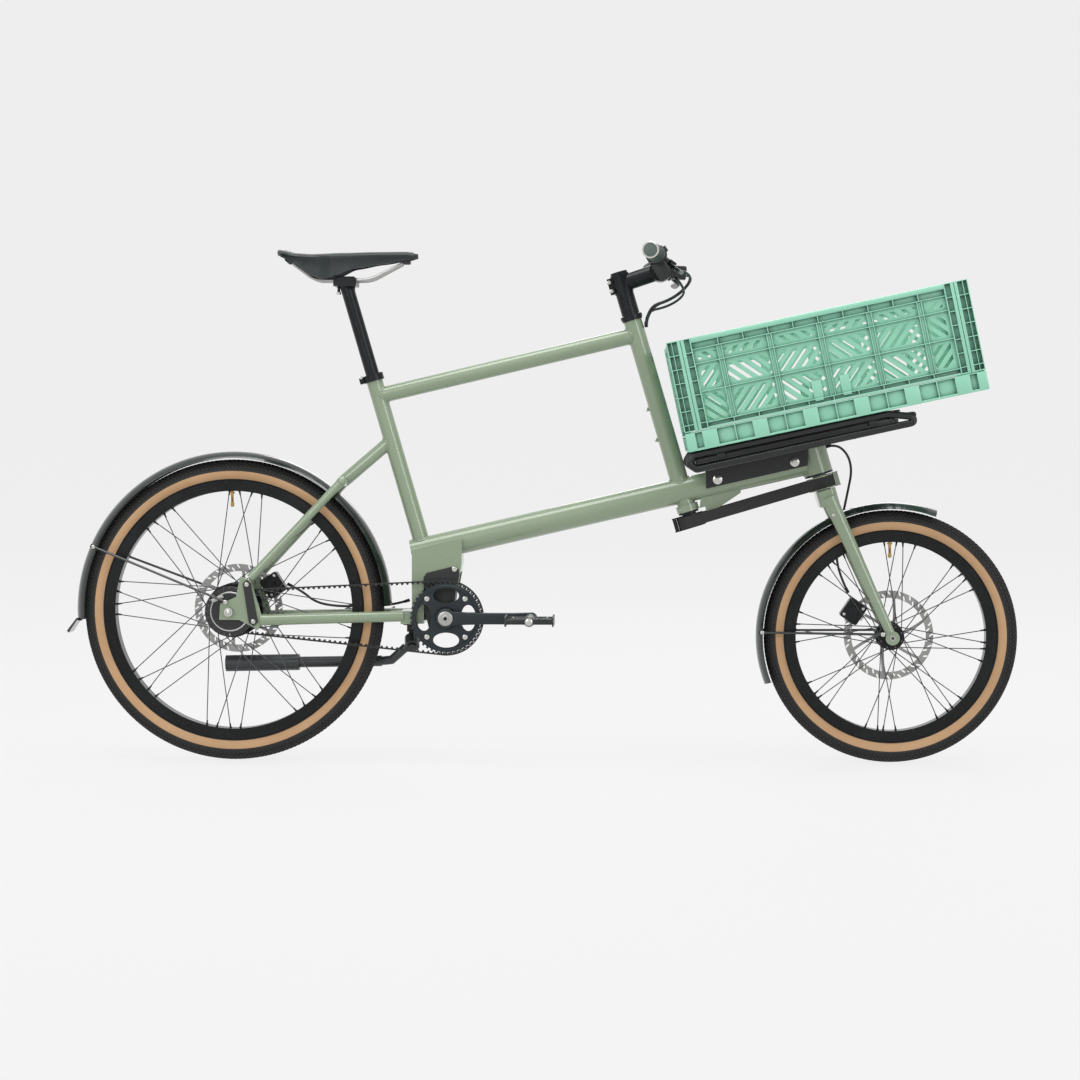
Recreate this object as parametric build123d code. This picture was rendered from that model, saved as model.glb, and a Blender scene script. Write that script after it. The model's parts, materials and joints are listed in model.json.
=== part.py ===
from build123d import *
import os
from math import asin, atan2, cos, degrees, pi, radians, sin, sqrt, tan

# Cargo bicycle, millimetres.
# Frame: origin on the ground, mid-length and mid-plane. +X is forward, +Z up,
# -Y is the rider's right-hand side, where the drive belt is.
# Lengths named from_rear are measured forward from the rear axle.

# ---- wheels
WHEELBASE = 1320.0
REAR_BEAD_R = 253.5          # 24 inch rim, 507 mm bead seat
FRONT_BEAD_R = 203.0         # 20 inch rim, 406 mm bead seat
TYRE_WIDTH = 50.0
TYRE_WALL = 3.5
RIM_WIDTH = 31.0
RIM_ABOVE_BEAD = 7.5
RIM_DEPTH = 21.0
RIM_WALL = 2.0
VALVE_R = 3.0
SPOKE_R = 1.0
SPOKES_PER_SIDE = 16
NIPPLE_BITE = 2.0            # how far a spoke reaches into the rim
ROTOR_R = 90.0
ROTOR_THICK = 1.8
ROTOR_TRACK = 15.0
ROTOR_ARMS = 6
CALIPER_WIDTH = 28.0

# ---- hubs and axles
REAR_HUB_SPACING = 135.0
FRONT_HUB_SPACING = 100.0
REAR_AXLE_R = 5.0
FRONT_AXLE_R = 6.0
RUNNING_GAP = 0.05           # radial gap of every running fit
SIDE_GAP = 0.5               # gap beside a turning face
REAR_HUB_R = 42.0
REAR_FLANGE_R = 50.0
FRONT_HUB_R = 12.0
FRONT_FLANGE_R = 22.0
ROTOR_INBOARD = 15.0         # rotor plane to dropout face

# ---- frame
MAIN_TUBE_R = 25.4
MAIN_TUBE_WALL = 2.5
MAIN_TUBE_RISE = 12.93       # degrees
MAIN_TUBE_AT = (632.0, 482.0)
MAIN_TUBE_BACK = 360.0       # its rear end, from_rear
SEATPOST_R = 13.6
SEAT_TUBE_WALL = 2.85
SEAT_TUBE_R = SEATPOST_R + RUNNING_GAP + SEAT_TUBE_WALL
SEAT_TILT = 16.3             # degrees back from vertical
SEAT_TUBE_AT = (336.0, 589.0)
SEAT_TUBE_TOP_Z = 776.0
TOP_TUBE_R = 16.0
TOP_TUBE_WALL = 2.0
TOP_TUBE_RISE = 13.2
TOP_TUBE_AT = (533.0, 791.0)
STEER_TILT = 16.4            # degrees back from vertical
COLUMN_PULLEY_AT = (921.4, 484.0)
PULLEY_SPAN = 271.0
COLUMN_R = 18.5
COLUMN_BORE_R = 16.0
COLUMN_LOW = 20.0            # along the steering axis, from the pulley's middle
COLUMN_TOP = 418.0
BOSS_HEIGHTS = (175.0, 239.0)   # two M5 accessory bosses, 64 mm apart
BOSS_HOLE_R = 2.1
BOSS_R = 4.0
BOSS_REACH = 4.0             # beyond the column's surface
COLLAR_HEIGHT = 14.0
COLLAR_WALL = 4.0
HEAD_TUBE_R = 29.0
HEAD_TUBE_BORE_R = 22.0
HEAD_TUBE_LOW = 20.0
HEAD_TUBE_TOP = 88.0
CUP_HEIGHT = 4.0
DUST_COVER_HEIGHT = 7.0
CHAIN_STAY_R = 11.0
SEAT_STAY_R = 8.5
STAY_WALL = 1.5
MONO_STAY_R = 13.0
DROPOUT_THICK = 8.0
BB_AT = (432.0, 291.0)
BB_HALF_WIDTH = 36.5
YOKE_AT = (352.0, 290.5)
YOKE_SIZE = (24.0, 84.0, 26.0)
BRACKET_LEG = 24.0
BRACKET_FRONT = 462.0
BRACKET_HALF_WIDTH = 34.0
BRACKET_WALL = 3.0
BRACKET_FOOT_Z = 352.0

# ---- drive
BELT_PITCH = 10.5
FRONT_TEETH = 44
REAR_TEETH = 24
BELT_WIDTH = 11.0
BELT_BACK = 2.0              # belt outside its pitch line
BELT_LAND = 0.5              # belt inside its pitch line, between teeth
TOOTH_DEPTH = 4.0
TOOTH_SHARE = 0.42           # of the pitch
BELT_LINE = 48.0             # belt's mid-plane to the bicycle's
CRANK_LENGTH = 170.0
CRANK_AXLE_R = 12.0
CRANK_INNER_Y = 61.0
CRANK_THICK = 15.0
CRANK_HEIGHT = 27.0
CRANK_EYE_R = 22.0
SPIDER_OFFSET = 1.0          # the spider's inner face outside the belt line
SPIDER_THICK = 5.0
PEDAL_SPINDLE_R = 4.5
PEDAL_EYE_R = 6.5
SPINDLE_LENGTH = 88.0
PEDAL_LENGTH = 96.0          # along the bicycle
PEDAL_HEIGHT = 20.0
PEDAL_GAP = 3.0              # crank to pedal
PEDAL_CAGE_WALL = 5.0

# ---- steering belt
STEER_BELT_R = 25.0          # inside of the belt on both pulleys
STEER_BELT_THICK = 2.5
STEER_BELT_WIDTH = 22.0
SOFT_GAP = 0.35              # clearance round belts and soft parts

# ---- cockpit, along and across the steering axis
SPACER_COUNT = 5
SPACER_HEIGHT = 9.0
SPACER_R = 18.0
STEERER_R = 14.3
STEM_REACH = 81.0
STEM_CLAMP_HEIGHT = 39.0
BAR_CLAMP_R = 15.9
BAR_R = 11.1
BAR_HALF = 318.0
BAR_STRAIGHT = 178.0         # the straight outer part that the grip and lever are on
BAR_SWEEP = 17.5
BAR_RISE = 20.0
GRIP_R = 16.0
GRIP_LENGTH = 128.0
SLEEVE_LENGTH = 46.0         # twist part of the right grip
LEVER_DROP = 53.4            # degrees below the stem's plane
LEVER_CLAMP_GAP = 26.0       # grip's inner end to the middle of the lever's clamp
LEVER_CLAMP_R = 16.0
LEVER_CLAMP_WIDTH = 12.0
LEVER_PIN = (34.0, 5.0)      # in the lever's plane, from the middle of its clamp
LEVER_PIN_R = 2.5
LEVER_THICK = 8.0

# ---- saddle
SADDLE_LENGTH = 277.0
SADDLE_HALF_WIDTH = 80.0
SADDLE_TOP_Z = 1027.0
SADDLE_BACK = 96.0           # from_rear
SEATPOST_TOP_Z = 958.0
SEATPOST_IN_FRAME = 120.0
RAIL_R = 3.5
RAIL_SPREAD = 22.0
RAIL_ABOVE_POST = 8.0

# ---- cargo
CRATE_LENGTH = 590.0
CRATE_WIDTH = 394.0
CRATE_HEIGHT = 216.0
CRATE_WALL = 12.0
CRATE_BASE = 26.0
CRATE_TILT = 12.0
CRATE_CORNER = (913.0, 621.7)   # its lower rear edge, from_rear and height
CRATE_GAP = 0.6
CRATE_FLOOR = 8.0
END_WALL_SET_IN = 0.5
HINGE_BEAD_R = 2.5
RACK_LENGTH = 452.0
RACK_HALF_WIDTH = 184.0
RACK_DEPTH = 42.0
RACK_TUBE_R = 7.0
RACK_NOSE = 62.0
RACK_CROSS_R = 6.0
SLAT_THICK = 8.0
BRACKET_BACK = 950.0
BRACKET_NOSE = 1152.0
BRACKET_BOLTS = (973.0, 1126.0)

# ---- fenders and stand
FENDER_GAP = 14.0            # tyre to the inside of the fender's crown
FENDER_THICK = 2.0
FENDER_HALF_WIDTH = 29.0
FENDER_CROWN_R = 38.0
REAR_FENDER_FROM = 2.0       # degrees above straight ahead
REAR_FENDER_TO = 184.0
FRONT_FENDER_FROM = 70.0
FRONT_FENDER_TO = 201.0
FLAP_REACH = 18.0            # flap tip behind the fender
STAND_LENGTH = 380.0
STAND_Y = 40.0
STAND_PIVOT = (356.0, 236.0)
STAND_PIN_R = 5.0

REAR_TYRE_R = REAR_BEAD_R + TYRE_WIDTH
FRONT_TYRE_R = FRONT_BEAD_R + TYRE_WIDTH
REAR_FENDER_R = REAR_TYRE_R + FENDER_GAP + FENDER_THICK
FRONT_FENDER_R = FRONT_TYRE_R + FENDER_GAP + FENDER_THICK
BACK_REACH = REAR_FENDER_R + FLAP_REACH
REAR_X = (BACK_REACH - WHEELBASE - FRONT_TYRE_R) / 2
UP = (-sin(radians(STEER_TILT)), 0, cos(radians(STEER_TILT)))
AHEAD = (cos(radians(STEER_TILT)), 0, sin(radians(STEER_TILT)))


def at(from_rear, y, z):
    """A point given by its distance ahead of the rear axle."""
    return Vector(REAR_X + from_rear, y, z)


COLUMN = Plane(at(COLUMN_PULLEY_AT[0], 0, COLUMN_PULLEY_AT[1]), x_dir=AHEAD, z_dir=UP)
FORK = Plane(COLUMN.origin + Vector(*AHEAD) * PULLEY_SPAN, x_dir=AHEAD, z_dir=UP)
CRATE = Plane(
    at(CRATE_CORNER[0], 0, CRATE_CORNER[1]),
    x_dir=(cos(radians(CRATE_TILT)), 0, sin(radians(CRATE_TILT))),
    z_dir=(-sin(radians(CRATE_TILT)), 0, cos(radians(CRATE_TILT))),
)
REAR_AXLE = at(0, 0, REAR_TYRE_R)
FRONT_AXLE = at(WHEELBASE, 0, FRONT_TYRE_R)
BB = at(BB_AT[0], 0, BB_AT[1])
FRONT_PITCH_R = FRONT_TEETH * BELT_PITCH / (2 * pi)
REAR_PITCH_R = REAR_TEETH * BELT_PITCH / (2 * pi)
SPACERS_LOW = COLUMN_TOP + CUP_HEIGHT + DUST_COVER_HEIGHT + 1
STEM_MID = SPACERS_LOW + SPACER_COUNT * SPACER_HEIGHT + STEM_CLAMP_HEIGHT / 2
BACKWARD_Y = Axis((0, 0, 0), (0, -1, 0))


# ---------------------------------------------------------------- helpers
def rod(start, end, radius):
    """A solid bar between two points."""
    start = Vector(*start)
    run = Vector(*end) - start
    return extrude(Plane(start, z_dir=run) * Circle(radius), run.length)


def pipe(start, end, radius, wall):
    """A tube between two points, open at both ends."""
    return rod(start, end, radius) - rod(start, end, radius - wall)


def cross_rod(x, z, y_low, y_high, radius):
    """A bar across the bicycle, along Y."""
    return rod((x, y_low, z), (x, y_high, z), radius)


def group(*solids):
    """Separate solids kept together as one node."""
    flat = []
    for item in solids:
        flat += list(item.solids())
    return Compound(children=flat)


def turned(section, degrees_from=0.0, degrees_over=360.0):
    """A section drawn as (radius, Y) turned about Y, from straight ahead upwards."""
    swept = revolve(section, axis=BACKWARD_Y, revolution_arc=degrees_over)
    return Rot(0, -degrees_from, 0) * swept


def ring(inner, outer, y_low, y_high):
    """A plain ring about Y."""
    section = Pos((inner + outer) / 2, (y_low + y_high) / 2) * Rectangle(outer - inner, y_high - y_low)
    return turned(section)


def plate(points, y_low, y_high):
    """A flat plate whose outline is a list of (x, z) points."""
    face = Plane.XZ * make_face(Polyline(*points, close=True))
    return Pos(0, y_high, 0) * extrude(face, y_high - y_low)


def across(solid):
    """A solid made along Z, laid along Y."""
    return Rot(90, 0, 0) * solid


def loop_face(radius_a, radius_b, span):
    """The outline of a belt round two circles, the second at +X."""
    lean = asin((radius_a - radius_b) / span)
    corners = []
    for side in (1, -1):
        corners.append((radius_a * sin(lean), side * radius_a * cos(lean)))
        corners.append((span + radius_b * sin(lean), side * radius_b * cos(lean)))
    quad = make_face(Polyline(corners[0], corners[1], corners[3], corners[2], close=True))
    return Circle(radius_a) + Pos(span, 0) * Circle(radius_b) + quad


def path_tube(points, radii, radius):
    """A round cord along straight runs joined by tangent arcs."""
    path = FilletPolyline(*points, radius=radii)
    start = path @ 0
    profile = Plane(start, z_dir=path % 0) * Circle(radius)
    return sweep(profile, path=path)


def bend_radii(points, share=0.45):
    """The largest tangent arc that each corner's two runs leave room for."""
    radii = []
    for before, corner, after in zip(points, points[1:], points[2:]):
        into = Vector(*corner) - Vector(*before)
        out = Vector(*after) - Vector(*corner)
        half_turn = radians(into.get_angle(out)) / 2
        radii.append(share * min(into.length, out.length) / tan(half_turn))
    return radii


# ---------------------------------------------------------------- wheels
def tyre(bead_r):
    outer = Pos(bead_r + TYRE_WIDTH / 2) * Circle(TYRE_WIDTH / 2)
    hollow = Pos(bead_r + TYRE_WIDTH / 2) * Circle(TYRE_WIDTH / 2 - TYRE_WALL)
    rim_top = bead_r + RIM_ABOVE_BEAD
    outer -= Pos(rim_top - TYRE_WIDTH / 2) * Rectangle(TYRE_WIDTH, TYRE_WIDTH)
    bead_half = RIM_WIDTH / 2 - RIM_WALL - 0.3
    outer += Pos(bead_r + RIM_ABOVE_BEAD / 2 + 1) * Rectangle(RIM_ABOVE_BEAD + 1, 2 * bead_half)
    mouth = 2 * (bead_half - TYRE_WALL)
    hollow += Pos(bead_r + RIM_ABOVE_BEAD / 2) * Rectangle(RIM_ABOVE_BEAD + 4, mouth)
    return turned(outer - hollow)


def inner_tube(bead_r, valve_angle):
    tube_r = TYRE_WIDTH / 2 - TYRE_WALL - SOFT_GAP
    mid = bead_r + TYRE_WIDTH / 2
    skin = Pos(mid) * Circle(tube_r) - Pos(mid) * Circle(tube_r - 1)
    body = turned(skin)
    tip = bead_r + RIM_ABOVE_BEAD - RIM_DEPTH - 24
    stem = rod((tip, 0, 0), (mid - tube_r + 0.5, 0, 0), VALVE_R)
    cap = rod((tip - 8, 0, 0), (tip, 0, 0), VALVE_R + 1)
    return group(body + Rot(0, -valve_angle, 0) * stem, Rot(0, -valve_angle, 0) * cap)


def rim(bead_r, valve_angle):
    top = bead_r + RIM_ABOVE_BEAD
    low = top - RIM_DEPTH
    section = Pos((top + low) / 2) * Rectangle(RIM_DEPTH, RIM_WIDTH)
    section -= Pos(bead_r + 20 - 1) * Rectangle(40, RIM_WIDTH - 2 * RIM_WALL)
    well = (bead_r - 1 - RIM_WALL) - (low + RIM_WALL)
    section -= Pos(low + RIM_WALL + well / 2) * Rectangle(well, RIM_WIDTH - 2 * RIM_WALL - 2)
    hole = rod((low - 5, 0, 0), (top, 0, 0), VALVE_R + 0.5)
    return turned(section) - Rot(0, -valve_angle, 0) * hole


def spokes(flange_r, flange_y, rim_inner_r, rim_y):
    """Crossed spokes: each leaves its flange nearly at a tangent."""
    bars = []
    step = 360 / SPOKES_PER_SIDE
    lean = 68
    for side in (-1, 1):
        for index in range(SPOKES_PER_SIDE):
            hand = 1 if index % 2 else -1
            low = radians(index * step + (step / 2 if side > 0 else 0))
            high = low + hand * radians(lean) * (1 - flange_r / rim_inner_r)
            inside = hand * 1.2
            start = (flange_r * cos(low), side * (flange_y + inside), flange_r * sin(low))
            reach = rim_inner_r + NIPPLE_BITE
            end = (reach * cos(high), side * rim_y, reach * sin(high))
            bars.append(rod(start, end, SPOKE_R))
    return group(*bars)


def rotor(y_mid, bolt_circle):
    """Brake disc with a slotted ring and curved arms."""
    ring_in = ROTOR_R - ROTOR_TRACK
    flat = Circle(ROTOR_R) - Circle(ring_in)
    slot = Rot(0, 0, 35) * SlotOverall(9, 3)
    for radius, shift in ((ROTOR_R - 4.5, 0), (ROTOR_R - 10.5, 7.5)):
        for index in range(24):
            flat -= Rot(0, 0, index * 15 + shift) * Pos(radius, 0) * slot
    boss = Circle(bolt_circle + 6) - Circle(bolt_circle - 6)
    for index in range(ROTOR_ARMS):
        start = Vector(bolt_circle, 0, 0)
        mid = Vector(bolt_circle + 24, 13, 0)
        end = Vector(ring_in + 2, 34, 0)
        line = ThreePointArc(start, mid, end)
        arm = trace(line, line_width=6)
        flat += Rot(0, 0, index * 360 / ROTOR_ARMS) * arm
    flat += boss
    for index in range(6):
        flat -= Rot(0, 0, index * 60 + 30) * Pos(bolt_circle, 0) * Circle(2.6)
    flat -= Circle(bolt_circle - 6)
    disc = across(extrude(flat, ROTOR_THICK))
    return Pos(0, y_mid + ROTOR_THICK / 2, 0) * disc


def hub_shell(axle_r, body_r, flange_r, flange_y, y_low, y_high, rotor_y, bolt_circle):
    """A hub shell with two spoke flanges and a rotor boss on the left side."""
    shell = ring(axle_r + RUNNING_GAP, body_r, -flange_y, flange_y)
    for side in (-1, 1):
        shell += ring(axle_r + RUNNING_GAP, flange_r + 4, side * flange_y - 2, side * flange_y + 2)
    face = rotor_y - ROTOR_THICK / 2
    shell += ring(axle_r + RUNNING_GAP, bolt_circle + 6, flange_y, face)
    shell += ring(axle_r + RUNNING_GAP, bolt_circle - 6.2, face, y_high)
    shell += ring(axle_r + RUNNING_GAP, min(body_r, 18), y_low, -flange_y)
    return shell


def wheel(bead_r, hub, flange_r, flange_y, rotor_y, bolt_circle, valve_angle, centre):
    rim_in = bead_r + RIM_ABOVE_BEAD - RIM_DEPTH
    parts = {
        "tyre": tyre(bead_r),
        "inner_tube": inner_tube(bead_r, valve_angle),
        "rim": rim(bead_r, valve_angle),
        "spokes": spokes(flange_r, flange_y, rim_in, 4),
        "hub": hub,
        "rotor": rotor(rotor_y, bolt_circle),
    }
    return {name: Pos(*centre) * solid for name, solid in parts.items()}


def rear_wheel():
    face = REAR_HUB_SPACING / 2
    rotor_y = face - ROTOR_INBOARD
    flange_y = 28.0
    low = -(BELT_LINE - BELT_WIDTH / 2 - 3)
    hub = hub_shell(REAR_AXLE_R, REAR_HUB_R, REAR_FLANGE_R, flange_y, low, face - 6, rotor_y, 22)
    parts = wheel(REAR_BEAD_R, hub, REAR_FLANGE_R, flange_y, rotor_y, 22, 91, REAR_AXLE)
    return {"rear_" + name: solid for name, solid in parts.items()}


def front_wheel():
    face = FRONT_HUB_SPACING / 2
    rotor_y = face - ROTOR_INBOARD
    flange_y = 24.0
    low = -(face - SIDE_GAP)
    hub = hub_shell(
        FRONT_AXLE_R, FRONT_HUB_R, FRONT_FLANGE_R, flange_y, low, face - SIDE_GAP, rotor_y, 22
    )
    parts = wheel(FRONT_BEAD_R, hub, FRONT_FLANGE_R, flange_y, rotor_y, 22, 90.5, FRONT_AXLE)
    return {"front_" + name: solid for name, solid in parts.items()}


# ---------------------------------------------------------------- frame
def main_axis_z(from_rear):
    return MAIN_TUBE_AT[1] + (from_rear - MAIN_TUBE_AT[0]) * tan(radians(MAIN_TUBE_RISE))


def seat_axis(z):
    return at(SEAT_TUBE_AT[0] - (z - SEAT_TUBE_AT[1]) * tan(radians(SEAT_TILT)), 0, z)


def local(plane, u, v, w):
    """A point given in a tilted plane's own directions."""
    return plane.from_local_coords(Vector(u, v, w))


HEAD_AXIS_LOW = local(FORK, 0, 0, HEAD_TUBE_LOW)
HEAD_AXIS_TOP = local(FORK, 0, 0, HEAD_TUBE_TOP)
COLUMN_AXIS_LOW = local(COLUMN, 0, 0, COLUMN_LOW)
COLUMN_AXIS_TOP = local(COLUMN, 0, 0, COLUMN_TOP)


def main_tube():
    front = FORK.origin.X - REAR_X
    start = at(MAIN_TUBE_BACK, 0, main_axis_z(MAIN_TUBE_BACK))
    end = at(front, 0, main_axis_z(front))
    tube = pipe(start, end, MAIN_TUBE_R, MAIN_TUBE_WALL)
    tube += rod(start, start + (end - start).normalized() * 3, MAIN_TUBE_R)
    tube -= rod(HEAD_AXIS_LOW - Vector(*UP) * 60, HEAD_AXIS_TOP + Vector(*UP) * 60, HEAD_TUBE_R)
    tube -= rod(COLUMN_AXIS_LOW, COLUMN_AXIS_TOP, COLUMN_R)
    return tube.solids().sort_by(SortBy.VOLUME)[-1]


def main_outer():
    """The main tube's outside as a solid bar, to cut what meets it."""
    front = FORK.origin.X - REAR_X
    back = MAIN_TUBE_BACK
    return rod(at(back, 0, main_axis_z(back)), at(front, 0, main_axis_z(front)), MAIN_TUBE_R)


def seat_tube():
    low_z = main_axis_z(384) + 2
    tube = pipe(seat_axis(low_z), seat_axis(SEAT_TUBE_TOP_Z), SEAT_TUBE_R, SEAT_TUBE_WALL)
    slot_top = seat_axis(SEAT_TUBE_TOP_Z)
    slot = Pos(slot_top.X - SEAT_TUBE_R, 0, slot_top.Z - 8) * Box(SEAT_TUBE_R * 1.2, 2, 40)
    tube = tube - main_outer() - slot
    return tube.solids().sort_by(SortBy.VOLUME)[-1]


def top_axis(from_rear):
    rise = (from_rear - TOP_TUBE_AT[0]) * tan(radians(TOP_TUBE_RISE))
    return at(from_rear, 0, TOP_TUBE_AT[1] + rise)


def top_tube():
    tube = pipe(top_axis(290), top_axis(820), TOP_TUBE_R, TOP_TUBE_WALL)
    tube -= rod(seat_axis(600), seat_axis(SEAT_TUBE_TOP_Z + 10), SEAT_TUBE_R)
    tube -= rod(COLUMN_AXIS_LOW, COLUMN_AXIS_TOP, COLUMN_R)
    return tube.solids().sort_by(SortBy.VOLUME)[-1]


def head_column():
    """The tall steering tube with its lower collar and two accessory bosses on its back."""
    tube = pipe(COLUMN_AXIS_LOW, COLUMN_AXIS_TOP, COLUMN_R, COLUMN_R - COLUMN_BORE_R)
    height = COLLAR_HEIGHT
    collar = Cylinder(COLUMN_R + COLLAR_WALL, height) - Cylinder(COLUMN_BORE_R, height)
    tube += COLUMN * Pos(0, 0, COLUMN_LOW + height / 2) * collar
    root = COLUMN_R - 1          # a boss starts inside the tube's wall
    depth = BOSS_REACH + COLUMN_R - root
    for w in BOSS_HEIGHTS:
        tube += COLUMN * Pos(-root - depth / 2, 0, w) * Rot(0, 90, 0) * Cylinder(BOSS_R, depth)
        tube -= COLUMN * Pos(-COLUMN_R, 0, w) * Rot(0, 90, 0) * Cylinder(BOSS_HOLE_R, 3 * BOSS_REACH)
    return tube


def front_head_tube():
    """The fork's head tube, at the front end of the main tube."""
    body = FORK * Pos(0, 0, HEAD_TUBE_LOW) * Cylinder(
        HEAD_TUBE_R, HEAD_TUBE_TOP - HEAD_TUBE_LOW, align=(Align.CENTER, Align.CENTER, Align.MIN)
    )
    body -= rod(HEAD_AXIS_LOW - Vector(*UP) * 5, HEAD_AXIS_TOP + Vector(*UP) * 5, HEAD_TUBE_BORE_R)
    return body


def column_gusset():
    """A folded triangular web under the main tube, ahead of the column."""
    x_back = COLUMN_PULLEY_AT[0] + COLUMN_R + 2
    x_tip = 1020.0
    low = main_axis_z(x_back) - MAIN_TUBE_R - 34
    points = [
        (REAR_X + x_back, main_axis_z(x_back) - 8),
        (REAR_X + x_back - 6, low),
        (REAR_X + x_back + 18, low + 6),
        (REAR_X + x_tip, main_axis_z(x_tip) - MAIN_TUBE_R - 5),
        (REAR_X + x_tip, main_axis_z(x_tip) - 8),
    ]
    web = plate(points, -12, 12) - main_outer()
    web -= rod(COLUMN_AXIS_LOW - Vector(*UP) * 30, COLUMN_AXIS_TOP, COLUMN_R + 4)
    web -= rod(COLUMN_AXIS_LOW - Vector(*UP) * 60, COLUMN_AXIS_LOW, STEER_BELT_R + 12)
    return web.solids().sort_by(SortBy.VOLUME)[-1]


def dropout(side):
    """The plate at the rear axle, open to the back for the belt to pass its bolted piece."""
    face = REAR_HUB_SPACING / 2
    points = [(-20, -16), (20, -16), (58, -36), (66, -14), (44, 62), (22, 70), (14, 30), (-18, 16)]
    outline = [(REAR_AXLE.X + x, REAR_AXLE.Z + z) for x, z in points]
    body = plate(outline, face, face + DROPOUT_THICK)
    body -= cross_rod(REAR_AXLE.X, REAR_AXLE.Z, 0, 200, REAR_AXLE_R + 0.1)
    return body if side > 0 else mirror(body, about=Plane.XZ)


def stay_yoke():
    """The block behind the bracket that the two chain stays end in."""
    return Pos(*at(YOKE_AT[0], 0, YOKE_AT[1])) * Box(*YOKE_SIZE)


def chain_stays():
    """Two chain stays with their dropouts and the yoke that joins them."""
    face = REAR_HUB_SPACING / 2
    solids = None
    yoke = stay_yoke()
    for side in (1, -1):
        start = at(62, side * (face + 4), 287)
        end = at(345, side * 38, 293.5)
        stay = pipe(start, end, CHAIN_STAY_R, STAY_WALL)
        piece = dropout(side)
        stay = stay - piece - yoke
        part = stay.solids().sort_by(SortBy.VOLUME)[-1] + piece
        solids = part if solids is None else solids + part
    return solids + yoke


WISHBONE = (222.0, 563.0)


def seat_stays():
    """The single stay behind the seat tube, its cross piece and the two stays to the dropouts."""
    top = seat_axis(646)
    fork_point = at(WISHBONE[0], 0, WISHBONE[1])
    mono = rod(fork_point, top, MONO_STAY_R) - rod(seat_axis(560), seat_axis(740), SEAT_TUBE_R)
    mono = mono.solids().sort_by(SortBy.VOLUME)[-1]
    spread = 45.0
    mono += cross_rod(fork_point.X, fork_point.Z, -spread, spread, SEAT_STAY_R + 1.5)
    face = REAR_HUB_SPACING / 2
    for side in (1, -1):
        start = at(WISHBONE[0], side * spread, WISHBONE[1])
        end = at(42, side * (face + DROPOUT_THICK / 2), 371)
        stay = rod(start, end, SEAT_STAY_R) + Pos(*start) * Sphere(SEAT_STAY_R + 1.5)
        mono += stay - dropout(side)
    return mono


def motor_bracket():
    """The green box under the main tube that carries the bottom bracket housing."""
    back = MAIN_TUBE_BACK + 2
    points = [
        (REAR_X + back, main_axis_z(back) + 4),
        (REAR_X + BRACKET_FRONT, main_axis_z(BRACKET_FRONT) + 4),
        (REAR_X + BRACKET_FRONT, 398),
        (REAR_X + BRACKET_FRONT - 8, BRACKET_FOOT_Z),
        (REAR_X + back + BRACKET_LEG, BRACKET_FOOT_Z),
        (REAR_X + back + BRACKET_LEG, 278),
        (REAR_X + back, 278),
    ]
    body = plate(points, -BRACKET_HALF_WIDTH, BRACKET_HALF_WIDTH)
    length = BRACKET_FRONT - back - 2 * BRACKET_WALL
    room = Pos(REAR_X + back + BRACKET_WALL + length / 2, 0, BRACKET_FOOT_Z)
    body -= room * Box(length, 2 * (BRACKET_HALF_WIDTH - BRACKET_WALL), 2 * 56)
    inside = 2 * (BRACKET_HALF_WIDTH - BRACKET_WALL)
    body -= Pos(REAR_X + back + BRACKET_LEG / 2, 0, 300) * Box(BRACKET_LEG - 2 * BRACKET_WALL, inside, 90)
    body -= main_outer()
    body -= bb_bolts_bore()
    body = body.solids().sort_by(SortBy.VOLUME)[-1]
    return body - stay_yoke()


BB_BOLT = (448.0, 388.0)


def bb_bolts_bore():
    return cross_rod(REAR_X + BB_BOLT[0], BB_BOLT[1], -60, 60, 3.2)


def bb_housing():
    """The black housing that holds the bottom bracket and sets the belt's tension."""
    x_low = BB_AT[0] - 44
    wide = BRACKET_HALF_WIDTH - BRACKET_WALL - 0.2
    upper = plate(
        [
            (REAR_X + x_low, 300),
            (REAR_X + x_low, 384),
            (REAR_X + BRACKET_FRONT - BRACKET_WALL - 2, 400),
            (REAR_X + BRACKET_FRONT - BRACKET_WALL - 12, 320),
            (REAR_X + BB_AT[0] + 16, 282),
            (REAR_X + x_low + 8, 268),
        ],
        -wide,
        wide,
    )
    shell = cross_rod(BB.X, BB.Z, -BB_HALF_WIDTH, BB_HALF_WIDTH, 24)
    body = upper + shell
    body -= cross_rod(BB.X, BB.Z, -60, 60, CRANK_AXLE_R + RUNNING_GAP)
    body -= bb_bolts_bore()
    cover_y = BRACKET_HALF_WIDTH + 0.1
    cover = plate(
        [
            (REAR_X + 386, 350),
            (REAR_X + 386, 372),
            (REAR_X + 392, 380),
            (REAR_X + 440, 392),
            (REAR_X + 456, 388),
            (REAR_X + 457, 376),
            (REAR_X + 452, 350),
        ],
        -cover_y - 3,
        -cover_y,
    )
    cover -= bb_bolts_bore()
    far_cover = mirror(cover, about=Plane.XZ)
    return group(body, cover, far_cover)


def splitter_plate():
    """The black bolted plate that closes the frame where the belt is threaded in."""
    y = -(REAR_HUB_SPACING / 2 + DROPOUT_THICK)
    points = [(28, 57), (36, 64), (44, 57), (58, -20), (50, -28), (40, -22)]
    outline = [(REAR_AXLE.X + x, REAR_AXLE.Z + z) for x, z in points]
    return plate(outline, y - 3, y)


def rear_axle():
    """The axle with its washers and nuts."""
    face = REAR_HUB_SPACING / 2
    axle = cross_rod(REAR_AXLE.X, REAR_AXLE.Z, -face - 22, face + 22, REAR_AXLE_R)
    nuts = None
    for side in (1, -1):
        near = side * (face + DROPOUT_THICK)
        far = side * (face + DROPOUT_THICK + 11)
        nut = Plane(Vector(REAR_AXLE.X, near, REAR_AXLE.Z), z_dir=(0, side, 0)) * RegularPolygon(9, 6)
        solid = extrude(nut, abs(far - near))
        nuts = solid if nuts is None else nuts + solid
    return axle + nuts


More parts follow.
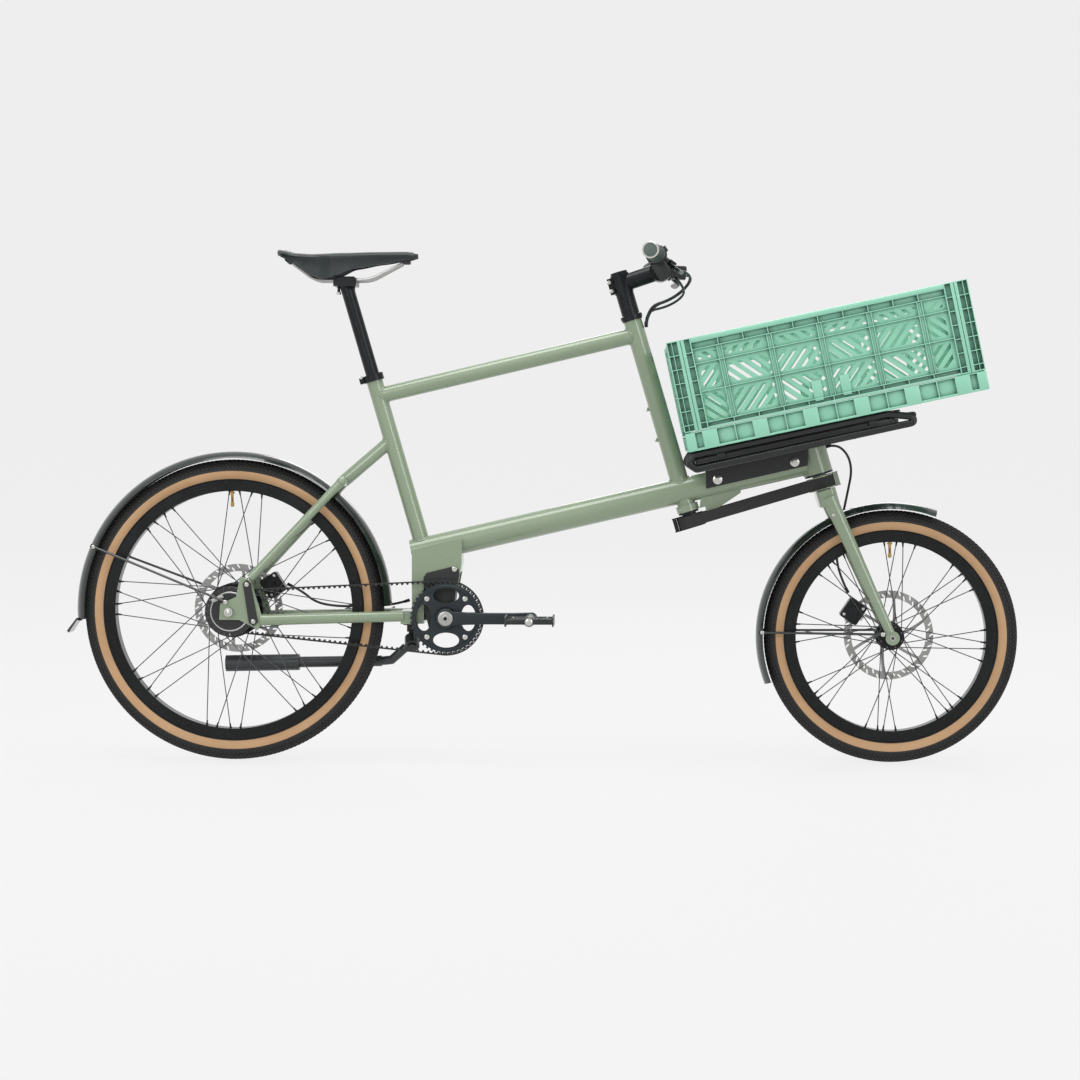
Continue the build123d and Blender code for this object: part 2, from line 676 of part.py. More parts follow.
def hub_interface():
    """The gear hub's fixed cable drum, between the belt sprocket and the dropout."""
    outer = -(REAR_HUB_SPACING / 2)
    inner = -(BELT_LINE + BELT_WIDTH / 2 + 3.5)
    drum = ring(REAR_AXLE_R + RUNNING_GAP, 50, outer, inner)
    lever = Pos(-14, outer - 1.5, 22) * Rot(0, -25, 0) * Box(34, 3, 6)
    return Pos(*REAR_AXLE) * (drum + lever)


def caliper(axle, rotor_y, angle):
    """A disc brake caliper over the rotor's rim: body, two pistons' pads and a mount foot."""
    body = Pos(ROTOR_R - 4, 0, 0) * Box(40, CALIPER_WIDTH, 44)
    slot = Pos(ROTOR_R - 34, 0, 0) * Box(60 + 12, ROTOR_THICK + 3.6, 60)
    body -= slot
    body = fillet(body.edges().filter_by(Axis.Y), 5)
    pads = None
    for side in (-1, 1):
        pad = Pos(ROTOR_R - 10, side * (ROTOR_THICK / 2 + 1.15), 0) * Box(18, 1.2, 30)
        pads = pad if pads is None else pads + pad
    whole = [body] + list(pads.solids())
    placed = [Pos(axle.X, rotor_y, axle.Z) * Rot(0, -angle, 0) * item for item in whole]
    return group(*placed)


def rear_caliper():
    return caliper(REAR_AXLE, REAR_HUB_SPACING / 2 - ROTOR_INBOARD, 33)


def front_caliper():
    return caliper(FRONT_AXLE, FRONT_HUB_SPACING / 2 - ROTOR_INBOARD, 146)


def bearing_cup(plane, low, outer_r, height):
    """A ring round the steerer, standing on a level of the steering axis."""
    cup = Cylinder(outer_r, height) - Cylinder(STEERER_R + RUNNING_GAP, height)
    return plane * Pos(0, 0, low + height / 2) * cup


def steering_bearings():
    """Upper and lower bearing cups of the column and of the fork's head tube, and a dust cover."""
    cups = []
    for w in (COLUMN_LOW - CUP_HEIGHT, COLUMN_TOP):
        cups.append(bearing_cup(COLUMN, w, COLUMN_R + 2, CUP_HEIGHT))
    for w in (HEAD_TUBE_LOW - CUP_HEIGHT, HEAD_TUBE_TOP):
        cups.append(bearing_cup(FORK, w, HEAD_TUBE_R, CUP_HEIGHT))
    cups.append(bearing_cup(COLUMN, COLUMN_TOP + CUP_HEIGHT, COLUMN_R + 3.5, DUST_COVER_HEIGHT))
    return group(*cups)


def seat_clamp():
    """The band and bolt that hold the seatpost."""
    mid = seat_axis(SEAT_TUBE_TOP_Z - 5)
    tilt = Plane(mid, z_dir=seat_axis(900) - seat_axis(500))
    band = tilt * (Cylinder(SEAT_TUBE_R + 4, 14) - Cylinder(SEAT_TUBE_R, 14))
    lug = tilt * Pos(-SEAT_TUBE_R - 7, 0, 0) * Box(10, 14, 12)
    bolt = tilt * Pos(-SEAT_TUBE_R - 8, 0, 0) * Rot(90, 0, 0) * Cylinder(3, 22)
    lug -= rod(seat_axis(700), seat_axis(820), SEAT_TUBE_R)
    return band + lug + bolt


# ---------------------------------------------------------------- fenders and stand
def fender_section(radius):
    centre = radius - FENDER_CROWN_R
    band = Pos(centre) * (Circle(FENDER_CROWN_R) - Circle(FENDER_CROWN_R - FENDER_THICK))
    edge = sqrt(FENDER_CROWN_R ** 2 - FENDER_HALF_WIDTH ** 2)
    keep = Pos(centre + edge + FENDER_CROWN_R) * Rectangle(2 * FENDER_CROWN_R, 2 * FENDER_HALF_WIDTH)
    return band & keep


def fender_edge_r(radius):
    """Where the fender's side edge is, from the axle."""
    return radius - FENDER_CROWN_R + sqrt(FENDER_CROWN_R ** 2 - FENDER_HALF_WIDTH ** 2)


def stay_rods(axle, y_low, foot, radius, angle):
    """One rod on each side, from a boss by the axle to the fender's edge."""
    edge_r = fender_edge_r(radius) + 2
    tip = (axle.X + edge_r * cos(radians(angle)), axle.Z + edge_r * sin(radians(angle)))
    rods = []
    for side in (-1, 1):
        start = (axle.X + foot[0], side * y_low, axle.Z + foot[1])
        end = (tip[0], side * (FENDER_HALF_WIDTH + 2.6), tip[1])
        rods.append(rod(start, end, 2.5))
    return rods


def rear_fender():
    section = fender_section(REAR_FENDER_R)
    blade = Pos(*REAR_AXLE) * turned(section, REAR_FENDER_FROM, REAR_FENDER_TO - REAR_FENDER_FROM)
    end_x = -REAR_FENDER_R * cos(radians(REAR_FENDER_TO - 180))
    end_z = REAR_TYRE_R - REAR_FENDER_R * sin(radians(REAR_FENDER_TO - 180))
    flap = plate(
        [
            (REAR_X + end_x + 5, end_z + 6),
            (REAR_X + end_x + 1, end_z + 6),
            (REAR_X - BACK_REACH, end_z - 20),
            (REAR_X - BACK_REACH + 4, end_z - 24),
        ],
        -FENDER_HALF_WIDTH + 5,
        FENDER_HALF_WIDTH - 5,
    )
    flap -= blade
    flap = flap.solids().sort_by(SortBy.VOLUME)[-1]
    face = REAR_HUB_SPACING / 2 + DROPOUT_THICK + 4
    rods = stay_rods(REAR_AXLE, face, (-6, 20), REAR_FENDER_R, 155.5)
    return group(blade, flap, *rods)


def front_fender():
    section = fender_section(FRONT_FENDER_R)
    blade = Pos(*FRONT_AXLE) * turned(section, FRONT_FENDER_FROM, FRONT_FENDER_TO - FRONT_FENDER_FROM)
    face = FRONT_HUB_SPACING / 2 + 14
    rods = stay_rods(FRONT_AXLE, face, (-20, 8), FRONT_FENDER_R, 178)
    return group(blade, *rods)


STAND_OUT = (0.58, 0.55, -0.60)


def stand_axis():
    """The stand's hinge axis, square to the stowed and to the lowered leg."""
    stowed = Vector(-1, 0, -0.12).normalized()
    lowered = Vector(*STAND_OUT).normalized()
    return stowed.cross(lowered).normalized()


def stand_turn():
    stowed = Vector(-1, 0, -0.12).normalized()
    return stowed.get_angle(Vector(*STAND_OUT))


def stand_bracket():
    """The plate under the chain stay yoke that carries the stand, with its pivot pin."""
    pivot = at(STAND_PIVOT[0], STAND_Y, STAND_PIVOT[1])
    axis = stand_axis()
    pin = rod(pivot - axis * 13, pivot + axis * 14, STAND_PIN_R)
    head = rod(pivot + axis * 14, pivot + axis * 18, 9)
    foot = rod(pivot - axis * 17, pivot - axis * 12, 10)
    top = Pos(*at(356, 24, 275.3)) * Box(26, 68, 4)
    post = Pos(*at(356, 52, 266)) * Box(22, 11, 20)
    arm = rod(at(355, 51, 260), pivot - axis * 16.5, 7)
    return top + post + arm + foot + pin + head


def stand_leg():
    """The stand's leg: a head on the pivot, a curved arm, the tube and its foot sleeve."""
    pivot = at(STAND_PIVOT[0], STAND_Y, STAND_PIVOT[1])
    axis = stand_axis()
    hole = rod(pivot - axis * 30, pivot + axis * 30, STAND_PIN_R + RUNNING_GAP)
    head = rod(pivot - axis * 11, pivot + axis * 13, 15)
    knee = at(STAND_PIVOT[0] - 42, STAND_Y, STAND_PIVOT[1] - 37)
    heel = at(STAND_PIVOT[0] - 62, STAND_Y, STAND_PIVOT[1] - 39)
    step = (knee - pivot).normalized() * 16
    arm = rod(pivot + step, knee, 9) + Pos(*knee) * Sphere(9) + rod(knee, heel, 9)
    far = at(STAND_PIVOT[0] - 230, STAND_Y, STAND_PIVOT[1] - 42)
    tip = at(STAND_PIVOT[0] - STAND_LENGTH, STAND_Y, STAND_PIVOT[1] - 45)
    tube = rod(heel, far, 11)
    sleeve = rod(far, tip, 16.5)
    return head + arm + tube + sleeve - hole


# ---------------------------------------------------------------- drive
def sprocket(teeth, web_in, y_mid):
    """A belt sprocket with square-cut teeth and a guide flange."""
    pitch_r = teeth * BELT_PITCH / (2 * pi)
    tip_r = pitch_r - BELT_LAND - SOFT_GAP
    root_r = tip_r - TOOTH_DEPTH
    face = Circle(root_r)
    tooth = Pos(root_r, 0) * Rectangle(2 * TOOTH_DEPTH - 1, TOOTH_SHARE * BELT_PITCH)
    for index in range(teeth):
        face += Rot(0, 0, index * 360 / teeth) * tooth
    face = face & Circle(tip_r)
    face -= Circle(web_in)
    return Pos(0, y_mid + BELT_WIDTH / 2, 0) * across(extrude(face, BELT_WIDTH))


def front_sprocket():
    """The crank's sprocket with its four-armed spider."""
    toothed = sprocket(FRONT_TEETH, FRONT_PITCH_R - 12, -BELT_LINE)
    web = Circle(FRONT_PITCH_R - 8) - Circle(CRANK_AXLE_R + 2)
    for index in range(4):
        window = Pos(FRONT_PITCH_R - 29, 0) * Ellipse(15, 26)
        web -= Rot(0, 0, index * 90) * window
    spider = Pos(0, -BELT_LINE - SPIDER_OFFSET, 0) * across(extrude(web, SPIDER_THICK))
    return Pos(*BB) * (toothed + spider)


def rear_sprocket():
    toothed = sprocket(REAR_TEETH, REAR_AXLE_R + RUNNING_GAP, -BELT_LINE)
    inner_face = -BELT_LINE + BELT_WIDTH / 2
    hub = ring(REAR_AXLE_R + RUNNING_GAP, REAR_PITCH_R - 10, inner_face, inner_face + 0.4)
    guide = ring(REAR_AXLE_R + RUNNING_GAP, REAR_PITCH_R + 4, inner_face + 0.4, inner_face + 2)
    return Pos(*REAR_AXLE) * (toothed + hub + guide)


def drive_belt():
    """The toothed drive belt, shown by its loop."""
    span = sqrt((BB.X - REAR_AXLE.X) ** 2 + (BB.Z - REAR_AXLE.Z) ** 2)
    outer = loop_face(FRONT_PITCH_R + BELT_BACK, REAR_PITCH_R + BELT_BACK, span)
    inner = loop_face(FRONT_PITCH_R - BELT_LAND, REAR_PITCH_R - BELT_LAND, span)
    flat = extrude(outer - inner, BELT_WIDTH)
    slope = degrees(atan2(REAR_AXLE.Z - BB.Z, REAR_AXLE.X - BB.X))
    return Pos(BB.X, -BELT_LINE + BELT_WIDTH / 2, BB.Z) * Rot(0, -slope, 0) * across(flat)


def crank_arm(side):
    """One crank arm, reaching forward, with its axle eye and the hole for the pedal."""
    disc = Pos(0, 0, -CRANK_THICK / 2)
    arm = Pos(CRANK_LENGTH / 2, 0, 0) * Box(CRANK_LENGTH, CRANK_THICK, CRANK_HEIGHT)
    arm += across(disc * extrude(Circle(CRANK_EYE_R), CRANK_THICK))
    arm += Pos(CRANK_LENGTH, 0, 0) * across(disc * extrude(Circle(CRANK_HEIGHT / 2), CRANK_THICK))
    arm = Pos(0, side * (CRANK_INNER_Y + CRANK_THICK / 2), 0) * arm
    arm -= cross_rod(0, 0, -200, 200, CRANK_AXLE_R)
    return arm - cross_rod(CRANK_LENGTH, 0, -200, 200, PEDAL_EYE_R)


def cranks():
    """Both crank arms, the axle through the bottom bracket and the two pedal spindles."""
    outer = CRANK_INNER_Y + CRANK_THICK
    right = crank_arm(-1)
    left = Rot(0, 180, 0) * crank_arm(1)
    axle = cross_rod(0, 0, -outer - 2, outer + 2, CRANK_AXLE_R)
    spider_face = -BELT_LINE - SPIDER_OFFSET - SPIDER_THICK
    carrier = cross_rod(0, 0, -CRANK_INNER_Y, spider_face, CRANK_EYE_R)
    carrier -= cross_rod(0, 0, -200, 200, CRANK_AXLE_R)
    spindles = []
    for side, x in ((-1, CRANK_LENGTH), (1, -CRANK_LENGTH)):
        inner = cross_rod(x, 0, side * CRANK_INNER_Y, side * outer, PEDAL_EYE_R)
        long = cross_rod(x, 0, side * outer, side * (outer + SPINDLE_LENGTH), PEDAL_SPINDLE_R)
        spindles.append(inner + long)
    return Pos(*BB) * group(axle, right, left, carrier, *spindles)


def pedal(side):
    """A cage pedal: a barrel on the spindle and a rectangular cage round it."""
    outer = CRANK_INNER_Y + CRANK_THICK
    y_low = outer + PEDAL_GAP
    y_high = outer + SPINDLE_LENGTH + 4
    width = y_high - y_low
    mid = side * (y_low + y_high) / 2
    cage = Box(PEDAL_LENGTH, width - 6, PEDAL_HEIGHT)
    cage -= Box(PEDAL_LENGTH - 2 * PEDAL_CAGE_WALL, width - 6 - 2 * PEDAL_CAGE_WALL, PEDAL_HEIGHT)
    barrel = across(Pos(0, 0, -width / 2) * extrude(Circle(11), width))
    bridge = Box(PEDAL_LENGTH - 4, 12, 10)
    body = Pos(0, mid, 0) * (cage + barrel + bridge)
    deep = side * (outer + SPINDLE_LENGTH + 1)
    body -= cross_rod(0, 0, min(0, deep), max(0, deep), PEDAL_SPINDLE_R + RUNNING_GAP)
    x = CRANK_LENGTH if side < 0 else -CRANK_LENGTH
    return Pos(BB.X + x, 0, BB.Z) * body


# ---------------------------------------------------------------- steering
def steer_pulley():
    """A belt pulley with its clamp block, turned so that the block is at the back."""
    half = STEER_BELT_WIDTH / 2
    drum = Cylinder(STEER_BELT_R - SOFT_GAP, STEER_BELT_WIDTH)
    for w in (-half - 1.2, half + 1.2):
        drum += Pos(0, 0, w) * Cylinder(STEER_BELT_R + STEER_BELT_THICK, 2)
    clamp_u = -(STEER_BELT_R + STEER_BELT_THICK + SOFT_GAP + 4)
    block = Pos(clamp_u, 0, 0) * Box(8, 16, STEER_BELT_WIDTH + 6)
    for w in (-half - 2.2, half + 2.2):
        block += Pos(clamp_u / 2 - 5, 0, w) * Box(-clamp_u, 12, 2)
    return drum + block


def steerer():
    """The column's inner shaft, carrying its pulley at the bottom and the stem at the top."""
    top = STEM_MID + STEM_CLAMP_HEIGHT / 2
    shaft = Pos(0, 0, -12) * Cylinder(STEERER_R, top + 12, align=(Align.CENTER, Align.CENTER, Align.MIN))
    bore = Pos(0, 0, 10) * Cylinder(STEERER_R - 2, top, align=(Align.CENTER, Align.CENTER, Align.MIN))
    cap = Pos(0, 0, top + 2.5) * Cylinder(17, 5)
    return COLUMN * (shaft - bore + steer_pulley() + cap)


def spacers():
    rings = []
    for index in range(SPACER_COUNT):
        w = SPACERS_LOW + SPACER_HEIGHT * (index + 0.5)
        body = Cylinder(SPACER_R, SPACER_HEIGHT - 0.6) - Cylinder(STEERER_R + 0.02, SPACER_HEIGHT)
        rings.append(COLUMN * Pos(0, 0, w) * body)
    return group(*rings)


BAR_MID = (STEM_REACH, 0.0, STEM_MID + 3.0)


def stem():
    clamp = Pos(0, 0, STEM_MID) * Cylinder(19, STEM_CLAMP_HEIGHT)
    body = clamp + rod((0, 0, STEM_MID), (BAR_MID[0], 0, BAR_MID[2]), 17)
    body += cross_rod(BAR_MID[0], BAR_MID[2], -24, 24, BAR_CLAMP_R + 6)
    body += Pos(-21, 0, STEM_MID) * Box(12, 18, STEM_CLAMP_HEIGHT - 6)
    for w in (-9, 9):
        body += Pos(-24, 0, STEM_MID + w) * Rot(90, 0, 0) * Cylinder(4, 26)
    body -= Pos(0, 0, STEM_MID) * Cylinder(STEERER_R + 0.02, STEM_CLAMP_HEIGHT + 10)
    body -= cross_rod(BAR_MID[0], BAR_MID[2], -40, 40, BAR_CLAMP_R + 0.02)
    body -= Pos(0, 0, STEM_MID + STEM_CLAMP_HEIGHT / 2 + 5) * Cylinder(17.5, 10)
    return COLUMN * body


def bar_points():
    """The right half of the handlebar's line, in the column's directions."""
    mid_u, _, mid_w = BAR_MID
    return [
        (mid_u, 0, mid_w),
        (mid_u, -42, mid_w),
        (mid_u + 4, -94, mid_w + BAR_RISE - 4),
        (mid_u + 3, -BAR_HALF + BAR_STRAIGHT, mid_w + BAR_RISE),
        (mid_u + 3 - BAR_SWEEP, -BAR_HALF, mid_w + BAR_RISE + 5),
    ]


def handlebar():
    right = bar_points()
    left = [(u, -v, w) for u, v, w in right]
    points = left[:0:-1] + right[1:]
    bar = path_tube(points, [40, 50, 90, 90, 50, 40], BAR_R)
    bulge = cross_rod(BAR_MID[0], BAR_MID[2], -28, 28, BAR_CLAMP_R)
    return COLUMN * (bar + bulge)


def bar_station(y_from_end):
    """A point on the straight grip part of the bar, by distance from its end."""
    end = Vector(*bar_points()[-1])
    bend = Vector(*bar_points()[-2])
    return end + (bend - end).normalized() * y_from_end


def bar_bore():
    """The room that the straight part of the bar takes in whatever is on it."""
    return rod(bar_station(0), bar_station(BAR_STRAIGHT - 6), BAR_R + RUNNING_GAP)


def grips():
    """Both fixed grips. The right one is shorter, because its inner end turns."""
    end = bar_station(-3)
    right = rod(end, bar_station(GRIP_LENGTH - SLEEVE_LENGTH), GRIP_R) - bar_bore()
    left = rod(end, bar_station(GRIP_LENGTH), GRIP_R) - bar_bore()
    return COLUMN * group(right, mirror(left, about=Plane.XZ))


def twist_sleeve():
    """The turning inner part of the right grip, which shifts the hub."""
    start = bar_station(GRIP_LENGTH - SLEEVE_LENGTH + 0.6)
    return COLUMN * (rod(start, bar_station(GRIP_LENGTH), GRIP_R + 1) - bar_bore())


def bar_frame(station, side, drop):
    """A plane on the bar: x down and forward by the drop, y outwards along the bar."""
    seat = bar_station(station)
    out = (bar_station(0) - seat).normalized()
    if side > 0:
        seat = Vector(seat.X, -seat.Y, seat.Z)
        out = Vector(out.X, -out.Y, out.Z)
    reach = Vector(cos(radians(drop)), 0, -sin(radians(drop)))
    reach = (reach - out * reach.dot(out)).normalized()
    return Plane(seat, x_dir=reach, z_dir=reach.cross(out))


def lever_frame(side):
    """The plane of a brake lever, on the middle of its clamp."""
    return bar_frame(GRIP_LENGTH + LEVER_CLAMP_GAP, side, LEVER_DROP)


def master_cylinder(side):
    """A brake's clamp, its cylinder along the bar, and the ears that hold the lever's pin."""
    pin_x, pin_y = LEVER_PIN
    body = Rot(90, 0, 0) * Cylinder(LEVER_CLAMP_R, LEVER_CLAMP_WIDTH)
    body += Pos(20, -24, 0) * Box(16, 62, 15)
    ears = Box(14, 14, 18) - Pos(3, 0, 0) * Box(14, 20, LEVER_THICK + 0.6)
    body += Pos(32, 4, 0) * ears
    body += Pos(pin_x, pin_y, 0) * Cylinder(LEVER_PIN_R, 18)
    bore = bar_bore() if side < 0 else mirror(bar_bore(), about=Plane.XZ)
    return lever_frame(side) * body - bore


def shifter_housing():
    """The shifter's housing between the twist sleeve and the right brake's clamp."""
    frame = bar_frame(GRIP_LENGTH + 8.5, -1, LEVER_DROP + 20)
    pod = Rot(90, 0, 0) * Cylinder(19, 12) + Pos(30, 0, 8) * Box(38, 12, 28)
    return frame * pod - bar_bore()


def lever_bodies():
    """The two brake master cylinders and the shifter's housing."""
    return COLUMN * group(master_cylinder(-1), master_cylinder(1), shifter_housing())


def brake_lever(side):
    """A curved lever blade on its pivot, reaching out in front of the grip."""
    pin_x, pin_y = LEVER_PIN
    outline = [(30, 0), (40, 2), (60, 18), (64, 60), (62, 118), (54, 120), (54, 62), (48, 26), (32, 12)]
    face = make_face(Polyline(*outline, close=True))
    blade = Pos(0, 0, -LEVER_THICK / 2) * extrude(face, LEVER_THICK)
    blade += Pos(pin_x, pin_y, 0) * Cylinder(LEVER_PIN_R + 2.5, LEVER_THICK)
    blade -= Pos(pin_x, pin_y, 0) * Cylinder(LEVER_PIN_R + RUNNING_GAP, 30)
    return COLUMN * (lever_frame(side) * blade)


def front_display():
    """A small headlamp and display unit clamped beside the stem."""
    seat = Vector(BAR_MID[0], 0, BAR_MID[2])
    body = Pos(seat.X + 34, 0, seat.Z - 14) * Rot(0, 20, 0) * Box(30, 44, 26)
    arm = Pos(seat.X + 25, 0, seat.Z) * Box(10, 20, 14)
    body = fillet(body.edges(), 3) + arm
    body -= cross_rod(BAR_MID[0], BAR_MID[2], -60, 60, BAR_CLAMP_R + 6)
    return COLUMN * body.solids().sort_by(SortBy.VOLUME)[-1]


def steering_belt():
    outer = loop_face(STEER_BELT_R + STEER_BELT_THICK, STEER_BELT_R + STEER_BELT_THICK, PULLEY_SPAN)
    inner = loop_face(STEER_BELT_R, STEER_BELT_R, PULLEY_SPAN)
    return COLUMN * Pos(0, 0, -STEER_BELT_WIDTH / 2) * extrude(outer - inner, STEER_BELT_WIDTH)


FORK_CROWN_LOW = -46.0
FORK_CROWN_TOP = -15.0
BLADE_Y = 45.0


def fork():
    """Steerer, pulley, crown and the two straight blades with their dropouts."""
    shaft = Pos(0, 0, FORK_CROWN_TOP) * Cylinder(
        STEERER_R, HEAD_TUBE_TOP - FORK_CROWN_TOP + 8, align=(Align.CENTER, Align.CENTER, Align.MIN)
    )
    nut = Pos(0, 0, HEAD_TUBE_TOP + 9) * Cylinder(17, 8)
    pulley = Rot(0, 0, 180) * steer_pulley()
    crown_mid = (FORK_CROWN_LOW + FORK_CROWN_TOP) / 2
    crown = Pos(2, 0, crown_mid) * Box(40, 2 * BLADE_Y + 8, FORK_CROWN_TOP - FORK_CROWN_LOW)
    crown = fillet(crown.edges().filter_by(Axis.Z), 12)
    body = FORK * (shaft + nut + pulley + crown)
    half = FRONT_HUB_SPACING / 2
    for side in (-1, 1):
        top = local(FORK, 4, side * BLADE_Y, crown_mid)
        low = Vector(FRONT_AXLE.X, side * (half + 5.6), FRONT_AXLE.Z)
        run = low - top
        high_plane = Plane(top, x_dir=(0, 1, 0), z_dir=run)
        near_low = low - run.normalized() * 12
        low_plane = Plane(near_low, x_dir=(0, 1, 0), z_dir=run)
        blade = loft([high_plane * Ellipse(9, 15), low_plane * Ellipse(5, 9)])
        near, far = sorted((side * half, side * (half + DROPOUT_THICK)))
        body += blade + cross_rod(low.X, low.Z, near, far, 14)
    body -= cross_rod(FRONT_AXLE.X, FRONT_AXLE.Z, -90, 90, FRONT_AXLE_R + 0.01)
    return body


def front_axle():
    half = FRONT_HUB_SPACING / 2
    axle = cross_rod(FRONT_AXLE.X, FRONT_AXLE.Z, -half - 9, half + 9, FRONT_AXLE_R)
    axle += cross_rod(FRONT_AXLE.X, FRONT_AXLE.Z, half + 8, half + 14, 10)
    return axle - cross_rod(FRONT_AXLE.X, FRONT_AXLE.Z, -half - 12, -half + 20, 3)


# ---------------------------------------------------------------- saddle
def seatpost():
    """The post and its two-bolt head, which holds the saddle rails."""
    low = seat_axis(SEAT_TUBE_TOP_Z - SEATPOST_IN_FRAME)
    high = seat_axis(SEATPOST_TOP_Z)
    post = rod(low, high, SEATPOST_R) - rod(low, seat_axis(SEATPOST_TOP_Z - 12), SEATPOST_R - 2.5)
    mid = seat_axis(SEATPOST_TOP_Z)
    head = Pos(mid.X, 0, SEATPOST_TOP_Z + 4) * Box(46, 2 * RAIL_SPREAD + 16, 16)
    groove = Rot(0, 90, 0) * Cylinder(RAIL_R + 0.01, 60)
    for side in (-1, 1):
        head -= Pos(mid.X, side * RAIL_SPREAD, SEATPOST_TOP_Z + RAIL_ABOVE_POST) * groove
    for x in (-15, 15):
        head += Pos(mid.X + x, 0, SEATPOST_TOP_Z - 6) * Cylinder(3, 20)
    return post + head


def saddle_rails():
    """Two steel rails from the rear cantle plate to the nose."""
    mid = seat_axis(SEATPOST_TOP_Z)
    z = SEATPOST_TOP_Z + RAIL_ABOVE_POST
    rails = []
    for side in (-1, 1):
        points = [
            (REAR_X + SADDLE_BACK + 26, side * 40, SADDLE_TOP_Z - 26),
            (mid.X - 60, side * RAIL_SPREAD, z),
            (mid.X + 50, side * RAIL_SPREAD, z),
            (REAR_X + SADDLE_BACK + SADDLE_LENGTH - 30, side * 9, SADDLE_TOP_Z - 28),
        ]
        rails.append(path_tube(points, [40, 60], RAIL_R))
    return group(*rails)


def saddle_plan(inset):
    """The saddle's outline seen from above: broad at the back, narrow at the nose."""
    half = [(0, 54), (12, 76), (50, SADDLE_HALF_WIDTH), (80, 72)]
    half += [(110, 50), (150, 32), (200, 22), (262, 17)]
    x0 = REAR_X + SADDLE_BACK
    right = [(x0 + x + (inset if x == 0 else 0), -(y - inset)) for x, y in half]
    nose = (x0 + SADDLE_LENGTH - inset, 0)
    left = [(x, -y) for x, y in reversed(right)]
    return make_face(Polyline(*right, nose, *left, close=True))


def saddle():
    """The leather top as a plain closed shell: its plan by its side profile, hollow below."""
    x0 = REAR_X + SADDLE_BACK
    block = Pos(0, 0, SADDLE_TOP_Z - 90) * extrude(saddle_plan(0), 100)
    top = [(-1, -8), (0, 0), (60, -7), (140, -5), (SADDLE_LENGTH + 1, -3)]
    skirt = [(SADDLE_LENGTH + 1, -18), (200, -30), (120, -50), (92, -62), (70, -56), (30, -26)]
    outline = [(x0 + x, SADDLE_TOP_Z + z) for x, z in top + skirt]
    shell = block & plate(outline, -100, 100)
    room = Pos(0, 0, SADDLE_TOP_Z - 90) * extrude(saddle_plan(5), 100)
    ceiling = [(20, -95), (20, -17), (60, -16), (140, -13), (262, -11), (262, -95)]
    room = room & plate([(x0 + x, SADDLE_TOP_Z + z) for x, z in ceiling], -100, 100)
    return shell - room


# ---------------------------------------------------------------- cargo
def rack_outline():
    """One side of the rack seen from the side, in the crate's directions."""
    top = -RACK_TUBE_R
    low = -(RACK_DEPTH - RACK_TUBE_R)
    mid = (top + low) / 2
    return [
        (8, top),
        (RACK_LENGTH - RACK_NOSE, top),
        (RACK_LENGTH - 10, mid - 2),
        (RACK_LENGTH - 18, low + 2),
        (8, low),
        (-5, mid),
    ]


def rack_loop(side):
    """One closed side loop of the rack."""
    points = [(u, side * RACK_HALF_WIDTH, w) for u, w in rack_outline()]
    line = FilletPolyline(*points, radius=[8] * len(points), close=True)
    start = line @ 0.1
    return sweep(Plane(start, z_dir=line % 0.1) * Circle(RACK_TUBE_R), path=line)


def rack():
    """The cargo rack's welded bars: two side loops, cross tubes, two bearers and the slats."""
    loops = [rack_loop(side) for side in (-1, 1)]
    bars = []
    low = -(RACK_DEPTH - RACK_TUBE_R)
    slat_low = -RACK_TUBE_R - SLAT_THICK / 2
    for u, w in ((24, -RACK_TUBE_R), (200, low), (320, low), (RACK_LENGTH - 14, -18)):
        bars.append(cross_rod(u, w, -RACK_HALF_WIDTH, RACK_HALF_WIDTH, RACK_CROSS_R))
    for u in (60, 360):
        bars.append(Pos(u, 0, slat_low - 5) * Box(16, 2 * RACK_HALF_WIDTH, 10))
    solids = list(loops)
    for bar in bars:
        cut = bar - loops[0] - loops[1]
        solids.append(cut.solids().sort_by(SortBy.VOLUME)[-1])
    for v in range(-135, 136, 54):
        solids.append(Pos((RACK_LENGTH + 2) / 2, v, -RACK_TUBE_R) * Box(RACK_LENGTH - 70, 24, SLAT_THICK))
    return CRATE * group(*solids)


def rack_under_z(from_rear):
    """Height of the underside of the rack's lower cross tubes."""
    slope = radians(CRATE_TILT)
    down = (RACK_DEPTH - 1) / cos(slope)
    return CRATE_CORNER[1] + (from_rear - CRATE_CORNER[0]) * tan(slope) - down


def rack_bracket():
    """Two long plates on the main tube's bosses, which carry the rack, and their bolts."""
    reach = HEAD_TUBE_R + 1
    solids = []
    for side in (-1, 1):
        y_low = min(side * reach, side * (reach + 5))
        low = []
        high = []
        for x in (BRACKET_BACK, BRACKET_NOSE):
            low.append((REAR_X + x, main_axis_z(x) - 6))
            high.append((REAR_X + x, rack_under_z(x)))
        piece = plate([low[0], low[1], high[1], high[0]], y_low, y_low + 5)
        for x in BRACKET_BOLTS:
            z = main_axis_z(x) + 7
            boss = rod(at(x, 0, z), at(x, side * reach, z), 8) - main_outer()
            piece += boss.solids().sort_by(Axis.Y)[0 if side < 0 else -1]
        solids.append(piece)
        for x in BRACKET_BOLTS:
            z = main_axis_z(x) + 7
            solids.append(rod(at(x, side * (reach + 5), z), at(x, side * (reach + 9), z), 8))
    return group(*solids)


def crate_hinge(front, radius):
    """The round bead along the lower inner edge of an end wall, on its hinge axis."""
    inner = CRATE_WALL - END_WALL_SET_IN
    u = CRATE_LENGTH - inner if front else inner
    half = CRATE_WIDTH / 2 - CRATE_WALL - CRATE_GAP
    return cross_rod(u, CRATE_BASE + CRATE_GAP, -half, half, radius)


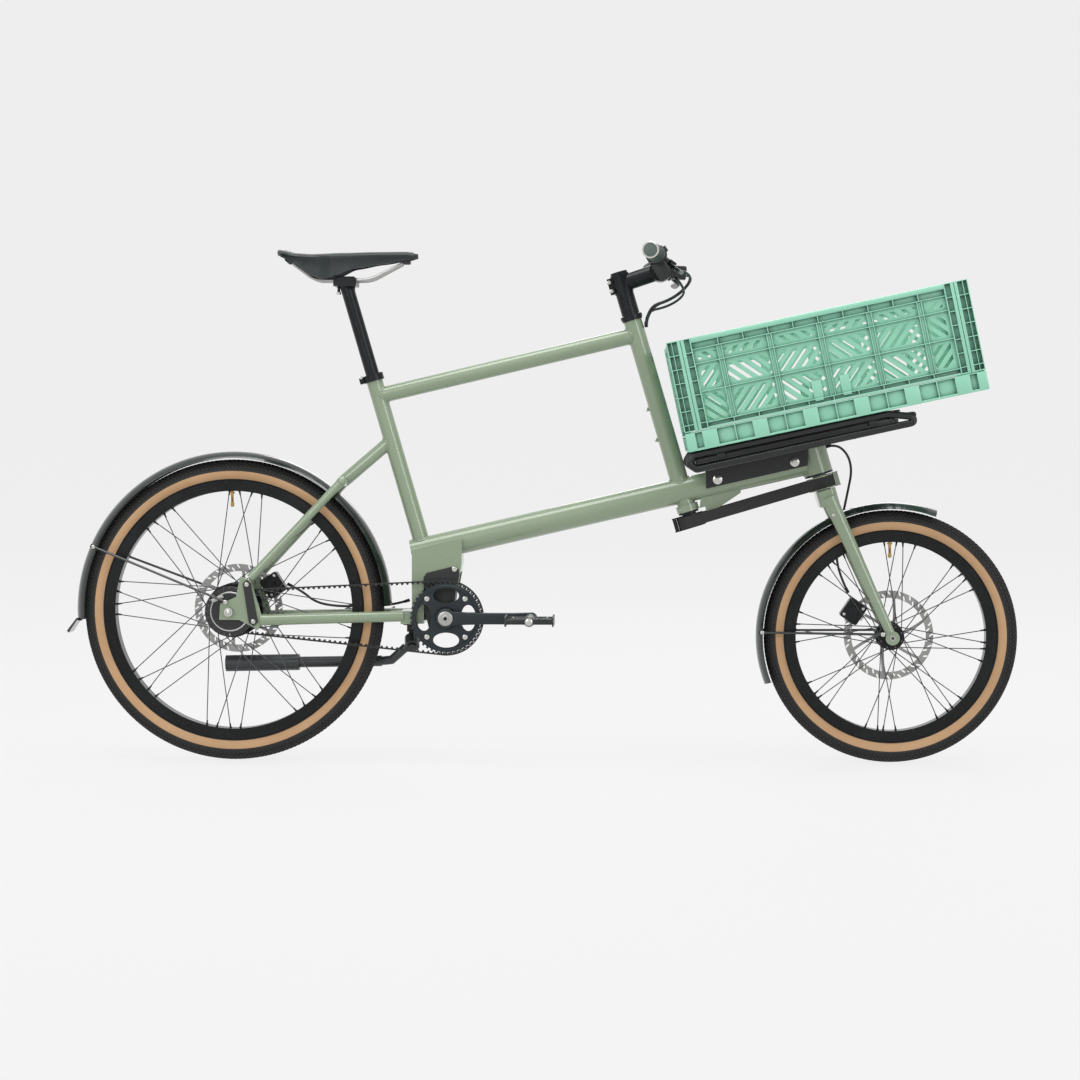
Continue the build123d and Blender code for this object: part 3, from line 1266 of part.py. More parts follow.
def crate_base():
    """The crate's tray and its low rim, grooved for the end walls' hinge beads."""
    body = Pos(CRATE_LENGTH / 2, 0, CRATE_BASE / 2) * Box(CRATE_LENGTH, CRATE_WIDTH, CRATE_BASE)
    room = Box(CRATE_LENGTH - 2 * CRATE_WALL, CRATE_WIDTH - 2 * CRATE_WALL, CRATE_BASE)
    body -= Pos(CRATE_LENGTH / 2, 0, CRATE_BASE / 2 + CRATE_FLOOR) * room
    for front in (False, True):
        body -= crate_hinge(front, HINGE_BEAD_R + SOFT_GAP)
    return CRATE * body


def crate_side_walls():
    """The two long walls, which also carry the corner posts."""
    walls = []
    height = CRATE_HEIGHT - CRATE_BASE - CRATE_GAP
    for side in (-1, 1):
        mid_v = side * (CRATE_WIDTH / 2 - CRATE_WALL / 2)
        place = Pos(CRATE_LENGTH / 2, mid_v, CRATE_BASE + CRATE_GAP + height / 2)
        walls.append(place * Box(CRATE_LENGTH, CRATE_WALL, height))
    return CRATE * group(*walls)


def crate_end_wall(front):
    """One end wall, which folds inwards about the bead along its lower inner edge."""
    height = CRATE_HEIGHT - CRATE_BASE - 2 * CRATE_GAP
    width = CRATE_WIDTH - 2 * CRATE_WALL - 2 * CRATE_GAP
    u = CRATE_LENGTH - CRATE_WALL / 2 if front else CRATE_WALL / 2
    place = Pos(u, 0, CRATE_BASE + CRATE_GAP + height / 2)
    wall = place * Box(CRATE_WALL - 2 * END_WALL_SET_IN, width, height)
    return CRATE * (wall + crate_hinge(front, HINGE_BEAD_R))


# ---------------------------------------------------------------- cables
def cable_routes():
    """Brake hoses and shift cable, by points in the bicycle's directions."""
    def col(u, v, w):
        return tuple(local(COLUMN, u, v, w))

    mid_u, _, mid_w = BAR_MID
    entry = COLUMN_TOP - 8
    right = [
        col(mid_u + 24, -118, mid_w - 12),
        col(mid_u + 52, -76, mid_w - 22),
        col(mid_u + 50, -34, mid_w - 42),
        col(mid_u + 6, -18, mid_w - 62),
        col(COLUMN_R + 16, -9, entry + 26),
        col(COLUMN_R + 4, -6, entry - 12),
    ]
    left = [
        col(mid_u + 24, 118, mid_w - 12),
        col(mid_u + 56, 80, mid_w - 18),
        col(mid_u + 56, 40, mid_w - 36),
        col(mid_u + 14, 18, mid_w - 60),
        col(COLUMN_R + 18, 9, entry + 24),
        col(COLUMN_R + 4, 6, entry - 12),
    ]
    shift = [
        col(mid_u + 22, -146, mid_w - 30),
        col(mid_u + 34, -104, mid_w - 52),
        col(mid_u + 26, -58, mid_w - 66),
        col(mid_u - 8, -24, mid_w - 74),
        col(COLUMN_R + 10, -3, entry + 18),
        col(COLUMN_R + 4, 0, entry - 12),
    ]
    fork_loop = [
        tuple(local(FORK, HEAD_TUBE_R + 1, 14, 66)),
        tuple(local(FORK, HEAD_TUBE_R + 22, 20, 66)),
        tuple(local(FORK, HEAD_TUBE_R + 40, 30, 40)),
        tuple(local(FORK, HEAD_TUBE_R + 40, 44, 6)),
        tuple(local(FORK, HEAD_TUBE_R + 24, 56, -28)),
        tuple(at(1216, 63, 430)),
        tuple(at(1220, 60, 378)),
        tuple(at(1240, 48, 337)),
    ]
    rear = [
        tuple(at(100, 52, 353)),
        tuple(at(128, 52, 340)),
        tuple(at(158, 51, 315)),
        tuple(at(204, 49, 307)),
        tuple(at(262, 44, 309)),
        tuple(at(318, 36, 311)),
        tuple(at(352, 24, 322)),
    ]
    return [right, left, shift, fork_loop, rear]


CABLE_R = 2.5


def control_cables():
    solids = []
    for route in cable_routes():
        radii = bend_radii(route)
        tube = path_tube(route, radii, CABLE_R)
        length = tube.volume / (pi * CABLE_R ** 2)
        print("cable length", round(length, 1), "radii", [round(r, 1) for r in radii])
        solids.append(tube)
    return group(*solids)


def build():
    """Every node by name."""
    nodes = {
        "main_tube": main_tube(),
        "seat_tube": seat_tube(),
        "top_tube": top_tube(),
        "head_column": group(head_column(), column_gusset()),
        "front_head_tube": front_head_tube(),
        "seat_stays": seat_stays(),
        "chain_stays": chain_stays(),
        "motor_bracket": motor_bracket(),
        "bb_housing": bb_housing(),
        "splitter_plate": splitter_plate(),
        "steering_bearings": steering_bearings(),
        "rear_axle": rear_axle(),
        "hub_interface": hub_interface(),
        "rear_caliper": rear_caliper(),
        "rear_fender": rear_fender(),
        "stand_bracket": stand_bracket(),
        "seat_clamp": seat_clamp(),
        "cargo_rack": group(rack(), rack_bracket()),
        "crate_base": crate_base(),
        "crate_side_walls": crate_side_walls(),
        "crate_front_wall": crate_end_wall(True),
        "crate_rear_wall": crate_end_wall(False),
        "drive_belt": drive_belt(),
        "steering_belt": steering_belt(),
        "control_cables": control_cables(),
        "rear_sprocket": rear_sprocket(),
        "front_sprocket": front_sprocket(),
        "cranks": cranks(),
        "pedal_right": pedal(-1),
        "pedal_left": pedal(1),
        "steerer": steerer(),
        "spacers": spacers(),
        "stem": stem(),
        "handlebar": handlebar(),
        "grips": grips(),
        "twist_sleeve": twist_sleeve(),
        "lever_bodies": lever_bodies(),
        "brake_lever_right": brake_lever(-1),
        "brake_lever_left": brake_lever(1),
        "headlamp": front_display(),
        "fork": fork(),
        "front_axle": front_axle(),
        "front_caliper": front_caliper(),
        "front_fender": front_fender(),
        "seatpost": seatpost(),
        "saddle_rails": saddle_rails(),
        "saddle": saddle(),
        "stand_leg": stand_leg(),
    }
    nodes.update(rear_wheel())
    nodes.update(front_wheel())
    return nodes


if __name__ == "__main__":
    os.makedirs("parts", exist_ok=True)
    for name, solid in build().items():
        export_step(solid, "parts/" + name + ".step")
    print("stand axis", stand_axis(), "turn", round(stand_turn(), 1))
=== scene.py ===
# %% [markdown]
# # A cargo bicycle, dressed for its portrait
#
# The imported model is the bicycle's skeleton: every tube, shaft and wheel is already at its true
# size and place. This lesson adds what the eye looks for: tread on the tyres, teeth on the belts,
# the lattice of the folding crate, stitched edges, bolts and a finish for each material.
# We load the skeleton once and never move it, so each new piece takes its place from it.

# %% Load the skeleton
import json
import random
from math import asin, atan2, cos, degrees, pi, radians, sin, sqrt, tau

import bmesh
import bpy
from mathutils import Matrix, Vector


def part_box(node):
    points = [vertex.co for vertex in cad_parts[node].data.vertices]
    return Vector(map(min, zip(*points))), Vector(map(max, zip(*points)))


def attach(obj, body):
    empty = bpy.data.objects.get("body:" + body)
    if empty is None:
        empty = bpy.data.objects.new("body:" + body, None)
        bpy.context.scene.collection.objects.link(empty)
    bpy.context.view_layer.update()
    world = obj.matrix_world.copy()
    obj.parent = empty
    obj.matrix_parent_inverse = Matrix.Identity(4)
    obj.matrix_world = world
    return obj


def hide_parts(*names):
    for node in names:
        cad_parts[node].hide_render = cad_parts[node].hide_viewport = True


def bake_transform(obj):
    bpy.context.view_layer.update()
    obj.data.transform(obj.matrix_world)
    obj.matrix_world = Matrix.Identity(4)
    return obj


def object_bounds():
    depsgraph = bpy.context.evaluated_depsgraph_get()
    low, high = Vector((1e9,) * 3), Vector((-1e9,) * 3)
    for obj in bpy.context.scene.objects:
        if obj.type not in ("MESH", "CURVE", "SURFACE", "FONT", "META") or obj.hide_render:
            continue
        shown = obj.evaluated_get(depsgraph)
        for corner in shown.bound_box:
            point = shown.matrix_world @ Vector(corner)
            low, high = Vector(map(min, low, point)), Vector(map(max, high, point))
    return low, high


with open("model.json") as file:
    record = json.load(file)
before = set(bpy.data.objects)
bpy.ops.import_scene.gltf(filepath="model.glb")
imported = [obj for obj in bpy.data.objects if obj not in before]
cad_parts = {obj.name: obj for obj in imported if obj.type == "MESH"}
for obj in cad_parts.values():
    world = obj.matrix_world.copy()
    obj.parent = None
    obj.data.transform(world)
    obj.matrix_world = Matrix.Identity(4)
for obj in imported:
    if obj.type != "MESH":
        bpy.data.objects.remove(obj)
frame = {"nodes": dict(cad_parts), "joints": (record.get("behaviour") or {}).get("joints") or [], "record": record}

cad_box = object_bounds()
nodes = frame["nodes"]
joints = {joint["name"]: joint for joint in frame["joints"]}
random.seed(11)

# %% [markdown]
# ## Measures
#
# We think of a bicycle in millimetres, and Blender works in metres, so one constant turns one
# into the other. The joints of the skeleton give the axles, the pedals and the steering axes.
# The two points where the crate's end walls hinge give the slope of the crate.

# %% Points and directions of the skeleton
MM = 0.001


def mm(*values):
    """A tuple of millimetres as metres."""
    return tuple(value * MM for value in values)


def shift(x, y, z):
    """A move in millimetres."""
    return Matrix.Translation(mm(x, y, z))


def spin(angle, axis):
    """A turn in degrees about a named axis."""
    return Matrix.Rotation(radians(angle), 4, axis)


def joint_at(name):
    """Where a joint is, in metres."""
    return Vector(joints[name]["pos_m"])


def joint_axis(name):
    """The unit direction of a joint's axis."""
    return Vector(joints[name]["axis"]).normalized()


REAR_AXLE = joint_at("rear_wheel_spin")
FRONT_AXLE = joint_at("front_wheel_spin")
BB = joint_at("crank_spin")
UP_COLUMN = joint_axis("column_steer")
COLUMN_AT = joint_at("column_steer")
FORK_AT = joint_at("fork_steer")
AHEAD = (FORK_AT - COLUMN_AT).normalized()
SIDE = Vector((0, 1, 0))
REAR_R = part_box("rear_tyre")[1].z - REAR_AXLE.z
FRONT_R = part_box("front_tyre")[1].z - FRONT_AXLE.z
print(
    "wheelbase", round((FRONT_AXLE - REAR_AXLE).length, 3), "radii", round(REAR_R, 4),
    round(FRONT_R, 4),
)


# %% [markdown]
# ## The camera
#
# A long lens from more than five metres away gives the flat, catalogue-like side view. The camera
# is a little ahead of the middle and a little above it, so the far rims and the top of the rack
# just show. Its aim is the middle of the bicycle, a hand above half its height.

# %% Camera
AIM = Vector(((cad_box[0].x + cad_box[1].x) / 2, 0, 0.445))
VIEW_AHEAD = 2.14            # degrees towards the front of the bicycle
VIEW_ABOVE = 2.2             # degrees above the aim
VIEW_DISTANCE = 5.36


def place_camera():
    """A still camera at the side, aimed at the bicycle's middle."""
    data = bpy.data.cameras.new("camera")
    data.lens = 88.8
    data.sensor_width = 36
    data.clip_end = 100
    camera = bpy.data.objects.new("camera", data)
    turn, rise = radians(VIEW_AHEAD), radians(VIEW_ABOVE)
    away = Vector((sin(turn) * cos(rise), -cos(turn) * cos(rise), sin(rise)))
    camera.location = AIM + away * VIEW_DISTANCE
    camera.rotation_mode = "QUATERNION"
    camera.rotation_quaternion = (-away).to_track_quat("-Z", "Y")
    bpy.context.scene.collection.objects.link(camera)
    bpy.context.scene.camera = camera
    return camera


camera = place_camera()
print("camera", [round(c, 3) for c in camera.location])

# %% [markdown]
# ## Helpers for new pieces
#
# Every new piece is drawn in a bmesh, turned into an object, given its materials, and told which
# part of the skeleton it rides on. Hard corners keep a crisp shade and the rest is smooth: an edge
# is marked sharp where its two faces meet at more than a chosen angle.

# %% From a bmesh to a piece of the bicycle
def finish_piece(name, bm, body, materials, sharp=35, recalc=True):
    """Makes an object of the bmesh. It rides on a body of the skeleton, if one is named."""
    if recalc:
        bmesh.ops.recalc_face_normals(bm, faces=bm.faces)
    for face in bm.faces:
        face.smooth = True
    for edge in bm.edges:
        if len(edge.link_faces) == 2 and edge.calc_face_angle(0) > radians(sharp):
            edge.smooth = False
    mesh = bpy.data.meshes.new(name)
    bm.to_mesh(mesh)
    bm.free()
    for material in materials:
        mesh.materials.append(material)
    piece = bpy.data.objects.new(name, mesh)
    bpy.context.scene.collection.objects.link(piece)
    if body:
        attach(piece, body)
    return piece


def since(bm, before):
    """The faces drawn after the set `before` was taken."""
    return [face for face in bm.faces if face not in before]


def paint_faces(faces, index):
    """Gives these faces the material at that place in the piece's list."""
    for face in faces:
        face.material_index = index


# %% Shapes that many pieces start from
def round_edges(bm, edges, offset, segments=2):
    """Bevels edges with the round profile that the editor uses."""
    return bmesh.ops.bevel(
        bm, geom=edges, offset=offset, segments=segments, profile=0.5, affect="EDGES", material=-1
    )


def frame_of(origin, x_axis, z_axis):
    """A matrix whose local X and Z lie along the two given directions."""
    z_dir = Vector(z_axis).normalized()
    x_dir = Vector(x_axis) - z_dir * Vector(x_axis).dot(z_dir)
    x_dir.normalize()
    y_dir = z_dir.cross(x_dir)
    turn = Matrix((x_dir, y_dir, z_dir)).transposed().to_4x4()
    return Matrix.Translation(origin) @ turn


def new_faces(verts):
    """The faces that these vertices carry."""
    return list({face for vert in verts for face in vert.link_faces})


def add_box(bm, place, size, bevel=0.0, segments=2):
    """A box with rounded edges. place is its matrix, size its three sides."""
    made = bmesh.ops.create_cube(bm, size=1, matrix=place @ Matrix.Diagonal((*size, 1)))
    verts = made["verts"]
    if bevel:
        edges = list({edge for vert in verts for edge in vert.link_edges})
        done = round_edges(bm, edges, bevel, segments)
        return done["faces"]
    return new_faces(verts)


def add_rod(bm, start, end, radius, segments=16, end_radius=None, bevel=0.0):
    """A bar between two points, round unless it has few segments."""
    start, end = Vector(start), Vector(end)
    run = end - start
    side = Vector((0, 1, 0)) if abs(run.normalized().y) < 0.9 else Vector((1, 0, 0))
    place = frame_of((start + end) / 2, side, run)
    made = bmesh.ops.create_cone(
        bm, cap_ends=True, cap_tris=False, segments=segments, radius1=radius,
        radius2=radius if end_radius is None else end_radius, depth=run.length, matrix=place,
    )
    faces = new_faces(made["verts"])
    if bevel:
        caps = [face for face in faces if len(face.verts) == segments]
        rims = list({edge for face in caps for edge in face.edges})
        done = round_edges(bm, rims, bevel, 2)
        faces = list(set(face for face in faces if face.is_valid) | set(done["faces"]))
    return faces


def add_plate(bm, place, outline, low, high, bevel=0.0, segments=2):
    """An outline in place's own X-Y plane, made into a plate from low to high along its Z."""
    verts = [bm.verts.new(place @ Vector((x, y, low))) for x, y in outline]
    base = bm.faces.new(verts)
    made = bmesh.ops.extrude_face_region(bm, geom=[base])
    top = [item for item in made["geom"] if isinstance(item, bmesh.types.BMVert)]
    bmesh.ops.translate(bm, verts=top, vec=place.to_3x3() @ Vector((0, 0, high - low)))
    faces = new_faces(verts + top)
    if bevel:
        caps = [face for face in faces if len(face.verts) == len(outline)]
        rims = list({edge for face in caps for edge in face.edges})
        done = round_edges(bm, rims, bevel, segments)
        faces = list({face for face in faces if face.is_valid} | set(done["faces"]))
    return faces


def side_frame(centre, ahead=1):
    """A matrix with local X ahead (or back) and local Y up, so a plate grows sideways."""
    x_dir, y_dir = Vector((ahead, 0, 0)), Vector((0, 0, 1))
    turn = Matrix((x_dir, y_dir, x_dir.cross(y_dir))).transposed().to_4x4()
    return Matrix.Translation(centre) @ turn


def add_turned(bm, profile, place, steps=48, closed=True):
    """A profile of (radius, height) points spun about the local Z of place."""
    verts = [bm.verts.new(place @ Vector((r, 0, h))) for r, h in profile]
    pairs = zip(verts, verts[1:] + verts[:1]) if closed else zip(verts, verts[1:])
    edges = [bm.edges.new(pair) for pair in pairs]
    axis = place.to_3x3() @ Vector((0, 0, 1))
    bmesh.ops.spin(
        bm, geom=verts + edges, cent=place.translation, axis=axis, angle=tau, steps=steps,
        use_merge=True
    )


def axle_frame(centre):
    """A matrix on a wheel's middle: local Z along Y, so turned shapes are wheels."""
    return frame_of(centre, (1, 0, 0), (0, 1, 0))


def add_bolt(bm, point, direction, radius, height, hex_r=0.5):
    """A socket-head bolt: a bevelled cap with a hexagon sunk into it."""
    direction = Vector(direction).normalized()
    point = Vector(point)
    side = Vector((0, 1, 0)) if abs(direction.y) < 0.9 else Vector((1, 0, 0))
    place = frame_of(point, side, direction)
    made = bmesh.ops.create_cone(
        bm, cap_ends=True, cap_tris=False, segments=24, radius1=radius, radius2=radius,
        depth=height,
        matrix=place @ Matrix.Translation((0, 0, height / 2)),
    )
    faces = new_faces(made["verts"])
    top = max(faces, key=lambda face: (face.calc_center_median() - point).dot(direction))
    round_edges(bm, list(top.edges), radius * 0.18, 2)
    top = max(
        (
            face for face in bm.faces
            if len(face.verts) == 24 and (face.calc_center_median() - point).length < height * 1.5
        ),
        key=lambda face: (face.calc_center_median() - point).dot(direction),
    )
    bmesh.ops.inset_region(bm, faces=[top], thickness=radius * (0.82 - hex_r), use_even_offset=True)
    sunk = bmesh.ops.extrude_face_region(bm, geom=[top])
    bmesh.ops.delete(bm, geom=[top], context="FACES_ONLY")
    verts = [item for item in sunk["geom"] if isinstance(item, bmesh.types.BMVert)]
    bmesh.ops.translate(bm, verts=verts, vec=-direction * height * 0.6)
    return faces


# %% [markdown]
# ## The studio
#
# The floor is a very wide, pale bowl: flat under the bicycle, curving up far away. Seen from any
# side it has no corner and no horizon, like the paper sweep of a photo studio. It glows a little
# by itself, so its colour stays even, and it still takes a soft contact shadow.

# %% Floor
FLOOR_R = 13.0
WALL_CURVE_R = 5.0
PAPER = (0.86, 0.86, 0.86, 1)


def make_floor():
    """A flat disc that curves up into a round wall."""
    bm = bmesh.new()
    profile = [(0.001, 0), (4, 0), (FLOOR_R - WALL_CURVE_R, 0)]
    steps = 10
    for step in range(1, steps + 1):
        turn = radians(90) * step / steps
        across = FLOOR_R - WALL_CURVE_R + WALL_CURVE_R * sin(turn)
        profile.append((across, WALL_CURVE_R * (1 - cos(turn))))
    profile.append((FLOOR_R, 9))
    add_turned(bm, profile, Matrix.Identity(4), steps=96, closed=False)
    for face in bm.faces:
        face.smooth = True
    mesh = bpy.data.meshes.new("studio_floor")
    bm.to_mesh(mesh)
    bm.free()
    material = bpy.data.materials.new("studio_paper")
    material.use_nodes = True
    shader = material.node_tree.nodes["Principled BSDF"]
    shader.inputs["Base Color"].default_value = (0.06, 0.06, 0.06, 1)
    shader.inputs["Roughness"].default_value = 0.9
    shader.inputs["Specular IOR Level"].default_value = 0.1
    shader.inputs["Emission Color"].default_value = PAPER
    shader.inputs["Emission Strength"].default_value = 0.93
    mesh.materials.append(material)
    floor = bpy.data.objects.new("studio_floor", mesh)
    bpy.context.scene.collection.objects.link(floor)
    return floor


floor = make_floor()

# %% [markdown]
# ## Light
#
# One broad softbox hangs over the bicycle and draws the bright line along the top of each tube.
# Two weaker ones fill the near side and one the far side, so black parts keep their shape.
# The sky of the studio is a pale even grey, which is most of the light.

# %% Lamps and sky
def add_softbox(name, place, aim, size, power):
    """An area lamp of a given size, pointed at the aim."""
    data = bpy.data.lights.new(name, "AREA")
    data.shape = "RECTANGLE"
    data.size, data.size_y = size
    data.energy = power
    lamp = bpy.data.objects.new(name, data)
    lamp.location = place
    lamp.rotation_mode = "QUATERNION"
    lamp.rotation_quaternion = (Vector(aim) - Vector(place)).to_track_quat("-Z", "Y")
    bpy.context.scene.collection.objects.link(lamp)
    return lamp


def light_studio():
    """The lamps, the sky and the colour rendering."""
    add_softbox("top_softbox", (0.1, -0.5, 3.6), (0, 0, 0.4), (3.6, 1.8), 92)
    add_softbox("near_fill", (-2.4, -4.6, 2.4), (0, 0, 0.5), (2.2, 2.2), 52)
    add_softbox("front_fill", (3.2, -4.0, 1.8), (0.2, 0, 0.5), (1.6, 2.0), 34)
    add_softbox("far_fill", (0.6, 4.4, 3.0), (0, 0, 0.5), (2.6, 2.0), 42)
    world = bpy.data.worlds.new("studio_sky")
    world.use_nodes = True
    sky = world.node_tree.nodes["Background"]
    sky.inputs["Color"].default_value = (1, 1, 1, 1)
    sky.inputs["Strength"].default_value = 0.75
    bpy.context.scene.world = world
    bpy.context.scene.view_settings.view_transform = "Standard"


light_studio()

# %% [markdown]
# ## Effects that many finishes share
#
# Real paint, metal and plastic are never one even colour: they have a fine grain, they pick up
# dust and handling marks, and their edges wear; on a few finishes the pale edges are partly a
# painted highlight. One more effect is painted shade: a darker colour deep in recesses. Each such
# effect is one node group, built once and placed in each material with its own values. The groups
# give out only masks and normals, so the shader itself stays in the material.

# %% Node groups
def new_group(name, inputs, outputs):
    """An empty shader group with named sockets. inputs are (name, kind, value)."""
    group = bpy.data.node_groups.new(name, "ShaderNodeTree")
    for label, kind, value in inputs:
        socket = group.interface.new_socket(label, in_out="INPUT", socket_type=kind)
        if value is not None:
            socket.default_value = value
    for label, kind in outputs:
        group.interface.new_socket(label, in_out="OUTPUT", socket_type=kind)
    into = group.nodes.new("NodeGroupInput")
    out = group.nodes.new("NodeGroupOutput")
    return group, into, out


def add_noise(tree, vector, scale, detail=3.0, rough=0.55):
    """A noise texture node; scale may be a number or a socket."""
    noise = tree.nodes.new("ShaderNodeTexNoise")
    noise.inputs["Detail"].default_value = detail
    noise.inputs["Roughness"].default_value = rough
    if isinstance(scale, (int, float)):
        noise.inputs["Scale"].default_value = scale
    else:
        tree.links.new(scale, noise.inputs["Scale"])
    tree.links.new(vector, noise.inputs["Vector"])
    return noise


def add_range(tree, value, low, high, to_low, to_high):
    """Remaps a value from low..high to to_low..to_high. Limits may be numbers or sockets."""
    node = tree.nodes.new("ShaderNodeMapRange")
    tree.links.new(value, node.inputs["Value"])
    for label, item in (
        ("From Min", low), ("From Max", high), ("To Min", to_low), ("To Max", to_high)
    ):
        if isinstance(item, (int, float)):
            node.inputs[label].default_value = item
        else:
            tree.links.new(item, node.inputs[label])
    return node.outputs["Result"]


def make_grain_group():
    """Fine surface texture: a noise turned into a normal."""
    group, into, out = new_group(
        "surface_grain",
        [("Vector", "NodeSocketVector", None), ("Scale", "NodeSocketFloat", 800.0),
         ("Strength", "NodeSocketFloat", 0.1), ("Depth", "NodeSocketFloat", 0.0002)],
        [("Normal", "NodeSocketVector"), ("Height", "NodeSocketFloat")],
    )
    noise = add_noise(group, into.outputs["Vector"], into.outputs["Scale"], 4.0, 0.6)
    bump = group.nodes.new("ShaderNodeBump")
    group.links.new(into.outputs["Strength"], bump.inputs["Strength"])
    group.links.new(into.outputs["Depth"], bump.inputs["Distance"])
    group.links.new(noise.outputs["Fac"], bump.inputs["Height"])
    group.links.new(bump.outputs["Normal"], out.inputs["Normal"])
    group.links.new(noise.outputs["Fac"], out.inputs["Height"])
    return group


def make_handling_group():
    """Soft uneven patches and small specks, as handling and dust leave them."""
    group, into, out = new_group(
        "handling_marks",
        [("Vector", "NodeSocketVector", None), ("Scale", "NodeSocketFloat", 6.0),
         ("Low", "NodeSocketFloat", 0.2), ("High", "NodeSocketFloat", 0.35)],
        [("Roughness", "NodeSocketFloat"), ("Patches", "NodeSocketFloat"), ("Specks", "NodeSocketFloat")],
    )
    broad = add_noise(group, into.outputs["Vector"], into.outputs["Scale"], 5.0, 0.65)
    patches = add_range(group, broad.outputs["Fac"], 0.3, 0.7, 0.0, 1.0)
    rough = add_range(group, patches, 0.0, 1.0, into.outputs["Low"], into.outputs["High"])
    fine = add_noise(group, into.outputs["Vector"], 420.0, 2.0, 0.5)
    specks = add_range(group, fine.outputs["Fac"], 0.66, 0.74, 0.0, 1.0)
    group.links.new(rough, out.inputs["Roughness"])
    group.links.new(patches, out.inputs["Patches"])
    group.links.new(specks, out.inputs["Specks"])
    return group


def make_edge_wear_and_highlight_group():
    """A mask that is bright along edges, for wear and for a painted highlight: a rounded normal differs from the
    true one there.
    """
    group, into, out = new_group(
        "edge_wear_and_painted_highlight",
        [("Vector", "NodeSocketVector", None), ("Radius", "NodeSocketFloat", 0.001),
         ("Amount", "NodeSocketFloat", 0.5)],
        [("Mask", "NodeSocketFloat")],
    )
    soft = group.nodes.new("ShaderNodeBevel")
    soft.samples = 4
    group.links.new(into.outputs["Radius"], soft.inputs["Radius"])
    shape = group.nodes.new("ShaderNodeNewGeometry")
    dot = group.nodes.new("ShaderNodeVectorMath")
    dot.operation = "DOT_PRODUCT"
    group.links.new(soft.outputs["Normal"], dot.inputs[0])
    group.links.new(shape.outputs["Normal"], dot.inputs[1])
    edge = add_range(group, dot.outputs["Value"], 0.98, 0.75, 0.0, 1.0)
    broken = add_noise(group, into.outputs["Vector"], 60.0, 6.0, 0.7)
    share = add_range(group, broken.outputs["Fac"], 0.42, 0.6, 0.0, 1.0)
    both = group.nodes.new("ShaderNodeMath")
    both.operation = "MULTIPLY"
    group.links.new(edge, both.inputs[0])
    group.links.new(share, both.inputs[1])
    amount = group.nodes.new("ShaderNodeMath")
    amount.operation = "MULTIPLY"
    group.links.new(both.outputs[0], amount.inputs[0])
    group.links.new(into.outputs["Amount"], amount.inputs[1])
    group.links.new(amount.outputs[0], out.inputs["Mask"])
    return group


def make_recess_group():
    """A mask that is bright deep in pockets and corners, where little light gets in."""
    group, into, out = new_group(
        "recess_shade", [("Vector", "NodeSocketVector", None), ("Reach", "NodeSocketFloat", 0.01)],
        [("Mask", "NodeSocketFloat")],
    )
    open_sky = group.nodes.new("ShaderNodeAmbientOcclusion")
    open_sky.samples = 8
    group.links.new(into.outputs["Reach"], open_sky.inputs["Distance"])
    shade = add_range(group, open_sky.outputs["AO"], 0.85, 0.15, 0.0, 1.0)
    group.links.new(shade, out.inputs["Mask"])
    return group


GRAIN = make_grain_group()
RECESS = make_recess_group()
HANDLING = make_handling_group()
EDGE_WEAR_AND_HIGHLIGHT = make_edge_wear_and_highlight_group()
print("effects", [group.name for group in (GRAIN, RECESS, HANDLING, EDGE_WEAR_AND_HIGHLIGHT)])

# %% [markdown]
# ## Finishes
#
# `Finish` starts a material: a Principled shader with its plain values set straight on its
# sockets, the object's own coordinates, and short methods that add one effect each. A finish is
# then a few lines that read like a paint recipe.

# %% A material under construction
def rgb(red, green, blue):
    """A colour as seen on a screen, 0 to 255, as the linear values the shader wants."""
    linear = []
    for part in (red, green, blue):
        share = part / 255
        linear.append(share / 12.92 if share <= 0.04045 else ((share + 0.055) / 1.055) ** 2.4)
    return (*linear, 1)


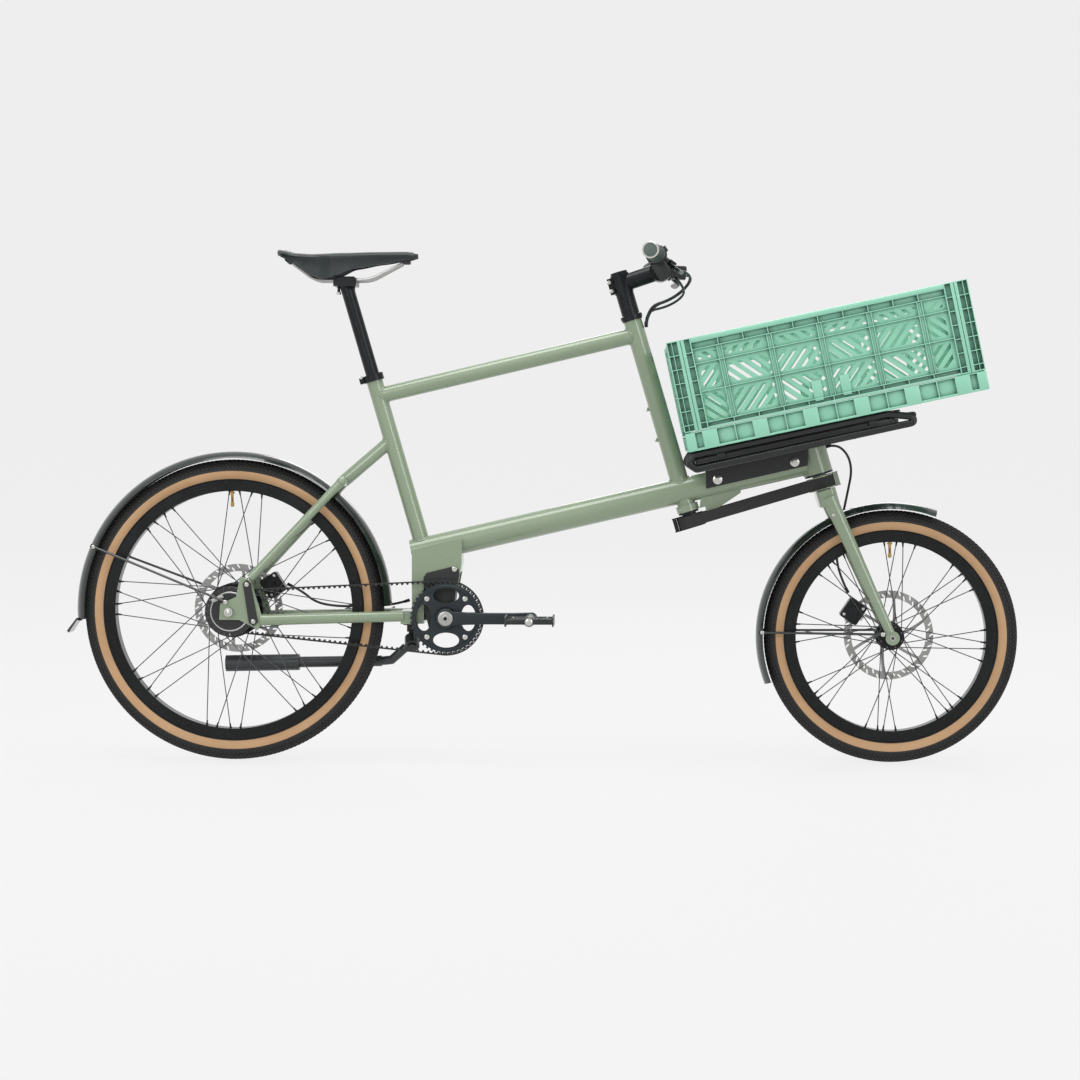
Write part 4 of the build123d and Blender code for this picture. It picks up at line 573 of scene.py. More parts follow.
class Finish:
    """A material built effect by effect."""

    def __init__(self, name, colour, rough, metallic=0.0, **values):
        self.material = bpy.data.materials.new(name)
        self.material.use_nodes = True
        self.tree = self.material.node_tree
        self.shader = self.tree.nodes["Principled BSDF"]
        self.colour = colour
        self.shader.inputs["Base Color"].default_value = colour
        self.shader.inputs["Roughness"].default_value = rough
        self.shader.inputs["Metallic"].default_value = metallic
        for label, value in values.items():
            self.shader.inputs[label.replace("_", " ")].default_value = value
        self.where = self.tree.nodes.new("ShaderNodeTexCoord").outputs["Object"]
        self.last_colour = None

    def group(self, which, **values):
        """Places a shared effect and sets its values."""
        node = self.tree.nodes.new("ShaderNodeGroup")
        node.node_tree = which
        self.tree.links.new(self.where, node.inputs["Vector"])
        for label, value in values.items():
            node.inputs[label].default_value = value
        return node

    def mix_colour(self, mask, colour, strength=1.0):
        """Lays a colour over the base where the mask is bright."""
        node = self.tree.nodes.new("ShaderNodeMix")
        node.data_type = "RGBA"
        if strength < 1:
            mask = add_range(self.tree, mask, 0.0, 1.0, 0.0, strength)
        self.tree.links.new(mask, node.inputs["Factor"])
        if self.last_colour is None:
            node.inputs["A"].default_value = self.colour
        else:
            self.tree.links.new(self.last_colour, node.inputs["A"])
        node.inputs["B"].default_value = colour
        self.last_colour = node.outputs["Result"]
        self.tree.links.new(self.last_colour, self.shader.inputs["Base Color"])
        return self

    def grain(self, scale, strength, depth=0.0002):
        """A fine bump."""
        node = self.group(GRAIN, Scale=scale, Strength=strength, Depth=depth)
        self.set_normal(node.outputs["Normal"])
        return self

    def set_normal(self, socket):
        """Feeds a normal to the shader."""
        self.tree.links.new(socket, self.shader.inputs["Normal"])

    def handled(self, low, high, scale=6.0, tint=None, tint_strength=0.5, dust=None):
        """Uneven gloss, with an optional tint in patches and specks of dust."""
        node = self.group(HANDLING, Scale=scale, Low=low, High=high)
        self.tree.links.new(node.outputs["Roughness"], self.shader.inputs["Roughness"])
        if tint:
            self.mix_colour(node.outputs["Patches"], tint, tint_strength)
        if dust:
            self.mix_colour(node.outputs["Specks"], dust, 0.25)
        return self

    def shaded(self, colour, reach, strength):
        """Painted shade: a darker colour deep in recesses."""
        node = self.group(RECESS, Reach=reach)
        return self.mix_colour(node.outputs["Mask"], colour, strength)

    def worn_and_highlit_edges(self, colour, radius=0.001, amount=0.5):
        """Paler edges: wear, and on some finishes a painted highlight."""
        node = self.group(EDGE_WEAR_AND_HIGHLIGHT, Radius=radius, Amount=amount)
        return self.mix_colour(node.outputs["Mask"], colour)


# %% Paint, metal and plastic
def gloss_paint(name, colour, shade, rough=0.3):
    """Coloured paint under a clear coat, with the faint ripple of a sprayed surface."""
    finish = Finish(name, colour, rough, Coat_Weight=0.8, Coat_Roughness=0.06)
    finish.handled(rough - 0.08, rough + 0.08, 4.0, shade, 0.5, rgb(190, 190, 180))
    return finish.grain(260.0, 0.12, 0.0004).material


def satin_black(name, colour, low, high, edge_wear_and_highlight_colour, grain=900.0, metallic=0.0, strength=0.15):
    """Black metal or casting, satin, with paler edges: wear, and on some finishes a painted highlight."""
    finish = Finish(name, colour, low, metallic, Specular_IOR_Level=0.5)
    finish.handled(low, high, 9.0, rgb(40, 42, 44), 0.35, rgb(120, 120, 118))
    finish.worn_and_highlit_edges(edge_wear_and_highlight_colour, 0.0008, 0.55)
    return finish.grain(grain, strength).material


def bare_metal(name, colour, low, high, scratch=180.0):
    """Brushed or turned metal with fine scratches."""
    finish = Finish(name, colour, low, 1.0)
    finish.handled(low, high, 22.0, tuple(part * 0.7 for part in colour[:3]) + (1,), 0.5)
    return finish.grain(scratch, 0.2, 0.0001).material


def moulded(name, colour, shade, low, high, grain=700.0, strength=0.2, dust=None, **values):
    """Moulded plastic or rubber with a fine matt texture."""
    finish = Finish(name, colour, low, 0.0, **values)
    finish.handled(low, high, 7.0, shade, 0.6, dust)
    return finish.grain(grain, strength).material


SAGE = rgb(127, 143, 117)
PAINT = gloss_paint("sage_gloss_paint", SAGE, rgb(116, 131, 106))
CASTING = satin_black(
    "black_casting", rgb(20, 21, 22), 0.42, 0.6, rgb(96, 98, 98), 700.0, 0.0, 0.35
)
ANODISED = satin_black(
    "black_anodised", rgb(17, 18, 20), 0.24, 0.38, rgb(120, 122, 124), 1200.0, 0.55, 0.08
)
RIM_BLACK = satin_black(
    "rim_anodising", rgb(14, 15, 16), 0.2, 0.32, rgb(90, 92, 94), 1500.0, 0.6, 0.06
)
RACK_BLACK = satin_black(
    "rack_powder_coat", rgb(12, 13, 14), 0.2, 0.34, rgb(88, 92, 96), 500.0, 0.1, 0.12
)
STEEL = bare_metal("brushed_steel", rgb(178, 178, 176), 0.22, 0.42)
SILVER_BOLT = bare_metal("zinc_bolt", rgb(205, 205, 200), 0.16, 0.3, 400.0)
SPOKE = bare_metal("dark_spoke_steel", rgb(92, 93, 96), 0.28, 0.45, 600.0)
BRASS = bare_metal("brass", rgb(196, 160, 98), 0.24, 0.4, 500.0)
ROTOR_STEEL = bare_metal("rotor_steel", rgb(158, 158, 156), 0.25, 0.42, 300.0)
# the pedal's pale silver edges are partly wear and partly a painted highlight
PEDAL_METAL = satin_black(
    "pedal_metal", rgb(44, 45, 46), 0.3, 0.5, rgb(190, 190, 188), 500.0, 0.5, 0.3
)
PLASTIC = moulded("black_plastic", rgb(16, 17, 18), rgb(28, 29, 30), 0.38, 0.55, 900.0, 0.2)
FENDER_GREEN = moulded(
    "fender_gloss", rgb(20, 29, 26), rgb(32, 42, 38), 0.16, 0.26, 300.0, 0.05, rgb(120, 130, 124),
    Coat_Weight=0.6
)


def make_mint():
    """Tough, slightly waxy crate plastic, with painted shade deep in its pockets and pale edges that are partly
    wear, partly a painted highlight.
    """
    finish = Finish(
        "mint_polypropylene", rgb(138, 196, 171), 0.4, Subsurface_Weight=0.05,
        Subsurface_Scale=0.004,
    )
    finish.handled(0.34, 0.48, 7.0, rgb(127, 187, 161), 0.6, rgb(205, 226, 214))
    # pale edges: partly wear, partly a painted highlight like the one on the lit rims
    finish.worn_and_highlit_edges(rgb(176, 222, 201), 0.0009, 0.5)
    # painted shade: a dark mint deep in the pockets and corners
    finish.shaded(rgb(44, 96, 78), 0.014, 0.85)
    return finish.grain(620.0, 0.14).material


MINT = make_mint()
BELT_BLACK = moulded(
    "belt_rubber", rgb(14, 14, 15), rgb(26, 26, 26), 0.5, 0.68, 500.0, 0.25, rgb(110, 108, 104)
)
SHEATH = moulded("cable_sheath", rgb(18, 18, 19), rgb(30, 30, 31), 0.3, 0.42, 600.0, 0.05)
TREAD = moulded(
    "tread_rubber", rgb(22, 22, 22), rgb(36, 35, 34), 0.62, 0.8, 420.0, 0.35, rgb(120, 116, 108)
)
TAN = moulded(
    "tan_sidewall", rgb(182, 146, 108), rgb(160, 123, 86), 0.5, 0.66, 520.0, 0.25,
    rgb(206, 176, 140),
)
BUTYL = moulded("butyl", rgb(30, 30, 31), rgb(44, 44, 44), 0.5, 0.65, 300.0, 0.1)
GRIP_RUBBER = moulded(
    "grip_rubber", rgb(48, 58, 55), rgb(62, 71, 67), 0.5, 0.68, 800.0, 0.3, rgb(128, 134, 130)
)
STAND_GREY = satin_black(
    "stand_grey", rgb(52, 56, 57), 0.32, 0.48, rgb(120, 124, 124), 600.0, 0.2, 0.15
)
LEATHER_PLAIN = moulded(
    "leather", rgb(38, 48, 48), rgb(54, 64, 63), 0.34, 0.5, 240.0, 0.4, rgb(110, 118, 116)
)
print("finishes", len(bpy.data.materials))

# %% [markdown]
# ## Dressing the skeleton
#
# A part of the skeleton whose shape is already right keeps it and only gets a finish. The record
# names a slot for each part, so one table maps slots to finishes.

# %% A finish for each slot
SLOT_FINISH = {
    "frame_green": PAINT, "black_casting": CASTING, "black_anodised": ANODISED, "steel": STEEL,
    "spoke_steel": SPOKE, "black_plastic": PLASTIC, "fender_green": FENDER_GREEN,
    "rack_black": RACK_BLACK,
    "crate_mint": MINT, "belt_rubber": BELT_BLACK, "cable_sheath": SHEATH, "tyre": TREAD,
    "butyl": BUTYL,
    "rim_black": RIM_BLACK, "pedal_metal": PEDAL_METAL, "grip_rubber": GRIP_RUBBER,
    "leather": LEATHER_PLAIN,
    "stand_grey": STAND_GREY,
}


def dress_skeleton():
    """Gives every part of the skeleton the finish of its slot."""
    for part in frame["record"]["subparts"]:
        node = nodes[part["node"]]
        finish = SLOT_FINISH[part["material_slot"]]
        if part["node"].endswith("rotor"):
            finish = ROTOR_STEEL
        if not node.material_slots:
            node.data.materials.append(finish)
        for slot in node.material_slots:
            slot.material = finish


dress_skeleton()

# %% [markdown]
# ## Tyres
#
# A tyre is one horseshoe section spun about the axle: tan sidewalls, and a black cap across the
# top. On the cap stand nine rows of small rubber blocks. Each row starts from one block, turned a
# little on its foot, and a spin copies it round the wheel. Every second row is half a block on,
# which gives the herringbone look of a city tyre.

# %% Carcass
TYRE_MID = 25 * MM           # from the tread's top to the middle of the section
CAP_R = 23.2 * MM            # radius of the section under the tread
SIDEWALL_R = 22.4 * MM
CASING = 3 * MM
CAP_HALF = 80                # degrees of the section that the cap covers, each side


def carcass_profile(wheel_r):
    """The horseshoe section as (radius, width) points, outside first and then back inside."""
    mid = wheel_r - TYRE_MID
    outer = [
        (mid - 18.6 * MM, -12.8 * MM), (mid - 17 * MM, -13.1 * MM), (mid - 14 * MM, -16.6 * MM)
    ]
    for turn in range(-115, 116, 5):
        reach = CAP_R if abs(turn) <= CAP_HALF else SIDEWALL_R
        outer.append((mid + reach * cos(radians(turn)), reach * sin(radians(turn))))
    outer += [(r, -y) for r, y in outer[2::-1]]
    reach = SIDEWALL_R - CASING
    inner = [(mid - 18.6 * MM, 9.8 * MM), (mid - 15.5 * MM, 10.4 * MM)]
    for turn in range(110, -111, -10):
        inner.append((mid + reach * cos(radians(turn)), reach * sin(radians(turn))))
    return outer + inner + [(mid - 15.5 * MM, -10.4 * MM), (mid - 18.6 * MM, -9.8 * MM)]


def is_sidewall(face, centre, wheel_r):
    """True for the outside of the tan part."""
    middle = face.calc_center_median() - centre
    radius = sqrt(middle.x ** 2 + middle.z ** 2)
    across = middle.y
    from_mid = sqrt((radius - wheel_r + TYRE_MID) ** 2 + across ** 2)
    turn = degrees(atan2(abs(across), radius - wheel_r + TYRE_MID))
    return turn > CAP_HALF + 3 and from_mid > SIDEWALL_R - CASING / 2 and turn < 128


# %% Tread blocks
BLOCK_SIZE = (6.4 * MM, 4.7 * MM)
BLOCK_PITCH = 9 * MM
BLOCK_ROWS = (-66, -50, -34, -17, 0, 17, 34, 50, 66)    # degrees round the section


def add_block(bm, centre, wheel_r, turn, start, twist):
    """One tread block on the section at an angle, at the given angle round the wheel."""
    out = Vector((cos(start), 0, sin(start))) * cos(turn) + SIDE * sin(turn)
    along = Vector((-sin(start), 0, cos(start)))
    mid = centre + Vector((cos(start), 0, sin(start))) * (wheel_r - TYRE_MID)
    foot = CAP_R - 0.4 * MM
    height = TYRE_MID - foot - 0.05 * MM
    place = frame_of(mid + out * (foot + height / 2), along, out) @ Matrix.Rotation(twist, 4, "Z")
    place = place @ Matrix.Diagonal(
        (BLOCK_SIZE[0], BLOCK_SIZE[1], 1, 1)
    ) @ Matrix.Rotation(pi / 4, 4, "Z")
    made = bmesh.ops.create_cone(
        bm, cap_ends=True, segments=4, radius1=0.72, radius2=0.56, depth=height, matrix=place
    )
    faces = new_faces(made["verts"])
    foot_face = min(faces, key=lambda face: (face.calc_center_median() - mid).dot(out))
    bmesh.ops.delete(bm, geom=[foot_face], context="FACES_ONLY")
    return [face for face in faces if face.is_valid]


def add_block_row(bm, centre, wheel_r, index, degrees_across):
    """A row of blocks all round the wheel."""
    count = round(tau * wheel_r / BLOCK_PITCH)
    turn = radians(degrees_across)
    start = pi / count * (index % 2)
    twist = radians(24 if index % 2 else -24)
    faces = add_block(bm, centre, wheel_r, turn, start, twist)
    edges = list({edge for face in faces for edge in face.edges})
    verts = list({vert for face in faces for vert in face.verts})
    bmesh.ops.spin(
        bm, geom=verts + edges + faces, cent=centre, axis=SIDE, angle=tau * (count - 1) / count,
        steps=count - 1, use_duplicate=True,
    )


def make_tyre(end, centre, wheel_r):
    """A whole tyre for the wheel at one end of the bicycle."""
    bm = bmesh.new()
    add_turned(bm, carcass_profile(wheel_r), axle_frame(centre), steps=144)
    bmesh.ops.remove_doubles(bm, verts=bm.verts, dist=1e-6)
    paint_faces([face for face in bm.faces if is_sidewall(face, centre, wheel_r)], 1)
    for index, degrees_across in enumerate(BLOCK_ROWS):
        add_block_row(bm, centre, wheel_r, index, degrees_across)
    tyre = finish_piece(end + "_tread", bm, end + "_wheel", [TREAD, TAN], sharp=38)
    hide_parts(end + "_tyre")
    return tyre


rear_tread = make_tyre("rear", REAR_AXLE, REAR_R)
front_tread = make_tyre("front", FRONT_AXLE, FRONT_R)
print("tread faces", len(rear_tread.data.polygons), len(front_tread.data.polygons))

# %% [markdown]
# ## Inner tubes, valves and nipples
#
# The inner tube is hidden, but its brass valve stands inside the rim at the top of the wheel.
# A spoke ends in a small nipple at the rim. Its place and lean follow the spoke's own lacing:
# sixteen spokes a side, every second one leaning the other way.

# %% Inner tube and valve
RIM_TOP_DOWN = 42.5 * MM     # from the tyre's outside to the rim's outer edge
RIM_DEPTH = 21 * MM
VALVE_R = 3 * MM
TUBE_R = 19 * MM


def make_inner_tube(end, centre, wheel_r, valve_degrees):
    """A torus of butyl with a brass valve that reaches through the rim."""
    bm = bmesh.new()
    mid = wheel_r - TYRE_MID
    ring = [(mid + TUBE_R * cos(tau * k / 16), TUBE_R * sin(tau * k / 16)) for k in range(16)]
    add_turned(bm, ring, axle_frame(centre), steps=96)
    bmesh.ops.remove_doubles(bm, verts=bm.verts, dist=1e-6)
    turn = radians(valve_degrees)
    out = Vector((cos(turn), 0, sin(turn)))
    tip = wheel_r - RIM_TOP_DOWN - RIM_DEPTH - 24 * MM
    place = frame_of(centre, SIDE, out)
    stem = [
        (0.0005 * MM, mid - TUBE_R + 1 * MM), (VALVE_R, mid - TUBE_R + 1 * MM),
        (VALVE_R, tip + 12 * MM),
    ]
    for ridge in range(8):
        low = tip + (11 - ridge * 1.3) * MM
        stem += [(VALVE_R - 0.5 * MM, low), (VALVE_R - 0.1 * MM, low - 0.65 * MM)]
    cap = [
        (VALVE_R - 0.4 * MM, tip), (VALVE_R + 0.9 * MM, tip - 0.4 * MM),
        (VALVE_R + 0.7 * MM, tip - 6 * MM),
    ]
    cap += [(VALVE_R - 0.6 * MM, tip - 8 * MM), (0.0005 * MM, tip - 8 * MM)]
    before = set(bm.faces)
    add_turned(bm, stem + cap, place, steps=20, closed=False)
    bmesh.ops.remove_doubles(bm, verts=bm.verts, dist=2e-6)
    paint_faces(since(bm, before), 1)
    nut_at = centre + out * (wheel_r - RIM_TOP_DOWN - RIM_DEPTH - 2 * MM)
    nut = add_rod(bm, nut_at, nut_at - out * 3.2 * MM, 5 * MM, 6)
    paint_faces(nut, 1)
    tube = finish_piece(end + "_tube_and_valve", bm, end + "_wheel", [BUTYL, BRASS])
    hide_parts(end + "_inner_tube")
    return tube


make_inner_tube("rear", REAR_AXLE, REAR_R, 91)
make_inner_tube("front", FRONT_AXLE, FRONT_R, 90.5)


# %% Spoke nipples
SPOKES_PER_SIDE = 16
SPOKE_LEAN = 68
NIPPLE_R = 2.1 * MM


def spoke_ends(centre, wheel_r, flange_r, flange_y, side, index):
    """The hub end and the rim end of one spoke."""
    rim_inner = wheel_r - RIM_TOP_DOWN - RIM_DEPTH
    hand = 1 if index % 2 else -1
    low = radians((index + (0.5 if side > 0 else 0)) * 360 / SPOKES_PER_SIDE)
    high = low + hand * radians(SPOKE_LEAN) * (1 - flange_r / rim_inner)
    start = Vector((flange_r * cos(low), side * (flange_y + hand * 1.2 * MM), flange_r * sin(low)))
    end = Vector((rim_inner * cos(high), side * 4 * MM, rim_inner * sin(high)))
    return centre + start, centre + end


def make_nipples(end, centre, wheel_r, flange_r, flange_y):
    """Black nipples at the rim and round spoke heads on the hub's flanges."""
    bm = bmesh.new()
    for side in (-1, 1):
        for index in range(SPOKES_PER_SIDE):
            start, stop = spoke_ends(centre, wheel_r, flange_r, flange_y, side, index)
            along = (start - stop).normalized()
            add_rod(bm, stop - along * 1 * MM, stop + along * 9 * MM, NIPPLE_R, 10, NIPPLE_R * 0.72)
            add_rod(
                bm, stop - along * 1 * MM, stop + along * 1.4 * MM, NIPPLE_R * 1.6, 10,
                NIPPLE_R * 1.2,
            )
            outside = 1 if start.y * side > (centre.y + side * flange_y) * side else -1
            face_y = side * (flange_y + outside * 2 * MM)
            seat = Vector((start.x, face_y, start.z))
            head = add_rod(bm, seat - SIDE * 1 * MM, seat + SIDE * 1 * MM, 2 * MM, 10)
            paint_faces(head, 1)
    return finish_piece(end + "_nipples", bm, end + "_wheel", [ANODISED, SPOKE])


make_nipples("rear", REAR_AXLE, REAR_R, 50 * MM, 28 * MM)
make_nipples("front", FRONT_AXLE, FRONT_R, 22 * MM, 24 * MM)
print("valves and nipples added")

# %% [markdown]
# ## Belts
#
# Both belts run as a loop round two wheels: an arc, a straight, an arc and a straight. We walk
# along that loop by its length, so the teeth come out evenly spaced, and give each tooth its own
# place square to the belt. The drive belt's teeth point inwards and sit in the sprockets' gaps.

# %% A loop round two pulleys
def loop_point(travel, centre_a, centre_b, radius_a, radius_b):
    """The point and the outward direction after a distance along the loop, seen in the X-Z plane."""
    line = centre_b - centre_a
    span = line.length
    heading = atan2(line.z, line.x)
    lean = asin((radius_a - radius_b) / span)
    straight = sqrt(span ** 2 - (radius_a - radius_b) ** 2)
    arc_b, arc_a = radius_b * (pi - 2 * lean), radius_a * (pi + 2 * lean)
    upper, lower = heading + pi / 2 - lean, heading - pi / 2 + lean
    travel %= 2 * straight + arc_a + arc_b
    if travel < straight:
        out = Vector((cos(upper), 0, sin(upper)))
        start, end = centre_a + out * radius_a, centre_b + out * radius_b
        return start.lerp(end, travel / straight), out
    travel -= straight
    if travel < arc_b:
        turn = upper - travel / radius_b
        out = Vector((cos(turn), 0, sin(turn)))
        return centre_b + out * radius_b, out
    travel -= arc_b
    if travel < straight:
        out = Vector((cos(lower), 0, sin(lower)))
        start, end = centre_b + out * radius_b, centre_a + out * radius_a
        return start.lerp(end, travel / straight), out
    turn = lower - (travel - straight) / radius_a
    out = Vector((cos(turn), 0, sin(turn)))
    return centre_a + out * radius_a, out


def loop_length(centre_a, centre_b, radius_a, radius_b):
    """The length of the whole loop."""
    span = (centre_b - centre_a).length
    lean = asin((radius_a - radius_b) / span)
    straight = sqrt(span ** 2 - (radius_a - radius_b) ** 2)
    return 2 * straight + radius_a * (pi + 2 * lean) + radius_b * (pi - 2 * lean)


def add_belt(bm, loop, count, phase, half_width, section):
    """Sweeps a toothed band round the loop.

    section is a list of (share of a pitch, inner height, outer height) steps, and the heights are
    measured outwards from the pitch line.
    """
    length = loop_length(*loop)
    pitch = length / count
    rings = []
    for index in range(count):
        for share, inner, outer in section:
            point, out = loop_point((index + share) * pitch + phase, *loop)
            corners = (
                (inner, -half_width), (inner, half_width), (outer, half_width), (outer, -half_width)
            )
            rings.append([bm.verts.new(point + out * height + SIDE * y) for height, y in corners])
    for ring, following in zip(rings, rings[1:] + rings[:1]):
        for corner in range(4):
            after = (corner + 1) % 4
            bm.faces.new((ring[corner], ring[after], following[after], following[corner]))


# %% Drive belt
BELT_PITCH = 10.5 * MM
FRONT_TEETH = 44
REAR_TEETH = 24
BELT_Y = Vector(mm(0, -48, 0))
LAND, TIP, BACK = -0.5 * MM, -4 * MM, 2 * MM
DRIVE_TOOTH = [
    (0.00, LAND, BACK), (0.23, LAND, BACK), (0.29, LAND - 0.9 * MM, BACK),
    (0.35, TIP + 0.7 * MM, BACK),
    (0.43, TIP, BACK), (0.57, TIP, BACK), (0.65, TIP + 0.7 * MM, BACK),
    (0.71, LAND - 0.9 * MM, BACK),
    (0.77, LAND, BACK),
]


def make_drive_belt():
    """The toothed belt from the crank's sprocket to the hub's."""
    bm = bmesh.new()
    front_r, rear_r = FRONT_TEETH * BELT_PITCH / tau, REAR_TEETH * BELT_PITCH / tau
    loop = (BB + BELT_Y, REAR_AXLE + BELT_Y, front_r, rear_r)
    count = round(loop_length(*loop) / BELT_PITCH)
    pitch = loop_length(*loop) / count
    lean = asin((front_r - rear_r) / (BB - REAR_AXLE).length)
    first = atan2(REAR_AXLE.z - BB.z, REAR_AXLE.x - BB.x) + pi / 2 - lean
    gap = tau / FRONT_TEETH
    phase = (first - gap * (round(first / gap - 0.5) + 0.5)) * front_r - 0.5 * pitch
    add_belt(bm, loop, count, phase, 5.5 * MM, DRIVE_TOOTH)
    belt = finish_piece("toothed_drive_belt", bm, "frame", [BELT_BLACK])
    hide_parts("drive_belt")
    return count


print("drive belt teeth", make_drive_belt())

# %% Steering belt
STEER_R = 25 * MM
STEER_THICK = 2.5 * MM
STEER_SECTION = [(0.0, 0.9 * MM, STEER_THICK), (0.3, 0.9 * MM, STEER_THICK), (0.4, 0.05 * MM, STEER_THICK),
                 (0.8, 0.05 * MM, STEER_THICK), (0.9, 0.9 * MM, STEER_THICK)]
STEER_PITCH = 5 * MM


def make_steering_belt():
    """The wide belt that ties the steering column to the fork.

    It is walked in a plane square to the steering axes, so the loop is first built flat, about
    upright axes, and then tilted into place.
    """
    bm = bmesh.new()
    span = (FORK_AT - COLUMN_AT).length
    loop = (Vector((0, 0, 0)), Vector((span, 0, 0)), STEER_R, STEER_R)
    count = round(loop_length(*loop) / STEER_PITCH)
    add_belt(bm, loop, count, 0, 11 * MM, STEER_SECTION)
    # local X stays ahead, local Y becomes the steering axis, local Z goes across
    turn = Matrix((AHEAD, UP_COLUMN, AHEAD.cross(UP_COLUMN))).transposed().to_4x4()
    bmesh.ops.transform(bm, matrix=Matrix.Translation(COLUMN_AT) @ turn, verts=bm.verts)
    belt = finish_piece("toothed_steering_belt", bm, "frame", [BELT_BLACK])
    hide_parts("steering_belt")
    return count


print(
    "steering belt teeth", make_steering_belt(), "pulley middle", [round(c, 4) for c in COLUMN_AT]
)

# %% [markdown]
# ## The folding crate
#
# The crate is moulded in one colour: thin sheets with diagonal slots, stiffened by ribs. We build
# it the way the mould does. A sheet starts as one quad, is cut along its grid lines, and each grid
# cell gets slots cut at a slant: bisect the cell along parallel lines and delete every second
# strip. The sheet is then given a thickness, and ribs stand on it as slim bevelled bars.
#
# All of it is drawn in the crate's own directions: `u` runs along its length, `v` across and `w`
# up. The hinges of the two end walls give the place and the slope.

# %% The crate's own frame
CRATE_LENGTH, CRATE_WIDTH, CRATE_HEIGHT = 590 * MM, 394 * MM, 216 * MM
CRATE_WALL = 12 * MM
HINGE_IN, HINGE_UP = 11.5 * MM, 26.6 * MM
rear_hinge, front_hinge = joint_at("crate_rear_fold"), joint_at("crate_front_fold")
ALONG_CRATE = (front_hinge - rear_hinge)
ALONG_CRATE.y = 0
ALONG_CRATE.normalize()
CRATE_UP = ALONG_CRATE.cross(SIDE)
hinge_mid = Vector((rear_hinge.x, 0, rear_hinge.z))
CRATE_AT = frame_of(hinge_mid - ALONG_CRATE * HINGE_IN - CRATE_UP * HINGE_UP, ALONG_CRATE, CRATE_UP)
print("crate slope", round(degrees(atan2(ALONG_CRATE.z, ALONG_CRATE.x)), 2))


def wall_frame(name):
    """Local X along the wall, local Z up, local Y into the crate, from the wall's outer lower end."""
    half = CRATE_WIDTH / 2
    if name == "near":
        return CRATE_AT @ Matrix.Translation((0, -half, 0))
    if name == "far":
        return CRATE_AT @ Matrix.Translation((CRATE_LENGTH, half, 0)) @ Matrix.Rotation(pi, 4, "Z")
    if name == "rear":
        return CRATE_AT @ Matrix.Translation((0, half, 0)) @ Matrix.Rotation(-pi / 2, 4, "Z")
    return CRATE_AT @ Matrix.Translation((CRATE_LENGTH, -half, 0)) @ Matrix.Rotation(pi / 2, 4, "Z")


# %% Slotted sheets
SHEET_DEPTH = 7.5 * MM       # from the outer face to the sheet
SHEET_THICK = 2.5 * MM
SLOT_PITCH = 15.5 * MM
SLOT_WIDE = 7 * MM
SLOT_MARGIN = 7.5 * MM


def add_sheet(bm, place, low, high, depth=SHEET_DEPTH):
    """One upright quad between two (x, z) corners, facing out of the crate."""
    corners = ((low[0], low[1]), (high[0], low[1]), (high[0], high[1]), (low[0], high[1]))
    return bm.faces.new([bm.verts.new(place @ Vector((x, depth, z))) for x, z in corners])


def cut_slots(bm, place, face, slope):
    """Cuts slanting slots through one cell of a sheet. slope is +1 or -1."""
    bmesh.ops.inset_individual(bm, faces=[face], thickness=SLOT_MARGIN, use_even_offset=True)
    turn = place.to_3x3()
    square = turn @ Vector((1, 0, -slope)).normalized()
    middle = face.calc_center_median()
    reach = max(abs((vert.co - middle).dot(square)) for vert in face.verts)
    pieces = [face]
    cuts = []
    steps = int(reach / SLOT_PITCH) + 1
    for step in range(-steps, steps + 1):
        for edge in (-SLOT_WIDE / 2, SLOT_WIDE / 2):
            cuts.append(step * SLOT_PITCH + edge)
    for offset in cuts:
        if abs(offset) >= reach - 1e-5:
            continue
        geom = pieces + list({edge for piece in pieces for edge in piece.edges})
        geom += list({vert for piece in pieces for vert in piece.verts})
        done = bmesh.ops.bisect_plane(
            bm, geom=geom, dist=1e-7, plane_co=middle + square * offset, plane_no=square
        )
        pieces = [item for item in done["geom"] if isinstance(item, bmesh.types.BMFace) and item.is_valid]
    holes = []
    for piece in pieces:
        offset = (piece.calc_center_median() - middle).dot(square)
        from_slot = offset - SLOT_PITCH * round(offset / SLOT_PITCH)
        if abs(from_slot) < SLOT_WIDE / 2:
            holes.append(piece)
    bmesh.ops.delete(bm, geom=holes, context="FACES")


def add_lattice(bm, place, columns, rows, first_slope):
    """A slotted sheet over the grid that the column and row lines make."""
    before = set(bm.faces)
    cells = []
    for column, (left, right) in enumerate(zip(columns, columns[1:])):
        for row, (low, high) in enumerate(zip(rows, rows[1:])):
            face = add_sheet(bm, place, (left, low), (right, high))
            cells.append((face, first_slope * (-1) ** (column + row)))
    for face, slope in cells:
        cut_slots(bm, place, face, slope)
    made = since(bm, before)
    bmesh.ops.remove_doubles(
        bm, verts=list({vert for face in made for vert in face.verts}), dist=1e-6
    )
    made = since(bm, before)
    inward = place.to_3x3() @ Vector((0, 1, 0))
    flip = [face for face in made if face.normal.dot(inward) > 0]
    bmesh.ops.reverse_faces(bm, faces=flip)
    bmesh.ops.solidify(bm, geom=made, thickness=SHEET_THICK)


def add_bar(bm, place, low, high, near, far, bevel=0.5 * MM):
    """A bar of the mould between two (x, z) corners, from one depth to another."""
    size = (high[0] - low[0], far - near, high[1] - low[1])
    centre = ((low[0] + high[0]) / 2, (near + far) / 2, (low[1] + high[1]) / 2)
    rounding = min(bevel, min(size) * 0.3)
    add_box(bm, place @ Matrix.Translation(centre), size, rounding, 2)


# %% [markdown]
# ### Long walls
#
# The measures of the long wall are one list of lines along it and one list of lines up it. Five
# double ribs part the six columns. The corner posts at both ends are honeycombs of small pockets.

